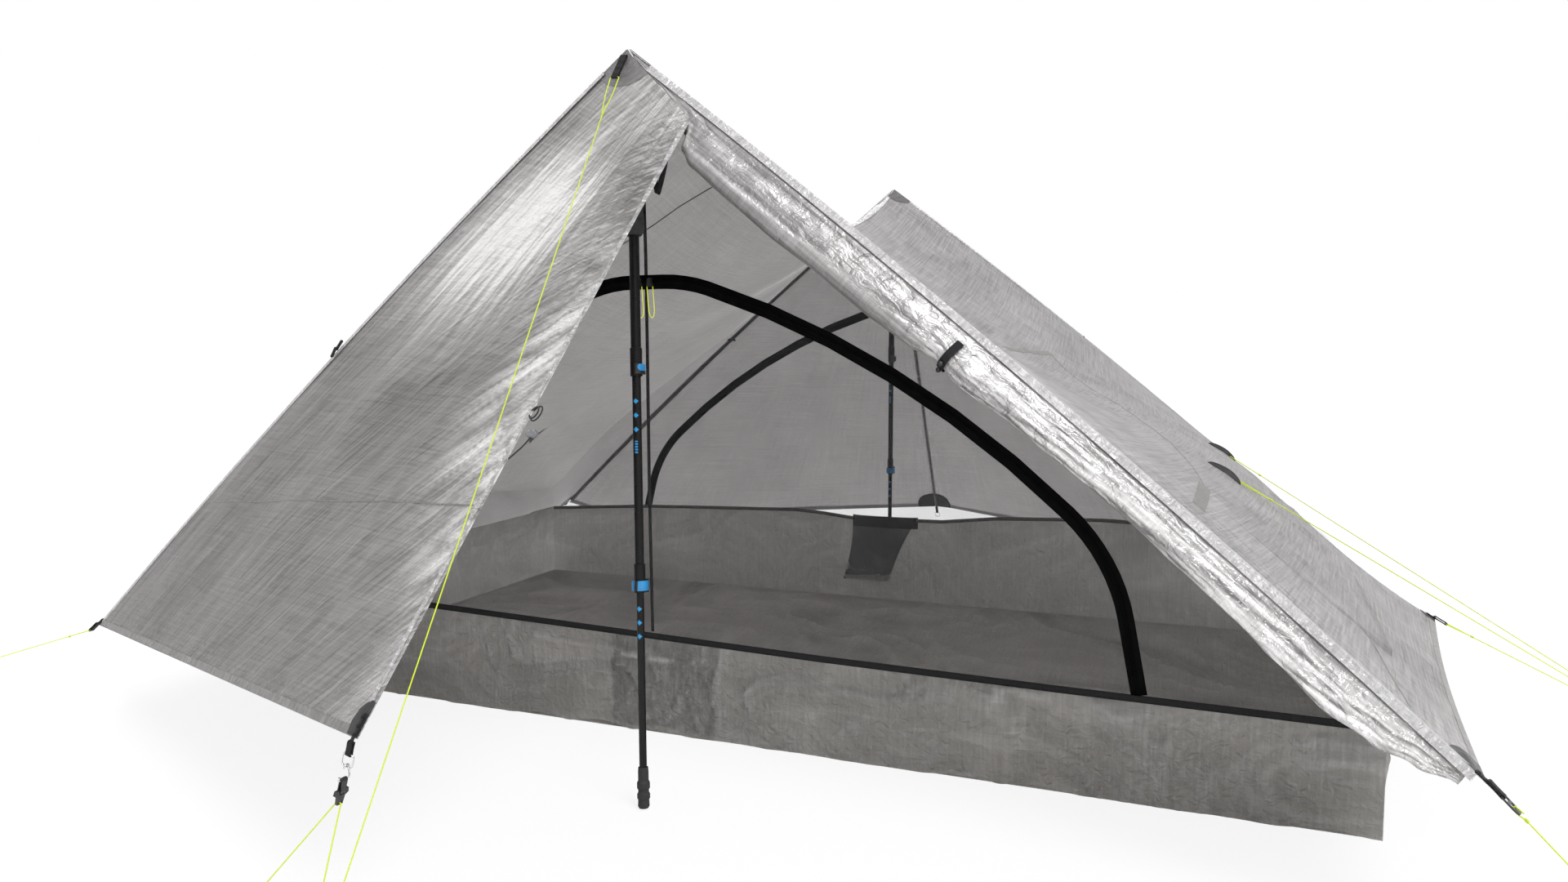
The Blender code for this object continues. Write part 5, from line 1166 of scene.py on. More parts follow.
def knot(name, start, end):
    """A small wrapped knot: a few turns of cord around the line."""
    axis = (end - start).normalized()
    side = axis.orthogonal().normalized()
    other = axis.cross(side)
    reach = (end - start).length + CORD_RADIUS * 2.4
    turns, steps = 3.2, 44
    points = []
    for i in range(steps + 1):
        t = i / steps
        angle = 2 * math.pi * turns * t
        wide = CORD_RADIUS * (1.15 + 0.35 * math.sin(math.pi * t) + 0.2 * math.sin(angle * 0.5 + 1))
        points.append((start + end) / 2 + axis * (reach * (t - 0.5)) + (side * math.cos(angle) * wide)
                      + other * math.sin(angle) * wide)
    return wire(name, points, CORD_RADIUS * 0.95, PAINTS["cord"])


# Fly

def put_cloth(key, name, sampled, towards, uv, paint, node, flat, area, poles, **marks):
    """Puts a finished cloth of the fly in the scene, and keeps it for what is laid on it."""
    CLOTHS[key] = Cloth(*sampled, towards)
    made = put(name, sheet_mesh(name, sampled[0], towards, FLY, uv, **marks), PAINTS[paint], node=node)


def build_panels():
    """The end panels: tension folds from tie-outs to corners, a scooped hem, and painted highlight streaks."""
    seam_share = SEAM_GAP / seam_length()
    edge_share = SEAM_GAP / (BACK_PEAK - FRONT_PEAK).length
    # The right panel uses fly_lit, a lighter copy of the laminate: painted light.
    for side, word, paint in ((1, "right", "fly_lit"), (-1, "left", "fly")):
        points, us, vs = sample(panel(side), (120, 140), (seam_share, 1.0, edge_share, 1 - edge_share))
        share, t = us[:, None], (vs if side > 0 else 1 - vs)[None, :]
        ease = unit((share - 0.55) / 0.45) ** 2
        ends = np.abs(2 * t - 1)
        scoop = 1 - ends - 0.10 * np.sin(np.pi * unit(ends))
        change = (scoop - 4 * t * (1 - t)) * ease * (0.35 + 0.65 * share)
        middle = (corner(side, "front") + corner(side, "back")) / 2
        hem_out = Vector((side * HEM_REACH, HEM_SHIFT, HEM_RISE)) - middle
        points = points + change[:, :, None] * np.array((hem_out.x, 0.0, max(hem_out.z, 0.0)))
        if side < 0:
            points[..., 2] -= 0.034 * ease * unit(np.minimum(t, 1 - t) / 0.07)
        towards = (side, 0, 1)
        n = grid_normals(points, towards)
        y, x = np.meshgrid(us * SIDE, vs * SIDE, indexing="ij")
        x = x if side > 0 else SIDE - x
        lift = flow(x, y, 2.2, 1.6, 3.1 + side) * 0.004 + flow(x, y, 9.0, 2.2, 7.7 + side) * 0.0016
        for tie in ((0.572, 1.094), (1.045, 1.094)):
            for apex in ((0.0, 0.0), (SIDE, 0.0)):
                lift += crease(x, y, apex, tie, 0.016, 0.0036)
            for foot in ((0.0, SIDE), (SIDE, SIDE), (SIDE / 2, SIDE)):
                lift += crease(x, y, tie, foot, 0.014, 0.0028)
        lift += crease(x, y, (0.0, 0.0), (0.42, 0.62), 0.010, 0.0040)
        lift -= crease(x, y, (0.05, 0.0), (0.75, 1.0), 0.018, 0.0030)
        hem = bell(SIDE - y, 0.05)
        lift += hem * flow(x, y, 22.0, 2.0, 5.0) * 0.0030
        lift += (bell(x, 0.05) + bell(SIDE - x, 0.05)) * flow(x, y, 8.0, 26.0, 9.0) * 0.0022
        fade = unit(np.minimum.reduce([x, SIDE - x, y, SIDE - y]) / 0.03)
        points = points + n * (lift * fade)[:, :, None]
        crinkle = 0.85 * bell(x, 0.10) + 0.35 * bell(SIDE - x, 0.07) + 0.25 * hem
        front = x if side > 0 else SIDE - x
        # Painted highlights: a bright strip along the front seam and bright bands along creases from the apex, broken
        # into radiating streaks.
        shine = 0.55 * bell(front, 0.10) * unit(1.3 - y / 0.9)
        for a, b, width, gain in (((0.0, 0.0), (0.62, 0.30), 0.030, 0.6), ((0.0, 0.0), (1.0, 0.55), 0.05, 0.35),
                                  ((0.05, 0.0), (0.35, 0.55), 0.022, 0.5)):
            d, along = edge_distance(front, y, a, b)
            shine = shine + gain * bell(d, width) * unit(1.1 - along)
        highlight_streaks = 0.45 + 0.9 * np.abs(flow(np.arctan2(y, front + 1e-6), 0 * y + 0.3, 34.0, 1.0, 13.0)) * 2
        name = "canopy_%s_panel" % word
        put_cloth("canopy_" + word, name + "_cloth", (points, us, vs), towards, (x, y), paint, name, (1.75, 1.65),
                  2.65, ("front", "back"), crinkle=unit(crinkle), shine=np.clip(shine * highlight_streaks, 0, 0.9))


def build_doors():
    """The closed doors: folds that fan out from the peak, rippled edges, and painted highlights and painted shade on
    the front one.
    """
    length = drop("front").length
    towards, tall = (-0.3, -1, 0.3), 1.35
    points, us, vs = sample(front_left_door, (100, 110), (0.0, 1.0, 0.003 / length, 1.0))
    n = grid_normals(points, towards)
    wide = np.linalg.norm(points[-1] - points[0], axis=1)[None, :]
    x = us[:, None] * wide
    y = np.broadcast_to(vs * tall, x.shape)
    around = us[:, None] + 0 * y
    right = wide - x
    hem = bell(tall - y, 0.05)
    lift = flow(around, y, 26.0, 0.9, 1.3) * 0.0032 * unit(y / 0.25) * unit((1.5 - y) / 0.5)
    lift += flow(around, y, 60.0, 1.6, 4.3) * 0.0015 * unit(y / 0.2)
    lift += flow(x, y, 4.0, 3.0, 2.2) * 0.004
    lift += bell(right, 0.05) * flow(x, y, 18.0, 24.0, 6.0) * 0.0035
    lift += hem * flow(x, y, 16.0, 3.0, 8.0) * 0.003
    fade = unit(np.minimum(x / 0.02, right / 0.012)) * unit((tall - y) / 0.012) * unit(y / 0.06)
    points = points + n * (lift * fade)[:, :, None]
    crinkle = bell(right, 0.07) * 0.9 + bell(y - 0.35, 0.22) * 0.55 + 0.35 * hem
    # Painted highlights (shine): a streaked bright patch high on the door, a bright rim along its free edge, and
    # brightness near the peak.
    highlight_streaks = np.abs(flow(around, y, 46.0, 1.1, 23.0)) * 2 + np.abs(flow(around, y, 110.0, 2.0, 29.0))
    down = np.broadcast_to(vs[None, :], around.shape)
    shine = bell(around - 0.43, 0.27) * bell(down - 0.25, 0.14) * (0.30 + 1.3 * highlight_streaks)
    rim = bell(1 - around, 0.13) * unit((down - 0.2) / 0.2) * unit((0.85 - down) / 0.2)
    shine += rim * (0.10 + 1.3 * np.abs(flow(x, y, 30.0, 10.0, 33.0)) * 2)
    shine += bell(1 - around, 0.05) * unit((down - 0.8) / 0.1) * 0.25
    shine += np.clip(0.45 - down / 0.25, 0, 0.35) * (0.3 + highlight_streaks)
    # Painted shade (dark, written as the shade attribute): darker lower down, and in blotches.
    dark = np.clip((down - 0.3) * 0.30, 0, 0.25) * unit(1.15 - around * 0.7)
    dark += unit(flow(around, y, 34.0, 1.3, 83.0)) * 0.30 * unit(1 - down * 0.6)
    put_cloth("front_left_door", "front_left_door_cloth", (points, us, vs), towards, (x, y), "fly_door",
              "front_left_storm_door", (1.45, 1.45), 0.81, ("front",), crinkle=unit(crinkle), shine=unit(shine),
              shade=dark)
    for side, word in ((1, "right"), (-1, "left")):
        points, us, vs = sample(back_door(side), (70, 80), (0.0, 1.0, 0.018 / length, 1.0))
        across = (us if side > 0 else 1 - us)[:, None]
        sag = unit(across / 0.60 if side < 0 else (across - 0.04) / 0.28)
        sag = sag * unit((0.995 - across) / 0.07) * (0.034 if side < 0 else 0.026)
        points[..., 2] -= sag * unit((vs[None, :] - 0.7) / 0.3) ** 2
        towards = (0.3 * side, 1, 0.3)
        n = grid_normals(points, towards)
        x, y = metric(points)
        around = np.broadcast_to(us[:, None], x.shape)
        lift = flow(around, y, 22.0, 1.0, 11.3) * 0.003 * unit(y / 0.25) + flow(x, y, 4.0, 3.0, 12.2 + side) * 0.004
        edge = np.minimum(us[:, None], 1 - us[:, None]) + 0 * y
        fade = unit(edge / 0.04) * unit((1.0 - vs[None, :]) / 0.02) * unit(y / 0.06)
        points = points + n * (lift * fade)[:, :, None]
        name = "back_%s_storm_door" % word
        put_cloth("back_%s_door" % word, name + "_cloth", (points, us, vs), towards, (x, y), "fly", name,
                  (1.45, 1.45), 0.78, ("back",), crinkle=bell(edge, 0.05) * 0.6)


def build_roll():
    """The rolled door: a flat strip of crinkled cloth at the seam that turns into the roll, with painted highlight
    and painted shade bands along it.
    """
    stations, around = 420, 56
    shape = (stations + 1, around)
    grid = np.zeros((*shape, 3))
    uv, crinkle, shine, shade = np.zeros((*shape, 2)), np.zeros(shape), np.zeros(shape), np.zeros(shape)
    for i in range(stations + 1):
        s = ROLL_SHARES[0][0] + (ROLL_SHARES[-1][0] - ROLL_SHARES[0][0]) * i / stations
        stem, width, depth = section_at(s, True)
        origin, down, inward = roll_place(s)
        ring = [Vector(p) for p in roll_section(stem, width, depth)]
        reach = max(p.x for p in ring)
        ring.append(ring[0])
        steps = running(ring)
        heart = origin + down * (ROLL_STEM * stem + SEAM_GAP * 2 + ROLL_RADIUS * width)
        heart += inward * (ROLL_RADIUS * depth + ROLL_SET_IN)
        near_strap = bell(s - STRAP_SHARE, 0.008)
        slack = 0.35 + 0.65 * unit((s - 0.38) / 0.08)
        low = unit((s - 0.40) / 0.08)
        for k in range(around):
            want = steps[-1] * k / around
            j = max(m for m in range(len(steps) - 1) if steps[m] <= want + 1e-12)
            t = (want - steps[j]) / max(steps[j + 1] - steps[j], 1e-9)
            flat = ring[j].lerp(ring[j + 1], t)
            spot = origin + down * flat.x + inward * (flat.y + ROLL_SET_IN)
            turn = k / around
            lap = turn * 9 + s * 3
            wrinkle = ripple(s * 6, lap * 2.2, 1.7) * 0.0028 + ripple(s * 22, lap * 3.5, 4.1) * 0.0012
            wrinkle -= abs(ripple(s * 12 + lap, lap * 1.3, 8.2)) * 0.0030
            fade = unit((flat.x - SEAM_GAP) / 0.012)
            body = unit((flat.x - ROLL_STEM * stem - 0.002) / 0.010) * min(1.0, width * 1.6) * (1 - near_strap)
            lift = wrinkle * slack * fade * (0.12 + 0.88 * body) - 0.0004
            grid[i, k] = spot + (spot - heart).normalized() * lift
            # Painted bands across the upper roll: a crinkled highlight band, a painted shade line, a painted shade
            # band and a highlight near its lower edge; lower down, painted highlight and painted shade streaks run
            # along the roll.
            across = flat.x / reach + 0.03 * ripple(s * 12, 0.5, 5.0)
            crinkle_highlight_band, line, shade_band, light = (bell(across - middle, wide) for middle, wide in
                                         ((0.45, 0.10), (0.27, 0.022), (0.68, 0.06), (0.84, 0.05)))
            fine = ripple(s * 16, turn * 14, 3.3) + 0.6 * ripple(s * 70, turn * 20, 6.3)
            long = ripple(s * 7, lap * 3.4, 3.3) + 0.5 * ripple(s * 40, lap * 5.2, 6.3)
            crinkle[i, k] = (0.05 + 0.25 * crinkle_highlight_band) * (1 - low) + (0.10 + 0.75 * body) * low
            upper = 0.02 + crinkle_highlight_band * (0.10 + 0.55 * fine) + 0.20 * light
            shine[i, k] = max(0.0, upper) * (1 - low) + max(0.0, 0.30 + 0.9 * long) * (0.3 + 0.7 * body) * low
            upper = 0.12 + 0.60 * line + 0.38 * shade_band + 3 * max(0.0, across - 0.9) + 0.25 * max(0.0, -fine)
            shade[i, k] = upper * (1 - low) + max(0.0, 0.12 - 1.1 * long) * (0.45 + 0.35 * body) * low
            uv[i, k] = want, s * SIDE
    mesh = loft("rolled_door_cloth", grid, lambda i, k: uv[i, k], crinkle=crinkle, shine=unit(shine),
                shade=np.clip(shade, 0, 0.8))
    made = put("rolled_door_cloth", mesh, PAINTS["fly_roll"], node="front_right_storm_door")


# Bathtub floor

def back_top_shift(x):
    """How far the slack back wall's top sinks below its straight line, at a place across the tent."""
    return np.interp(x, (-1.2, -0.6, -0.25, -0.17, -0.06, 0.20, 0.36, 1.2),
                     (0.004, 0.007, 0.007, 0.0, -0.014, -0.016, -0.002, 0.0))


def folded(bent, y, scales, gain):
    """Sharp fold lines of a crumpled sheet, from 0 to 1."""
    return 1 - unit(np.abs(flow(bent, y, *scales)) * gain)


def build_tub():
    """The tub's walls as one crumpled ring, and its floor sheet, both with painted highlights on fold ridges and
    painted shade.
    """
    along, short, rows = 340, 150, 26
    rings = []
    for row in range(rows + 1):
        v = row / rows
        ring = [long_wall_point("front", i / along, v) for i in range(along)]
        ring += [end_wall_point(1, i / short, v) for i in range(short)]
        ring += [long_wall_point("back", 1 - i / along, v) for i in range(along)]
        ring += [end_wall_point(-1, 1 - i / short, v) for i in range(short)]
        rings.append(ring + [ring[0]])
    points = np.array(rings)
    tangent = np.gradient(points, axis=1)
    tangent[:, 0] = points[:, 1] - points[:, 0]
    tangent[:, -1] = tangent[:, 0]
    n = np.stack([tangent[..., 1], -tangent[..., 0], 0 * tangent[..., 0]], axis=2)
    n /= np.maximum(np.linalg.norm(n, axis=2, keepdims=True), 1e-9)
    shape = points.shape[:2]
    run = np.concatenate([[0], np.cumsum(np.linalg.norm(np.diff(points[0], axis=0), axis=1))])
    x = np.broadcast_to(run[None, :], shape)
    y = np.broadcast_to(np.linspace(0, TUB_HEIGHT, rows + 1)[:, None], shape)
    wall = 0.22 + 0.78 * (1 - np.abs(2 * y / TUB_HEIGHT - 1) ** 3)
    wall[-1] = 0.05
    bent = x + y * 1.3 + flow(x, y, 3.0, 5.0, 91.0) * 0.5
    sharp = folded(bent, y, (9.0, 5.0, 44.0), 8.0)
    thin = folded(bent * 0.7 - y * 1.5, y, (22.0, 12.0, 54.0), 6.5)
    under = folded(bent, y - 0.007, (9.0, 5.0, 44.0), 8.0)
    ridge = 1 - np.abs(flow(x, y, 9.0, 7.0, 21.0)) * 2
    lift = flow(x, y, 5.0, 6.0, 17.0) * 0.012 + ridge * 0.004 + flow(x, y, 24.0, 30.0, 31.0) * 0.0030
    lift = wall * (lift + sharp * 0.0055 + thin * 0.0022)
    # Painted highlights on the fold ridges, and painted shade just under them and in blotches.
    shine = unit(sharp * 0.30 + thin * 0.16 - under * 0.1)
    shade = np.clip(0.06 + under * 0.42 + flow(x, y, 6.0, 9.0, 64.0) * 0.35, 0, 0.6)
    # Painted shade where the front pocket behind the wall shows through as a darker patch, and a painted highlight
    # along its top.
    front = np.zeros(shape)
    front[:, :along + 1] = np.linspace(0, 1, along + 1)[None, :] * FLOOR_LENGTH + floor_x(0)
    low, high = FRONT_POCKET[0]
    seen = (front > low) & (front < high) & (np.arange(shape[1])[None, :] <= along) & (y > 0.014)
    shade = shade + seen * 0.34
    shine += seen * unit(1 - np.abs(y - 0.162) / 0.016) * np.clip(flow(x, y, 60.0, 90.0, 37.0) * 2, 0, 0.35)
    lift[:, -1] = lift[:, 0]
    ends = (0, run[along], run[along + short], run[2 * along + short], run[-1])
    ease = unit(np.minimum.reduce([np.abs(run - end) for end in ends]) / 0.05)
    points = points + n * (lift * ease[None, :])[:, :, None]
    points[1:-1, :, 2] += (flow(x, y, 10.0, 8.0, 51.0) * 0.003)[1:-1]
    foot = np.abs(flow(x[:1], y[:1], 7.0, 1.0, 73.0))[0] * 0.016 * ease * (points[0, :, 1] < -0.4)
    points[..., 2] += foot[None, :] * np.linspace(1, 0, rows + 1)[:, None] ** 2
    back = points[..., 1] > 0.5
    points[..., 2] += back * back_top_shift(points[..., 0]) * np.linspace(0, 1, rows + 1)[:, None]
    points[:, -1] = points[:, 0]
    mesh = sheet_mesh("bathtub_wall_cloth", points, None, FLY, (x, y + 0.02), n, crinkle=0 * x + 0.4, shine=shine,
                      shade=shade)
    walls = put("bathtub_wall_cloth", mesh, PAINTS["tub"], node="bathtub_floor")
    sheet, _, _ = sample(lambda u, v: long_wall_point("front", u, 0.0).lerp(long_wall_point("back", u, 0.0), v),
                         (230, 124), (0.001, 0.999, 0.002, 0.998))
    x, y = metric(sheet)
    rise = np.abs(flow(x, y, 6.0, 5.0, 61.0)) * 0.006 + np.abs(flow(x, y, 18.0, 16.0, 71.0)) * 0.0022
    inside = np.minimum.reduce([x, x.max() - x, y, y.max() - y])
    bent = x + y * 0.9 + flow(x, y, 2.5, 2.5, 92.0) * 0.7
    sharp = folded(bent, y, (5.0, 3.0, 47.0), 6.0)
    thin = folded(bent * 0.8 - y, y, (13.0, 7.0, 57.0), 5.0)
    sheet[..., 2] = 0.0012 + (rise + sharp * 0.010 + thin * 0.005) * unit(inside / 0.05)
    # Painted shade in blotches and painted highlights on the floor's fold ridges.
    dark = np.clip(0.05 + flow(bent + 0.02, y, 5.0, 3.0, 47.0) * 0.5 + flow(x, y, 9.0, 9.0, 67.0) * 0.3, 0, 0.6)
    mesh = sheet_mesh("bathtub_floor_cloth", sheet, (0, 0, 1), FLY, (x, y), crinkle=0 * x + 0.4,
                      shine=unit(sharp * 0.20 + thin * 0.14), shade=dark)
    made = put("bathtub_floor_cloth", mesh, PAINTS["tub_floor"])


# Mesh inner

def fly_height(world_x, world_y):
    """Height of the fly's underside above a point."""
    for aside in (0.0, 0.008, -0.008):
        hits = [tree.ray_cast(Vector((world_x + aside, world_y, 0.002)), UP)[0] for tree in TREES]
        heights = [spot.z for spot in hits if spot]
        if heights:
            return min(heights)
    return None


def curve_height(path, x):
    """Height of a path of (x, z) at an x."""
    best = None
    for a, b in zip(path, path[1:]):
        if min(a[0], b[0]) - 1e-9 <= x <= max(a[0], b[0]) + 1e-9 and abs(a[0] - b[0]) > 1e-9:
            z = a[1] + (b[1] - a[1]) * (x - a[0]) / (b[0] - a[0])
            best = z if best is None else max(best, z)
    return best


def mesh_top(end, x):
    """Top of the mesh at an x of its placing, just under the fly."""
    world = -facing(end) * x
    z = TUB_HEIGHT
    for _ in range(8):
        height = fly_height(world, mesh_y(end, z))
        z = min(height - 0.003, MESH_TOP) if height else z
    return z


def mesh_piece(name, end, xs, low, high, nodes=(), tall=18):
    """A leaning piece of mesh in columns, from low(x) up to high(x), with slight tension folds."""
    place = mesh_place(end)
    points, uv = np.zeros((len(xs), tall + 1, 3)), np.zeros((2, len(xs), tall + 1))
    for i, x in enumerate(xs):
        bottom, top = low(x), high(x)
        for j in range(tall + 1):
            t = j / tall
            z = bottom + (top - bottom) * t
            free = 4 * t * (1 - t) * min(1.0, (top - bottom) / 0.2)
            bow = ripple(x * 7 + z * 5, z * 3 - x * 2, 3.3) * 0.0035 * free
            bow += ripple(x * 30 + z * 22, z * 5, 9.3) * 0.0010 * free
            uv[:, i, j] = on_mesh([(x, z)])[0]
            points[i, j] = place @ Vector((*uv[:, i, j], bow))
    mesh = sheet_mesh(name, points, (0, facing(end), 0.1), NET, (uv[0], uv[1]))
    put(name, mesh, PAINTS["mesh"], node=nodes)


def steps_between(low, high, step):
    """Evenly spaced values from one to another, about a step apart."""
    count = max(1, int(round((high - low) / step)))
    return [low + (high - low) * i / count for i in range(count + 1)]


def mesh_columns(path, first, last):
    """Columns between two places across the mesh that meet the corners of a path."""
    xs = sorted({round(p[0], 4) for p in path} | {round(x, 4) for x in steps_between(first, last, 0.02)})
    return [x for x in xs if first < x < last]


def build_mesh_walls():
    """The mesh around and inside both arches, and at the tent's ends."""
    for end in ("front", "back"):
        rise = SILL_RISE if end == "front" else GAP
        left, right = sorted((-facing(end) * floor_x(0), -facing(end) * floor_x(1)))
        outer, inner = (arch_path(end, offset, rise) for offset in (ARCH_TAPE, -ARCH_TAPE))
        first, last = outer[0][0], outer[-1][0]

        def foot(x, end=end, rise=rise):
            """Lower edge of the mesh, above the tub wall."""
            return sill(end, x) + rise + (float(back_top_shift(-x)) if end == "back" else 0.0)

        def over(x, end=end):
            """Upper edge of the mesh, under the fly."""
            return mesh_top(end, x)

        def under(x, path=outer, foot=foot):
            """Lower edge of the mesh over the arch."""
            return max(curve_height(path, x) or 0.0, foot(x))

        def inside(x, path=inner, foot=foot):
            """Upper edge of the mesh door."""
            return max(curve_height(path, x) or 0.0, foot(x) + 0.002)

        mesh_piece(end + "_mesh_left", end, steps_between(left + 0.002, first, 0.03), foot, over,
                   "inner_mesh_walls" if end == "front" else ())
        mesh_piece(end + "_mesh_right", end, steps_between(last, right - 0.002, 0.03), foot, over)
        xs = mesh_columns(outer, first, last)
        mesh_piece(end + "_mesh_over", end, [first + 0.0002] + xs + [last - 0.0002], under, over)
        a, b = inner[0][0] + 0.001, inner[-1][0] - 0.001
        mesh_piece(end + "_mesh_panel", end, [a] + mesh_columns(inner, a, b) + [b], foot, inside, end + "_mesh_door")
    for side, word in ((1, "right"), (-1, "left")):
        x = floor_x(1.0 if side > 0 else 0.0) - side * 0.001
        rows = []
        for i in range(31):
            u = i / 30
            wall = end_wall_point(side, u, 1.0)
            y = wall.y
            for _ in range(3):
                top = (fly_height(x, y) or wall.z + 0.05) - 0.003
                y = wall.y + (mesh_y("front", top) - mesh_y("front", wall.z)) * (1 - u)
                y += (mesh_y("back", top) - mesh_y("back", wall.z)) * u
            head, start = Vector((x, y, top)), Vector((x, wall.y, wall.z + 0.001))
            rows.append([start.lerp(head, j / 5) for j in range(6)])
        mesh = sheet_mesh("end_mesh", np.array(rows), (side, 0, 0), NET)
        put("end_mesh_" + word, mesh, PAINTS["mesh"])


def tape_along(name, end, line, half, paint, node=(), ridge=0.0, lift=0.0):
    """A flat tape along a line in the mesh's plane, with a ridge down its middle."""
    place = mesh_place(end)
    turn = place.to_3x3()
    flat = [Vector(p) for p in on_mesh(line)]
    dense = []
    for a, b in zip(flat, flat[1:]):
        parts = max(1, int((b - a).length / 0.012))
        dense += [a.lerp(b, k / parts) for k in range(parts)]
    dense.append(flat[-1])
    path, across = [], []
    for i, spot in enumerate(dense):
        tangent = (dense[min(i + 1, len(dense) - 1)] - dense[max(i - 1, 0)]).normalized()
        path.append(place @ Vector((spot.x, spot.y, lift)))
        across.append(turn @ Vector((tangent.y, -tangent.x, 0)))
    t = 0.0009
    right = ((0.12, t + ridge), (0.24, t + ridge * 0.5), (0.30, t), (0.92, t), (1.0, t * 0.4), (1.0, -t))
    profile = [(-half * a, b) for a, b in right[::-1]] + [(half * a, b) for a, b in right]
    sweep_band(name, path, across, profile, PAINTS[paint], turn @ UP, node)


def build_zips():
    """The arched zips, the bindings of the tub's walls, and the strap beside the front pole."""
    for end in ("front", "back"):
        line = arch_path(end, 0.0, SILL_RISE if end == "front" else GAP)
        tape_along(end + "_arch_zip", end, line, 0.0128, "zip", end + "_door_zipper", 0.0016)
    left, right = floor_x(0) + 0.002, floor_x(1) - 0.002
    line = [(x, z + 0.006) for x, z in sill_line("front", left, right, GAP)]
    tape_along("front_sill_binding", "front", line, 0.0062, "binding", "front_sill_tape", 0.0006)
    line = [(-0.026, 1.06), (-0.034, 0.90), (-0.047, 0.70), (-0.062, 0.478), (-0.078, 0.198)]
    tape_along("front_centre_strap", "front", line, 0.0030, "webbing", (), 0.0005, -0.0040)
    left, right = -floor_x(1), -floor_x(0)
    line = [(x, sill("back", x) + GAP - 0.004 + float(back_top_shift(-x)))
            for x in steps_between(left + 0.004, right - 0.004, 0.03)]
    tape_along("back_sill_binding", "back", line, 0.005, "binding_pale", (), 0.0004, -0.0022)


def build_pockets():
    """Mesh pockets on the tub's walls, each with its hem."""
    for end, (top, bottom, heights), hem, paint in (("front", FRONT_POCKET, 0.008, "binding"),
                                                    ("back", BACK_POCKET, 0.034, "pocket_hem")):
        slack = 0.010 if end == "back" else 0.0

        def surface(u, v, end=end, top=top, bottom=bottom, heights=heights, slack=slack):
            """A point of the pocket's cloth, bellied off the wall."""
            z = heights[1] + (heights[0] - heights[1]) * v
            upper = top[0] + (top[1] - top[0]) * u
            lower = bottom[0] + (bottom[1] - bottom[0]) * u
            x = lower + (upper - lower) * v
            share = (x - floor_x(0)) / FLOOR_LENGTH
            wall = long_wall_point(end, share, z / wall_top(end, share))
            belly = POCKET_DEPTH * (1 - (2 * u - 1) ** 4) * v
            belly += ripple(x * 30, z * 22, 4.0) * 0.004 * v * (1 - abs(2 * u - 1))
            pinch = slack * math.sin(math.pi * v) * (1 - 2 * u)
            y = wall.y - facing(end) * (CLOTH + POCKET_CLEARANCE + belly)
            return Vector((x + pinch, y, z + slack * v))

        points, _, _ = sample(surface, (26, 18))
        mesh = sheet_mesh(end + "_pocket_cloth", points, (0, -facing(end), 0), NET)
        put(end + "_pocket_cloth", mesh, PAINTS["pocket"], node=end + "_wall_pocket")
        rim = [Vector(point) for point in points[:, -1]]
        profile = [(-hem, -0.0003), (-hem, 0.0006), (0.0, 0.0008), (0.0, -0.0003)]
        sweep_band(end + "_pocket_hem", rim, [UP] * len(rim), profile, PAINTS[paint], BACKWARD * -facing(end))


# Pieces laid on the cloths

class Cloth:
    """A finished grid of cloth that patches, bands and tapes are laid on."""

    def __init__(self, points, us, vs, towards):
        self.points, self.us, self.vs = points, us, vs
        self.n = grid_normals(points, towards)

    def at(self, u, v):
        """Point and outer normal at shares of the grid."""
        i = float(np.interp(u, self.us, np.arange(len(self.us))))
        j = float(np.interp(v, self.vs, np.arange(len(self.vs))))
        a, b = min(int(i), len(self.us) - 2), min(int(j), len(self.vs) - 2)
        i, j = i - a, j - b
        out = []
        for grid in (self.points, self.n):
            low = grid[a, b] * (1 - i) + grid[a + 1, b] * i
            high = grid[a, b + 1] * (1 - i) + grid[a + 1, b + 1] * i
            out.append(Vector(low * (1 - j) + high * j))
        return out[0], out[1].normalized()


CLOTHS = {}


def lay(name, cloth, shares, lift, paint, thickness=LAID, node=(), crinkle=0.3):
    """A thin piece on a cloth, from a grid of shares (u, v); lift is under it, less than 0 for inside."""
    top = lift + math.copysign(thickness, lift)
    grid = [[spot + out * top for spot, out in (cloth.at(u, v) for u, v in row)] for row in shares]
    out = cloth.at(*shares[len(shares) // 2][len(shares[0]) // 2])[1]
    return put_sheet(name, grid, out * math.copysign(1, lift), thickness, paint, node, crinkle=crinkle)


def lay_band(name, cloth, shares, half, paint, lift=FOLD_LIFT, crinkle=0.6):
    """A narrow band along a line of shares on a cloth."""
    spots = [cloth.at(u, v) for u, v in shares]
    top = lift + math.copysign(BAND, lift)
    grid = []
    for i, (spot, out) in enumerate(spots):
        ahead = spots[min(i + 1, len(spots) - 1)][0] - spots[max(i - 1, 0)][0]
        side = out.cross(ahead).normalized()
        grid.append([spot + out * top + side * (half * k) for k in (-1, -0.4, 0.4, 1)])
    towards = spots[len(spots) // 2][1] * math.copysign(1, lift)
    return put_sheet(name, grid, towards, BAND, paint, slot="fly_cloth", crinkle=crinkle)


def line_of(a, b, count):
    """Evenly spaced shares from one to another."""
    return [(a[0] + (b[0] - a[0]) * i / count, a[1] + (b[1] - a[1]) * i / count) for i in range(count + 1)]


def fan(centre, reach, stop, rows=8, cols=14):
    """Shares of a rounded patch: rays from a centre, reach (du, dv), up to an angle."""
    out = []
    for i in range(rows + 1):
        r = 0.03 + 0.97 * i / rows
        angles = [stop * j / cols for j in range(cols + 1)]
        out.append([(centre[0] + reach[0] * r * math.sin(a), centre[1] + reach[1] * r * math.cos(a)) for a in angles])
    return out


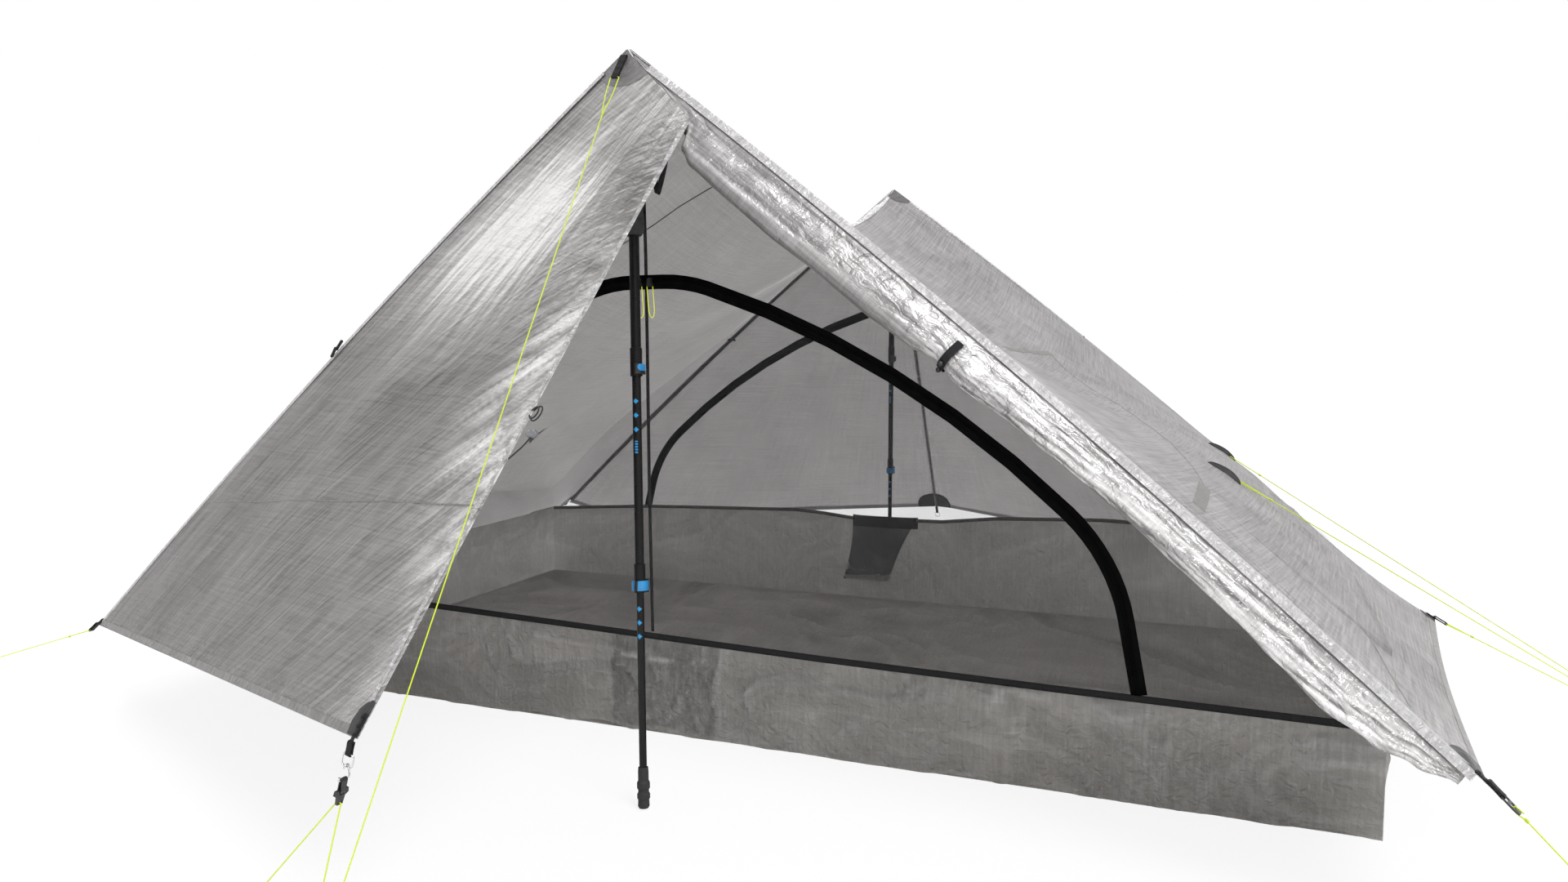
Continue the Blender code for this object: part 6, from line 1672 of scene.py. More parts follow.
def crescent(centre, reach, bend, rows=6, cols=16):
    """Shares of a crescent across a tie-out."""
    out = []
    for i in range(rows + 1):
        b = reach[1] * (2 * i / rows - 1)
        ways = [2 * j / cols - 1 for j in range(cols + 1)]
        out.append([(centre[0] + reach[0] * a,
                     centre[1] + b * (math.sqrt(max(1 - a * a, 0.0)) * 0.85 + 0.15) - bend * a * a) for a in ways])
    return out


def ridged(name, cloth, shares, height):
    """A reinforcement folded into a ridge along its middle, where a tie-out pulls the cloth outwards."""
    grid = []
    for i, row in enumerate(shares):
        b = abs(2 * i / (len(shares) - 1) - 1)
        line = []
        for j, (u, v) in enumerate(row):
            a = abs(2 * j / (len(row) - 1) - 1)
            spot, out = cloth.at(u, v)
            line.append(spot + out * (0.0009 + height * (1 - b) * math.sqrt(max(1 - a * a, 0.0))))
        grid.append(line)
    out = cloth.at(*shares[len(shares) // 2][len(shares[0]) // 2])[1]
    return put_sheet(name, grid, out, LAID, "patch", crinkle=0.2)


def ring_band(name, path, sides, outs, profile, node=()):
    """A closed band of black webbing along a closed path."""
    step = (path[1] - path[0]).length
    rings = [[p + s * a + o * b for a, b in profile] for p, s, o in zip(path, sides, outs)]
    mesh = loft(name, rings, lambda i, j: (profile[j][0], i * step), wrap=True)
    return put(name, mesh, PAINTS["webbing"], node=node)


def webbing_loop(name, origin, along, normal, length, width=WEBBING_WIDTH, slit=TAB_SLIT, node=()):
    """A loop of webbing: a long thin stadium seen edge on, softly rounded."""
    across = along.cross(normal).normalized()
    up = across.cross(along).normalized()
    half = slit / 2 + WEBBING / 2
    straight, bend = 8, 10
    path, outs = [], []
    near, far = half + WEBBING / 2, length - WEBBING / 2 - half
    for centre, other, start in ((far, near, -math.pi / 2), (near, far, math.pi / 2)):
        for i in range(bend):
            angle = start + math.pi * i / (bend - 1)
            outs.append(along * math.cos(angle) + up * math.sin(angle))
            path.append(origin + along * centre + outs[-1] * half)
        first, last = path[-1], origin + along * other + outs[-1] * half
        for i in range(1, straight):
            pinch = math.sin(math.pi * i / straight) * slit * 0.12
            path.append(first.lerp(last, i / straight) - outs[-1] * pinch)
            outs.append(outs[-1])
    w, t = width / 2, WEBBING / 2
    profile = [(-w, -t * 0.5), (-w, t * 0.5), (-w * 0.94, t), (0.0, t * 0.94), (w * 0.94, t), (w, t * 0.5),
               (w, -t * 0.5), (w * 0.94, -t), (0.0, -t * 0.94), (-w * 0.94, -t)]
    ring_band(name, path, [across] * len(path), outs, profile, node)


def bar_tack(name, origin, along, across, up, width):
    """A dense zigzag of stitching across a webbing end."""
    points = []
    for i in range(27):
        step, rise = (0.5, 0.00025) if i % 2 else (-0.5, 0.0004)
        points.append(origin + across * (width * (i / 26 - 0.5)) + along * (0.0032 * step) + up * rise)
    wire(name, points, 0.00022, PAINTS["thread"])


def tab(name, seat):
    """A webbing tab: its loop, the stitched tail on the cloth and two bar tacks."""
    spot, normal, _ = seat
    origin, along = loop_start(*seat)
    webbing_loop(name + "_loop", origin, along, normal, TAB_LENGTH, node=name + "_tab")
    across = along.cross(normal).normalized()
    base = spot + normal * (PATCH_LIFT + PATCH * 0.7)
    tail = [base + along * (TAB_START * 1.2 - 0.024 * i / 8) + normal * (0.0004 if i == 8 else 0.0010)
            for i in range(9)]
    w = WEBBING_WIDTH / 2
    profile = [(-w, -0.0009), (-w, 0.0004), (-w * 0.94, 0.0007), (w * 0.94, 0.0007), (w, 0.0004), (w, -0.0009)]
    sweep_band(name + "_tail", tail, [across] * 9, profile, PAINTS["webbing"], normal)
    for k, back in enumerate((0.004, 0.015)):
        bar_tack(name + "_tack_%d" % k, base - along * back + normal * 0.0017, along, across, normal,
                 WEBBING_WIDTH * 0.8)


def build_tabs():
    """Patches and webbing tabs of the corners, hems and tie-outs."""
    length = seam_length()
    width = 2 * CORNER_DEPTH
    for side, word in ((1, "right"), (-1, "left")):
        cloth = CLOTHS["canopy_" + word]
        for end in ("front", "back"):
            start = (end == "front") == (side > 0)
            centre = (1 - CLOTH / length, 0.0018 if start else 1 - 0.0018)
            reach = (-CORNER_PATCH / length, (1 if start else -1) * CORNER_PATCH / width)
            name = end + "_" + word + "_corner"
            lay(name + "_patch", cloth, fan(centre, reach, math.pi / 2), PATCH_LIFT, "patch")
            tab(name, corner_seat(side, end))
        reach = (-CRESCENT_WIDTH * 1.6 / length, CORNER_PATCH * 0.5 / width)
        lay(word + "_hem_patch", cloth, fan((1 - CLOTH / length, 0.5), reach, math.pi), PATCH_LIFT, "patch")
        tab(word + "_hem", hem_seat(side))
        for sign, end in ((-1, "front"), (1, "back")):
            t = 0.5 + sign * TIEOUT_SHARE * side
            shares = crescent((PULL_SHARE - 0.004, t), (CRESCENT_LENGTH / 2 / length, CRESCENT_WIDTH / 2 / width),
                              0.006)
            name = word + "_" + end + "_tieout"
            ridged(name + "_patch", cloth, shares, 0.008)
            tab(name, tieout_seat(side, sign))


def reach_share(door, across, down, reach, apex):
    """Shares (u, v) on a door in a direction from the apex, at a distance from it."""
    low, high = 0.0, 4.0
    for _ in range(30):
        middle = (low + high) / 2
        u, v = min(across * middle, 1.0), min(down * middle, 1.0)
        if (door(u, v) - apex).length < reach:
            low = middle
        else:
            high = middle
    return min(across * low, 1.0), min(down * low, 1.0)


def build_caps():
    """Caps over both peaks, and the front peak's webbing loop."""
    seam = CAP_REACH / seam_length()
    ridge = CAP_REACH / (BACK_PEAK - FRONT_PEAK).length
    for end in ("front", "back"):
        for side, word in ((1, "right"), (-1, "left")):
            start = (end == "front") == (side > 0)
            centre = (0.0011, 0.0011 if start else 1 - 0.0011)
            shares = fan(centre, (seam, ridge if start else -ridge), math.pi / 2, 10, 16)
            node = end + "_peak_cap" if side > 0 else ()
            lay(end + "_cap_" + word, CLOTHS["canopy_" + word], shares, CAP_LIFT,
                "cap" if end == "front" else "cap_back", CAP, node, 0.5)
    rays = ((0.0, 0.04), (0.03, 0.043), (0.08, 0.045), (0.14, 0.044), (0.20, 0.036), (0.25, 0.024), (0.28, 0.012),
            (0.30, 0.0))
    tips = [reach_share(front_left_door, a, b, CAP_REACH * 1.05, FRONT_PEAK) for a, b in rays]
    shares = [[(u * r / 8, 0.002 + v * r / 8) for u, v in tips] for r in range(9)]
    lay("front_cap_door", CLOTHS["front_left_door"], shares, CAP_LIFT, "cap", CAP, crinkle=0.5)
    down = CAP_REACH / drop("back").length
    for side, word in ((1, "right"), (-1, "left")):
        shares = [[(0.02 + 0.96 * i / 8, 0.02 + down * j / 6) for i in range(9)] for j in range(7)]
        lay("back_cap_door_" + word, CLOTHS["back_%s_door" % word], shares, CAP_LIFT, "cap_back", CAP,
            crinkle=0.5)
    origin, aim = peak_loop_origin()
    webbing_loop("front_peak_webbing", origin, aim, aim.cross(ALONG), PEAK_LOOP_LENGTH, node="front_peak_loop")


def fold_strip(name, stations, wide, lift, thickness, paint, slot="fly_cloth", crinkle=1.0, **marks):
    """A strip folded over a seam; stations are (point, way one, normal one, way two, normal two)."""
    top = lift + math.copysign(thickness, lift)
    shares = (1.0, 0.5, 0.16, 0.07)
    grid = []
    for spot, a, n_a, b, n_b in stations:
        row = [spot + a * (wide[0] * k) + n_a * top for k in shares]
        row.append(spot + (n_a + n_b).normalized() * (top * 1.02))
        grid.append(row + [spot + b * (wide[1] * k) + n_b * top for k in shares[::-1]])
    middle = stations[len(stations) // 2]
    put_sheet(name, grid, (middle[2] + middle[4]) * math.copysign(1, lift), thickness, paint, slot=slot,
              crinkle=crinkle, **marks)


def square_to(way, line, normal):
    """A direction made square to a line and lying in the cloth of a normal."""
    return flattened(way - line * way.dot(line), normal)


def ways_from(inner, line):
    """The way into a panel from a line on it, and the panel's upward normal there."""
    n = inner.normalized().cross(line)
    n = n.normalized() if n.z > 0 else -n.normalized()
    return square_to(inner, line, n), n


def build_seams():
    """Folded seams outside and tapes inside, along the four seams, the ridge and the back zip."""
    for side, word in ((1, "right"), (-1, "left")):
        for end in ("front", "back"):
            rolled = (side, end) == (1, "front")
            stations = []
            for i in range(121):
                s = 0.035 + 0.955 * i / 120
                spot = seam_point(side, end, s)
                line = (seam_point(side, end, s + 0.005) - seam_point(side, end, s - 0.005)).normalized()
                inner = panel_point(side, s, 0.02 if end == "front" else 0.98) - spot
                out = door_out(side, end)
                stations.append((spot, *ways_from(inner, line), square_to(door_down(side, end), line, out), out))
            name = end + "_" + word + "_seam_"
            # The outer fold strips use fly_seam, a lighter copy of the laminate, and a little shine: painted
            # highlights.
            fold_strip(name + "fold", stations, (0.010, 0.013 if rolled else 0.011), FOLD_LIFT, BAND, "fly_seam",
                       crinkle=0.6 if rolled else 1.0, shine=0.1)
            fold_strip(name + "tape", stations, (0.009, 0.010), SEAM_LINING, TAPE, "tape", crinkle=0.3)
    stations = []
    for i in range(111):
        t = 0.04 + 0.92 * i / 110
        spot = panel_point(1, 0.0, t)
        line = (panel_point(1, 0.0, t + 0.005) - panel_point(1, 0.0, t - 0.005)).normalized()
        stations.append((spot, *ways_from(panel_point(1, 0.02, t) - spot, line),
                         *ways_from(panel_point(-1, 0.02, t) - spot, line)))
    # The ridge fold and the back zip flap also use the lighter fly_seam copy, a painted highlight; the ridge fold
    # adds shine.
    fold_strip("ridge_fold", stations, (0.008, 0.008), FOLD_LIFT, BAND, "fly_seam", shine=0.2)
    fold_strip("ridge_tape", stations, (0.008, 0.008), SEAM_LINING, TAPE, "tape", crinkle=0.3)
    down = drop("back").normalized()
    ways = []
    for side in (1, -1):
        out = door_out(side, "back")
        ways += [square_to(-door_down(side, "back"), down, out), out]
    stations = [(BACK_PEAK.lerp(BACK_TOE, 0.05 + 0.935 * i / 90), *ways) for i in range(91)]
    fold_strip("back_zip_flap", stations, (0.006, 0.006), CAP_LIFT, LAID, "fly_seam")
    fold_strip("back_zip_tape", stations, (0.004, 0.004), SEAM_LINING, TAPE, "tape_pale", slot="zip_tape")


def build_bands():
    """Hems, the bonded seams of the right panel and the closed door, and a thin dark line inside the left panel."""
    length = seam_length()
    right, left, door = CLOTHS["canopy_right"], CLOTHS["canopy_left"], CLOTHS["front_left_door"]
    hem = 1 - 0.008 / length
    for word, cloth in (("right", right), ("left", left)):
        lay_band(word + "_hem_band", cloth, line_of((hem, 0.006), (hem, 0.994), 120), 0.0065, "hem", crinkle=0.3)
    for k, (a, b, half) in enumerate((((0.330, 0.60), (0.386, 0.741), 0.010), ((0.386, 0.741), (0.676, 0.17), 0.0012),
                                      ((0.676, 0.17), (0.700, 0.06), 0.011), ((0.88, 0.158), (0.93, 0.02), 0.0012))):
        lay_band("right_panel_seam_%d" % k, right, line_of(a, b, 60), half, "tape_pale" if half > 0.005 else "hem",
                 crinkle=0.2)
    # A thin dark line inside the left panel, laid as a narrow dark tape.
    spots = ((0.010, 0.755), (0.027, 0.763), (0.067, 0.776), (0.107, 0.783), (0.154, 0.796), (0.20, 0.80))
    lay_band("left_panel_dark_line", left, [spot for a, b in zip(spots, spots[1:]) for spot in line_of(a, b, 10)[:-1]],
             0.0016, "tape", LINING, 0.2)
    low = 1 - 0.007 / drop("front").length
    # The door's edge band uses fly_edge, a lighter copy of the laminate: a painted highlight along the free edge.
    for name, shares, half, paint, crinkle in (
            ("hem", line_of((0.003, low), (0.993, low), 120), 0.0058, "hem_door", 0.4),
            ("edge", line_of((0.9935, 0.012), (0.991, 0.99), 130), 0.0042, "fly_edge", 1.0),
            ("seam", line_of((0.02, 0.755), (0.98, 0.685), 60), 0.0012, "hem_door", 0.3)):
        lay_band("front_door_" + name, door, shares, half, paint, crinkle=crinkle)
    low = 1 - 0.008 / drop("back").length
    for word in ("right", "left"):
        lay_band("back_%s_door_hem" % word, CLOTHS["back_%s_door" % word], line_of((0.004, low), (0.996, low), 80),
                 0.0065, "hem")


def build_toes():
    """Toe patches, webbing and rings of both ends, and the front toe's hook."""
    length = drop("front").length
    wide = (FRONT_TOE - corner(-1, "front")).length
    door = CLOTHS["front_left_door"]
    u, v = 1 - 0.001, 1 - CLOTH / length
    outline = ((0.0, 0.0), (0.012, 0.0), (0.030, 0.0), (0.034, 0.018), (0.030, 0.036), (0.020, 0.046), (0.008, 0.052),
               (0.0, 0.050))
    shares = [[(u - (0.012 + (a - 0.012) * r) / wide, v - (0.020 + (b - 0.020) * r) / length)
               for a, b in outline + outline[:1]] for r in (0.02, 0.25, 0.5, 0.75, 1.0)]
    lay("front_toe_patch", door, shares, PATCH_LIFT, "patch")
    place = toe_place()
    turn = place.to_3x3()
    webbing_loop("front_toe_loop", place.translation, turn @ UP, turn @ BACKWARD, TAB_LENGTH * 0.8, TOE_WEBBING,
                 TOE_SLIT, node="front_door_toe_patch")
    run, out, spot = toe_seat()
    toe_tail("front_toe", spot, run, out)
    ring_top = toe_ring_top()
    ring = [place @ (point + UP * ring_top) for point in ring_shape()]
    wire("front_toe_ring_wire", ring, RING_WIRE, PAINTS["steel"], "front_toe_ring", True, 5)
    low = ring_top + RING_LENGTH * 2 + HOOK_RADIUS - RING_WIRE * 2 - GAP
    hook = [(HOOK_RADIUS * math.cos(math.pi * i / 16), low - HOOK_RADIUS * math.sin(math.pi * i / 16))
            for i in range(17)]
    foot = low + HOOK_DROP
    bend = [(-HOOK_RADIUS, low + HOOK_RADIUS * 0.5), (-HOOK_BAR, foot - HOOK_RADIUS), (-HOOK_BAR, foot - RING_WIRE),
            (-HOOK_BAR + RING_WIRE, foot), (HOOK_BAR - RING_WIRE, foot), (HOOK_BAR, foot - RING_WIRE),
            (HOOK_BAR, foot - HOOK_RADIUS * 1.3)]
    wire("front_toe_hook_wire", [place @ Vector((0.0, y, z)) for y, z in hook + bend], RING_WIRE, PAINTS["steel"],
         "front_toe_hook", sides=5)
    length = drop("back").length
    wide = (BACK_TOE - corner(1, "back")).length
    for side, word in ((1, "right"), (-1, "left")):
        cloth = CLOTHS["back_%s_door" % word]
        edge = 0.002 if side > 0 else 0.998
        shares = [[(edge + side * a * r / 5 / wide, 1 - CLOTH / length - b / length)
                   for a, b in ((0.058, 0.0), (0.060, 0.020), (0.052, 0.038), (0.036, 0.049), (0.018, 0.054),
                                (0.002, 0.055))] for r in range(6)]
        for kind, lift in (("patch_", PATCH_LIFT), ("facing_", LINING)):
            lay("back_toe_" + kind + word, cloth, shares, lift, "patch")
    down = drop("back").normalized()
    normal = (door_out(1, "back") + door_out(-1, "back")).normalized()
    toe_tail("back_toe", BACK_TOE, down, normal)
    start = BACK_TOE + down * TAB_START + normal * (PATCH_LIFT + WEBBING / 2)
    webbing_loop("back_toe_loop", start, down, normal, TAB_LENGTH, TOE_WEBBING, TOE_SLIT, node="back_door_toe_patch")
    place = placing(start + down * (TAB_LENGTH - WEBBING), down, ALONG)
    wire("back_toe_ring", [place @ point for point in ring_shape()], RING_WIRE, PAINTS["steel"], (), True, 5)


def toe_tail(name, spot, run, out):
    """The webbing stitched on a toe's patch, with its tacks."""
    inside, beyond = TOE_PATCH * 0.6, TAB_START * 1.5
    low = PATCH_LIFT + GAP + PATCH / 2
    across = run.cross(out).normalized()
    line = [spot + run * ((inside + beyond) * i / 12 - inside) + out * (low + WEBBING / 2) for i in range(13)]
    w, t = TOE_WEBBING / 2, WEBBING / 2
    profile = [(-w, -t), (-w, t * 0.6), (-w * 0.9, t), (w * 0.9, t), (w, t * 0.6), (w, -t)]
    sweep_band(name + "_tail", line, [across] * 13, profile, PAINTS["webbing"], out)
    for k, back in enumerate((0.004, 0.014, 0.026)):
        bar_tack(name + "_tack_%d" % k, spot - run * back + out * (low + WEBBING), run, across, out,
                 TOE_WEBBING * 0.8)


def build_ties():
    """The closed door's loop and toggle, and small straps on the left seam."""
    edge = front_left_door(1.0, TIE_LOOP_SHARE)
    run = (FRONT_TOE - hood_tip()).normalized()
    out = door_out(-1, "front")
    aside = run.cross(out).normalized()
    aside = aside if aside.x > 0 else -aside
    for k, (scale, lift) in enumerate(((1.3, 0.0), (1.05, 0.0030))):
        points = []
        for i in range(29):
            angle = math.radians(205 + 310 * i / 28)
            a, b = math.cos(angle) * scale, math.sin(angle) * scale * (1 + 0.12 * math.cos(angle))
            points.append(edge + aside * (TIE_LOOP * (0.87 * scale + a) + TIE_CORD + GAP) + run * (TIE_LOOP * b)
                          - out * (CLOTH / 2 - lift))
        wire("door_tie_cord_%d" % k, points, TIE_CORD, PAINTS["black_cord"], "door_tie_loop" if k == 0 else ())
    lower = front_left_door(1.0, TIE_TOGGLE_SHARE)
    centre = lower + aside * TIE_TOGGLE_OUT - out * (TIE_LOOP * 0.5)
    half = TIE_TOGGLE_LENGTH / 2
    profile = []
    for i in range(25):
        angle = math.pi * i / 24
        waist = 1 - 0.16 * math.exp(-((math.cos(angle) / 0.22) ** 2))
        profile.append((TIE_TOGGLE_RADIUS * math.sin(angle) * waist, half * math.cos(angle)))
    turned("door_toggle", profile, placing(centre, aside, UP), PAINTS["clear"], "door_tie_toggle")
    foot = front_left_door(1.0, TIE_CORD_SHARE)
    cord = [centre - UP * (TIE_TOGGLE_RADIUS / 2), centre.lerp(foot, 0.5) + aside * TIE_CORD * 3 - out * TIE_CORD * 2,
            foot + aside * (TIE_CORD + GAP) - out * (CLOTH / 2)]
    wire("door_toggle_cord", smoothed(cord, 8), TIE_CORD, PAINTS["black_cord"], ())
    seam = [seam_point(-1, "front", 0.462 + 0.006 * k) for k in range(3)]
    normal = door_out(-1, "front")
    for k, spot in enumerate(seam[::2]):
        aim = Vector((-0.35 + 0.5 * k, -0.2, -1.0)).normalized()
        webbing_loop("left_seam_tie_%d" % k, spot + normal * 0.004 + Vector((-0.006, 0, 0)),
                     flattened(aim, normal), normal, 0.022, 0.005, 0.0016)


def build_back_toggles():
    """Small bow-tie toggles that hold the back doors when rolled, one at each back seam."""
    for side, word in ((1, "right"), (-1, "left")):
        spot = seam_point(side, "back", 0.44) - UP * 0.012 - BACKWARD * 0.012
        profile = []
        for i in range(21):
            z = 0.013 * (1 - i / 10)
            profile.append((0.0012 + 0.0030 * (abs(z) / 0.013) ** 1.4, z))
        profile = [(0.0, 0.013)] + profile + [(0.0, -0.013)]
        turned("back_%s_toggle" % word, profile, placing(spot, Vector((1, 0.2, 0.15 * side)), UP), PAINTS["plastic"])
        wire("back_%s_toggle_cord" % word, [spot, spot + UP * 0.008 + BACKWARD * 0.005,
                                            spot + UP * 0.0125 + BACKWARD * 0.0100], 0.0009, PAINTS["black_cord"])


def turned(name, profile, place, paint, node=()):
    """A body of revolution about a placing's Z."""
    angles = [2 * math.pi * k / ROUND_SIDES for k in range(ROUND_SIDES)]
    rings = [[place @ Vector((max(r, 1e-5) * math.cos(a), max(r, 1e-5) * math.sin(a), z)) for a in angles]
             for r, z in profile]
    return put(name, loft(name, rings), paint, node=node)


def build_strap_band():
    """The strap around the rolled door, on the roll's own surface, and its toggle."""
    rings = []
    length = seam_length()
    half = STRAP_WIDTH / 2 / length
    for s in [STRAP_SHARE + half * k / 3 for k in range(-3, 4)]:
        origin, down, inward = roll_place(s)
        line = dense_line(strap_ring(s, STRAP_CLEARANCE + STRAP_THICKNESS), 60)
        rings.append([origin + down * p.x + inward * (p.y + ROLL_SET_IN) for p in line])
    mesh = sheet_mesh("roll_strap", np.array(rings), (0, -1, -1), STRAP_THICKNESS)
    put("roll_strap", mesh, PAINTS["webbing"], node="rolled_door_strap")
    origin, down, inward = roll_place(STRAP_SHARE)
    low = max(p.x for p in strap_ring(STRAP_SHARE, STRAP_CLEARANCE + STRAP_THICKNESS))
    depth = ROLL_RADIUS * section_at(STRAP_SHARE)[2]
    centre = origin + down * (low + TOGGLE_RADIUS * 0.6) + inward * depth
    profile = []
    for i in range(21):
        z = TOGGLE_LENGTH * (0.5 - i / 20)
        edge = 1 - (abs(z) / (TOGGLE_LENGTH / 2)) ** 8 * 0.35
        profile.append((TOGGLE_RADIUS * (0.62 + 0.38 * min(abs(z) / (TOGGLE_LENGTH * 0.3), 1) ** 2) * edge, z))
    profile = [(0.0, TOGGLE_LENGTH / 2)] + profile + [(0.0, -TOGGLE_LENGTH / 2)]
    turned("roll_toggle", profile, placing(centre, inward, down), PAINTS["plastic"])


def dense_line(points, count):
    """A line of evenly spaced points along a path."""
    run = running(points)
    out = []
    for i in range(count + 1):
        want = run[-1] * i / count
        k = max(m for m in range(len(run) - 1) if run[m] <= want + 1e-12)
        t = (want - run[k]) / max(run[k + 1] - run[k], 1e-9)
        out.append(points[k].lerp(points[k + 1], min(t, 1.0)))
    return out


# Poles, sliders and small hardware

def build_hardware():
    """Materials of the CAD nodes that are shown as they are."""
    for end, printed in (("front", "carbon_mid"), ("back", "carbon_back")):
        for part, paint in (("upper_shaft", "carbon"), ("middle_shaft", printed), ("lower_shaft", printed),
                            ("upper_lever", "lever_knob"), ("lower_lever", "lever"), ("tip", "rubber"),
                            ("grip", "foam")):
            finish_node("%s_pole_%s" % (end, part), paint)
    for name, paint in (("front_zip_slider_left", "slider"), ("front_zip_slider_right", "slider"),
                        ("front_right_line_lock", "plastic"), ("front_toe_line_lock", "plastic")):
        finish_node(name, paint)


def build_wrist_strap():
    """The front pole's strap, folded beside the grip."""
    place = placing(FRONT_TIP, FRONT_PEAK - FRONT_TIP, ALONG)
    turn = place.to_3x3()
    path = []
    for i in range(48):
        t = 2 * math.pi * i / 48
        path.append(Vector((0.055 + 0.0085 * math.cos(t) + 0.006 * math.sin(t), 0.004 * math.sin(2 * t),
                            1.038 + 0.045 * math.sin(t))))
    ways = [(path[(i + 1) % 48] - path[i - 1]).normalized() for i in range(48)]
    outs = [turn @ ahead.cross(BACKWARD).normalized() for ahead in ways]
    w, t = 0.007, 0.0008
    profile = [(-w, -t), (-w, t), (0.0, t * 1.2), (w, t), (w, -t), (0.0, -t * 1.2)]
    ring_band("front_pole_wrist_strap", [place @ p for p in path], [turn @ BACKWARD] * 48, outs, profile)


# Materials

def carbon_paint(name, marks, axis=(0.0, 0.0)):
    """Woven carbon under clear lacquer; marks are (height, half height) of blue prints facing the front."""
    p = Paint(name)
    spot = p.spot()
    z = p.part(spot, "Z")
    aside = abs(p.part(spot, "X") - (z * axis[1] + axis[0]))
    weave = p.add("TexChecker", Vector=p.mapped(spot, (1, 1, 1), 0.785), Scale=420.0, Color1=rgb(30, 29, 28),
                  Color2=rgb(9, 9, 10))
    cloud = p.noise(spot, 80.0, 3.0)
    tint = p.mix(p.ramp(cloud, 0.3, 0.7, 0.0, 0.5), weave, rgb(14, 14, 15))
    for height, half in marks:
        near = abs(z - height)
        if half < 0.008:
            mark = p.ramp(near * (1 / half) + aside * (1 / 0.0042), 1.05, 0.95)
        else:
            mark = p.ramp(near, half, half * 0.96) * p.ramp(aside, 0.0026, 0.0022)
            mark = mark * p.ramp(p.wave(spot, "Z", 70.0), 0.25, 0.45)
        tint = p.mix(mark, tint, rgb(52, 140, 196))
    return p.finish(tint, p.ramp(cloud, 0.3, 0.7, 0.25, 0.4), Specular_IOR_Level=0.16, Coat_Weight=0.06,
                    Coat_Roughness=0.15)


def lever_paint(name, knob):
    """Cam lever: black with a blue band, or with a round blue knob; knob is (x, z of its middle, round)."""
    p = Paint(name)
    spot = p.spot()
    aside = p.part(spot, "X") - knob[0]
    marks = p.noise(spot, 60.0, 4.0, 0.7)
    blue = p.mix(p.ramp(marks, 0.35, 0.75), rgb(22, 112, 168), rgb(34, 138, 196))
    if knob[2]:
        rise = p.part(spot, "Z") - knob[1]
        share = p.ramp(p.math("SQRT", aside * aside + rise * rise), 0.0072, 0.0066)
    else:
        share = p.ramp(abs(aside), 0.0026, 0.0032)
    return p.finish(p.mix(share, rgb(16, 16, 18), blue), p.ramp(marks, 0.3, 0.7, 0.3, 0.42), Coat_Weight=0.2,
                    Coat_Roughness=0.15)


def foam_paint(name):
    """Ribbed foam grip."""
    p = Paint(name)
    spot = p.spot()
    cloud = p.noise(spot, 90.0, 4.0)
    cell = p.bump(p.add("TexVoronoi", out="Distance", Vector=spot, Scale=700.0), 0.0006, 0.6)
    ribs = p.bump(p.ramp(p.wave(spot, "Z", 42.0), 0.0, 0.25), 0.0012, 0.6, Normal=cell)
    tint = p.mix(p.ramp(cloud, 0.3, 0.7), rgb(36, 36, 38), rgb(58, 57, 58))
    return p.finish(tint, p.ramp(cloud, 0.3, 0.7, 0.7, 0.9), Normal=ribs)


def slider_paint(name):
    """Black slider body above, fluorescent pull loop below, with a painted glow."""
    p = Paint(name)
    spot = p.spot()
    share = p.ramp(p.part(spot, "Z"), ARCH_HEIGHT - 0.0085, ARCH_HEIGHT - 0.0078)
    braid = p.wave(spot, "DIAGONAL", 420.0, 2.0)
    tint = p.mix(share, p.mix(braid, rgb(196, 208, 40), rgb(228, 236, 70)), rgb(24, 24, 26))
    # Painted glow: the slider emits its own colour.
    return p.finish(tint, p.ramp(share, 0.0, 1.0, 0.55, 0.3), Normal=p.bump(braid, 0.0002, 0.4), Emission_Color=tint,
                    Emission_Strength=0.5)


def cad_webbing(name, tone):
    """Braided black cord."""
    p = Paint(name)
    weave = p.wave(p.spot(), "DIAGONAL", 300.0)
    return p.finish(p.mix(weave, scaled(tone, 0.6), tone), 0.6, Normal=p.bump(weave, 0.0003, 0.5))


def clear_paint(name):
    """Cloudy clear plastic."""
    p = Paint(name)
    cloud = p.noise(p.spot(), 120.0, 3.0)
    tint = p.mix(p.ramp(cloud, 0.3, 0.7), rgb(112, 113, 117), rgb(150, 151, 156))
    return p.finish(tint, p.ramp(cloud, 0.3, 0.7, 0.12, 0.3), Transmission_Weight=0.35, IOR=1.45)


def zip_paint(name, tone):
    """Coated zip tape with its coil's teeth down the middle."""
    p = Paint(name)
    uv = p.uv()
    near = p.ramp(abs(p.part(uv, "X")), 0.0032, 0.0028)
    height = p.wave(uv, "Y", 190.0) * near + p.wave(uv, "X", 420.0) * 0.15
    cloud = p.noise(uv, 60.0, 4.0)
    tint = p.mix(p.ramp(cloud, 0.3, 0.7), tone, scaled(tone, 1.7, 0.001))
    return p.finish(tint, p.ramp(cloud, 0.3, 0.7, 0.3, 0.5), Normal=p.bump(height, 0.0005, 0.8),
                    Specular_IOR_Level=0.03)


def dark_patch(name, tone, rough=0.38):
    """Reinforcement laminate: dark, a little glossy, with fibres."""
    p = Paint(name)
    uv = p.uv()
    fibre = p.noise(p.mapped(uv, (900, 40, 1), 0.5), 1.0)
    cloud = p.noise(uv, 60.0, 4.0, 0.6)
    tint = p.mix(p.ramp(fibre + cloud, 0.7, 1.4), tone, scaled(tone, 2.2, 0.01))
    normal = p.bump(cloud, 0.003, 0.5, Normal=p.bump(fibre, 0.0003, 0.5))
    return p.finish(tint, p.ramp(cloud, 0.3, 0.7, rough * 0.8, rough * 1.3), Normal=normal, Specular_IOR_Level=0.15)


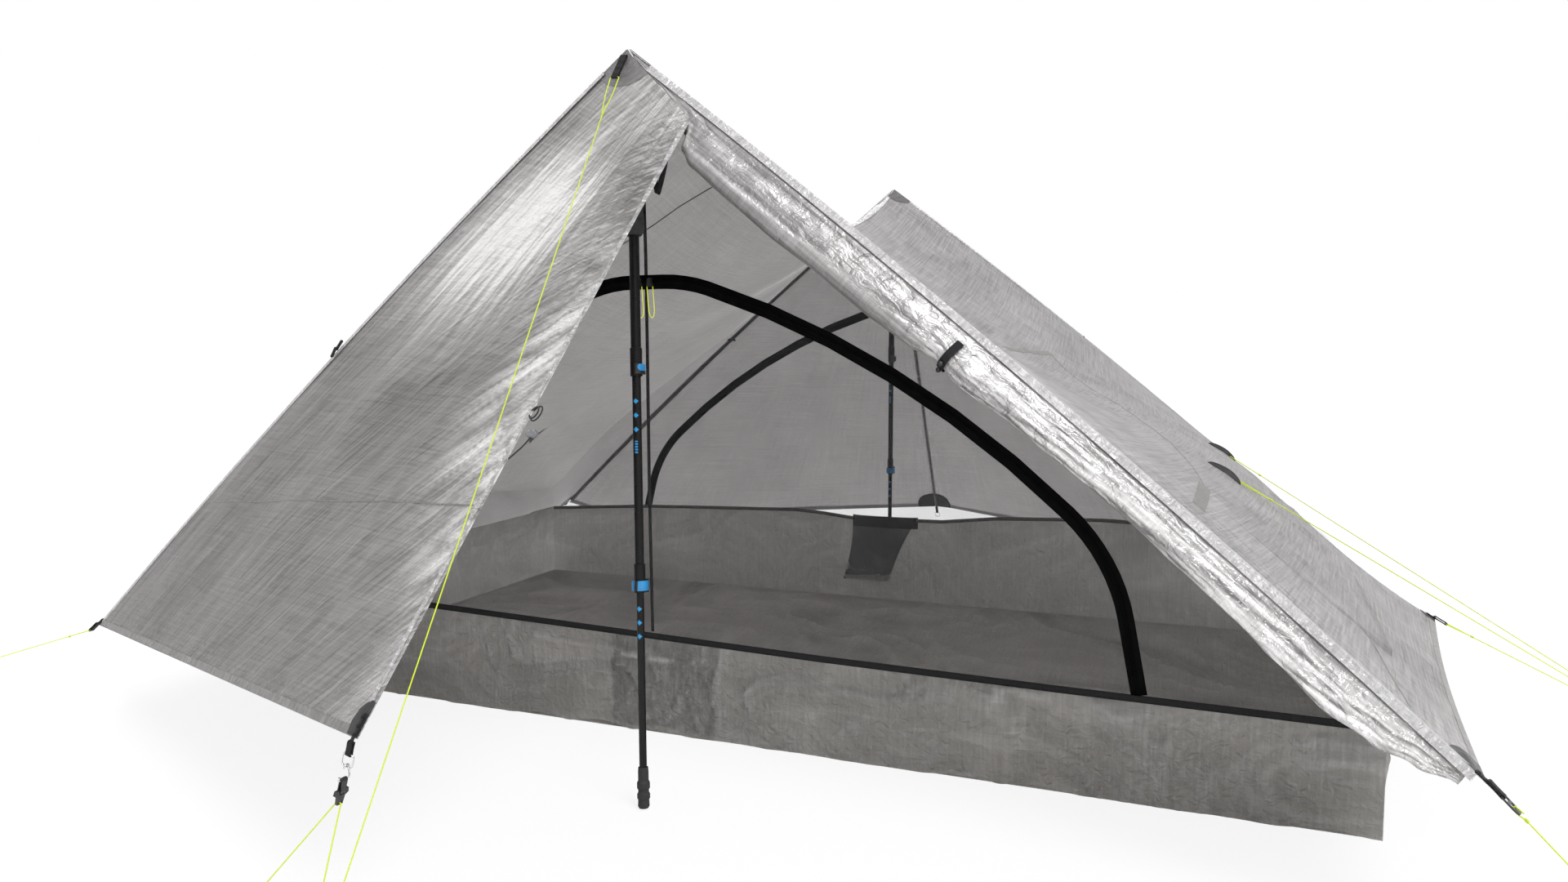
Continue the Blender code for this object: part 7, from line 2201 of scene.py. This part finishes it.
FRONT_MARKS = ((0.655, 0.0044), (0.632, 0.0044), (0.609, 0.0044), (0.580, 0.011), (0.320, 0.0044), (0.298, 0.0044),
               (0.276, 0.0044))
PAINTS = {
    "fly": fly_paint("fly_laminate", rgb(182, 179, 180), rgb(138, 135, 136), 0.42, 0.10, 0.55, 0.10,
                     weft_share=0.5),
    # fly_lit is a lighter copy of the same laminate: painted light that makes the right panel brighter than the left.
    "fly_lit": fly_paint("fly_laminate_lit", rgb(194, 192, 193), rgb(117, 115, 116), 0.42, 0.08, 0.50, 0.10,
                           weft_share=0.5),
    # fly_door is a darker copy of the same laminate: painted shade for the front door.
    "fly_door": fly_paint("fly_laminate_door", rgb(172, 169, 169), rgb(82, 79, 79), 0.38, 0.12, 0.42, 0.16),
    "fly_roll": fly_paint("fly_laminate_roll", rgb(184, 182, 182), rgb(122, 120, 120), 0.30, 0.35, 0.15, 0.20,
                          stretch=(1, 0.35, 1)),
    # fly_seam and fly_edge are lighter copies of the laminate: painted highlights on the seam folds and along the
    # door's free edge.
    "fly_seam": fly_paint("fly_seam_fold", rgb(206, 205, 206), rgb(164, 162, 163), 0.34, 0.15, 0.30, 0.10),
    "fly_edge": fly_paint("fly_door_edge", rgb(204, 202, 203), rgb(150, 147, 147), 0.30, 0.30, 0.15, 0.40),
    "hem": fly_paint("fly_hem_band", rgb(158, 156, 156), rgb(128, 126, 126), 0.42, 0.10, 0.25, 0.12),
    "hem_door": fly_paint("fly_door_hem", rgb(132, 129, 129), rgb(106, 103, 103), 0.42, 0.10, 0.20, 0.12),
    "tape": fly_paint("seam_tape", rgb(104, 101, 100), rgb(80, 77, 76), 0.45, 0.05, 0.20, 0.12),
    "tape_pale": fly_paint("seam_tape_pale", rgb(150, 147, 146), rgb(124, 121, 120), 0.45, 0.05, 0.40, 0.12),
    "tub": fly_paint("floor_laminate", rgb(196, 194, 190), rgb(154, 152, 149), 0.42, 0.08, 0.62, 0.14, 0.5),
    # tub_floor is a lighter copy of the tub laminate: painted light for the floor inside the tub.
    "tub_floor": fly_paint("floor_laminate_base", rgb(216, 213, 208), rgb(180, 177, 172), 0.42, 0.05, 0.34, 0.14,
                           0.5),
    "mesh": mesh_paint("insect_mesh", rgb(74, 74, 77), 0.10),
    "pocket": mesh_paint("pocket_mesh", rgb(34, 36, 37), 0.56),
    "pocket_hem": mesh_paint("pocket_hem_mesh", rgb(28, 30, 31), 0.70),
    "zip": zip_paint("zip_tape_black", rgb(3, 3, 3)),
    "binding": webbing_paint("mesh_binding", rgb(30, 30, 32)),
    "binding_pale": webbing_paint("wall_binding", rgb(96, 94, 92)),
    "webbing": webbing_paint("webbing_black", rgb(26, 26, 28)),
    "thread": plastic_paint("thread_black", rgb(20, 20, 22), 0.5),
    "patch": dark_patch("patch_dark", rgb(34, 33, 35)),
    "cap": dark_patch("cap_dark", rgb(96, 94, 95), 0.42),
    "cap_back": dark_patch("cap_back_dark", rgb(62, 60, 61), 0.42),
    "plastic": plastic_paint("plastic_black", rgb(24, 24, 26), 0.38),
    "lever": lever_paint("lever_blue", (0.053, 0.357, False)),
    "lever_knob": lever_paint("lever_knob", (0.046, 0.711, True)),
    "rubber": plastic_paint("rubber_tip", rgb(30, 30, 31), 0.75),
    "steel": metal_paint("steel", rgb(214, 214, 216), 0.22),
    "foam": foam_paint("grip_foam"),
    "slider": slider_paint("zip_slider"),
    "clear": clear_paint("clear_toggle"),
    "cord": cord_paint("cord_fluorescent", rgb(206, 222, 40), rgb(160, 180, 24)),
    "black_cord": cad_webbing("black_cord", rgb(26, 26, 28)),
    "carbon": carbon_paint("carbon_upper", ()),
    "carbon_mid": carbon_paint("carbon_printed", FRONT_MARKS, (0.075, -0.0609)),
    "carbon_back": carbon_paint("carbon_printed_back", FRONT_MARKS, (-0.03, 0.0246)),
}
TREES = trees_of(("canopy_right_panel", "canopy_left_panel", "front_left_storm_door", "back_left_storm_door",
                  "back_right_storm_door"))
build_stage()
build_guylines()
build_panels()
build_doors()
build_roll()
build_tub()
build_mesh_walls()
build_zips()
build_pockets()
build_tabs()
build_caps()
build_seams()
build_bands()
build_toes()
build_ties()
build_back_toggles()
build_strap_band()
build_hardware()
build_wrist_strap()
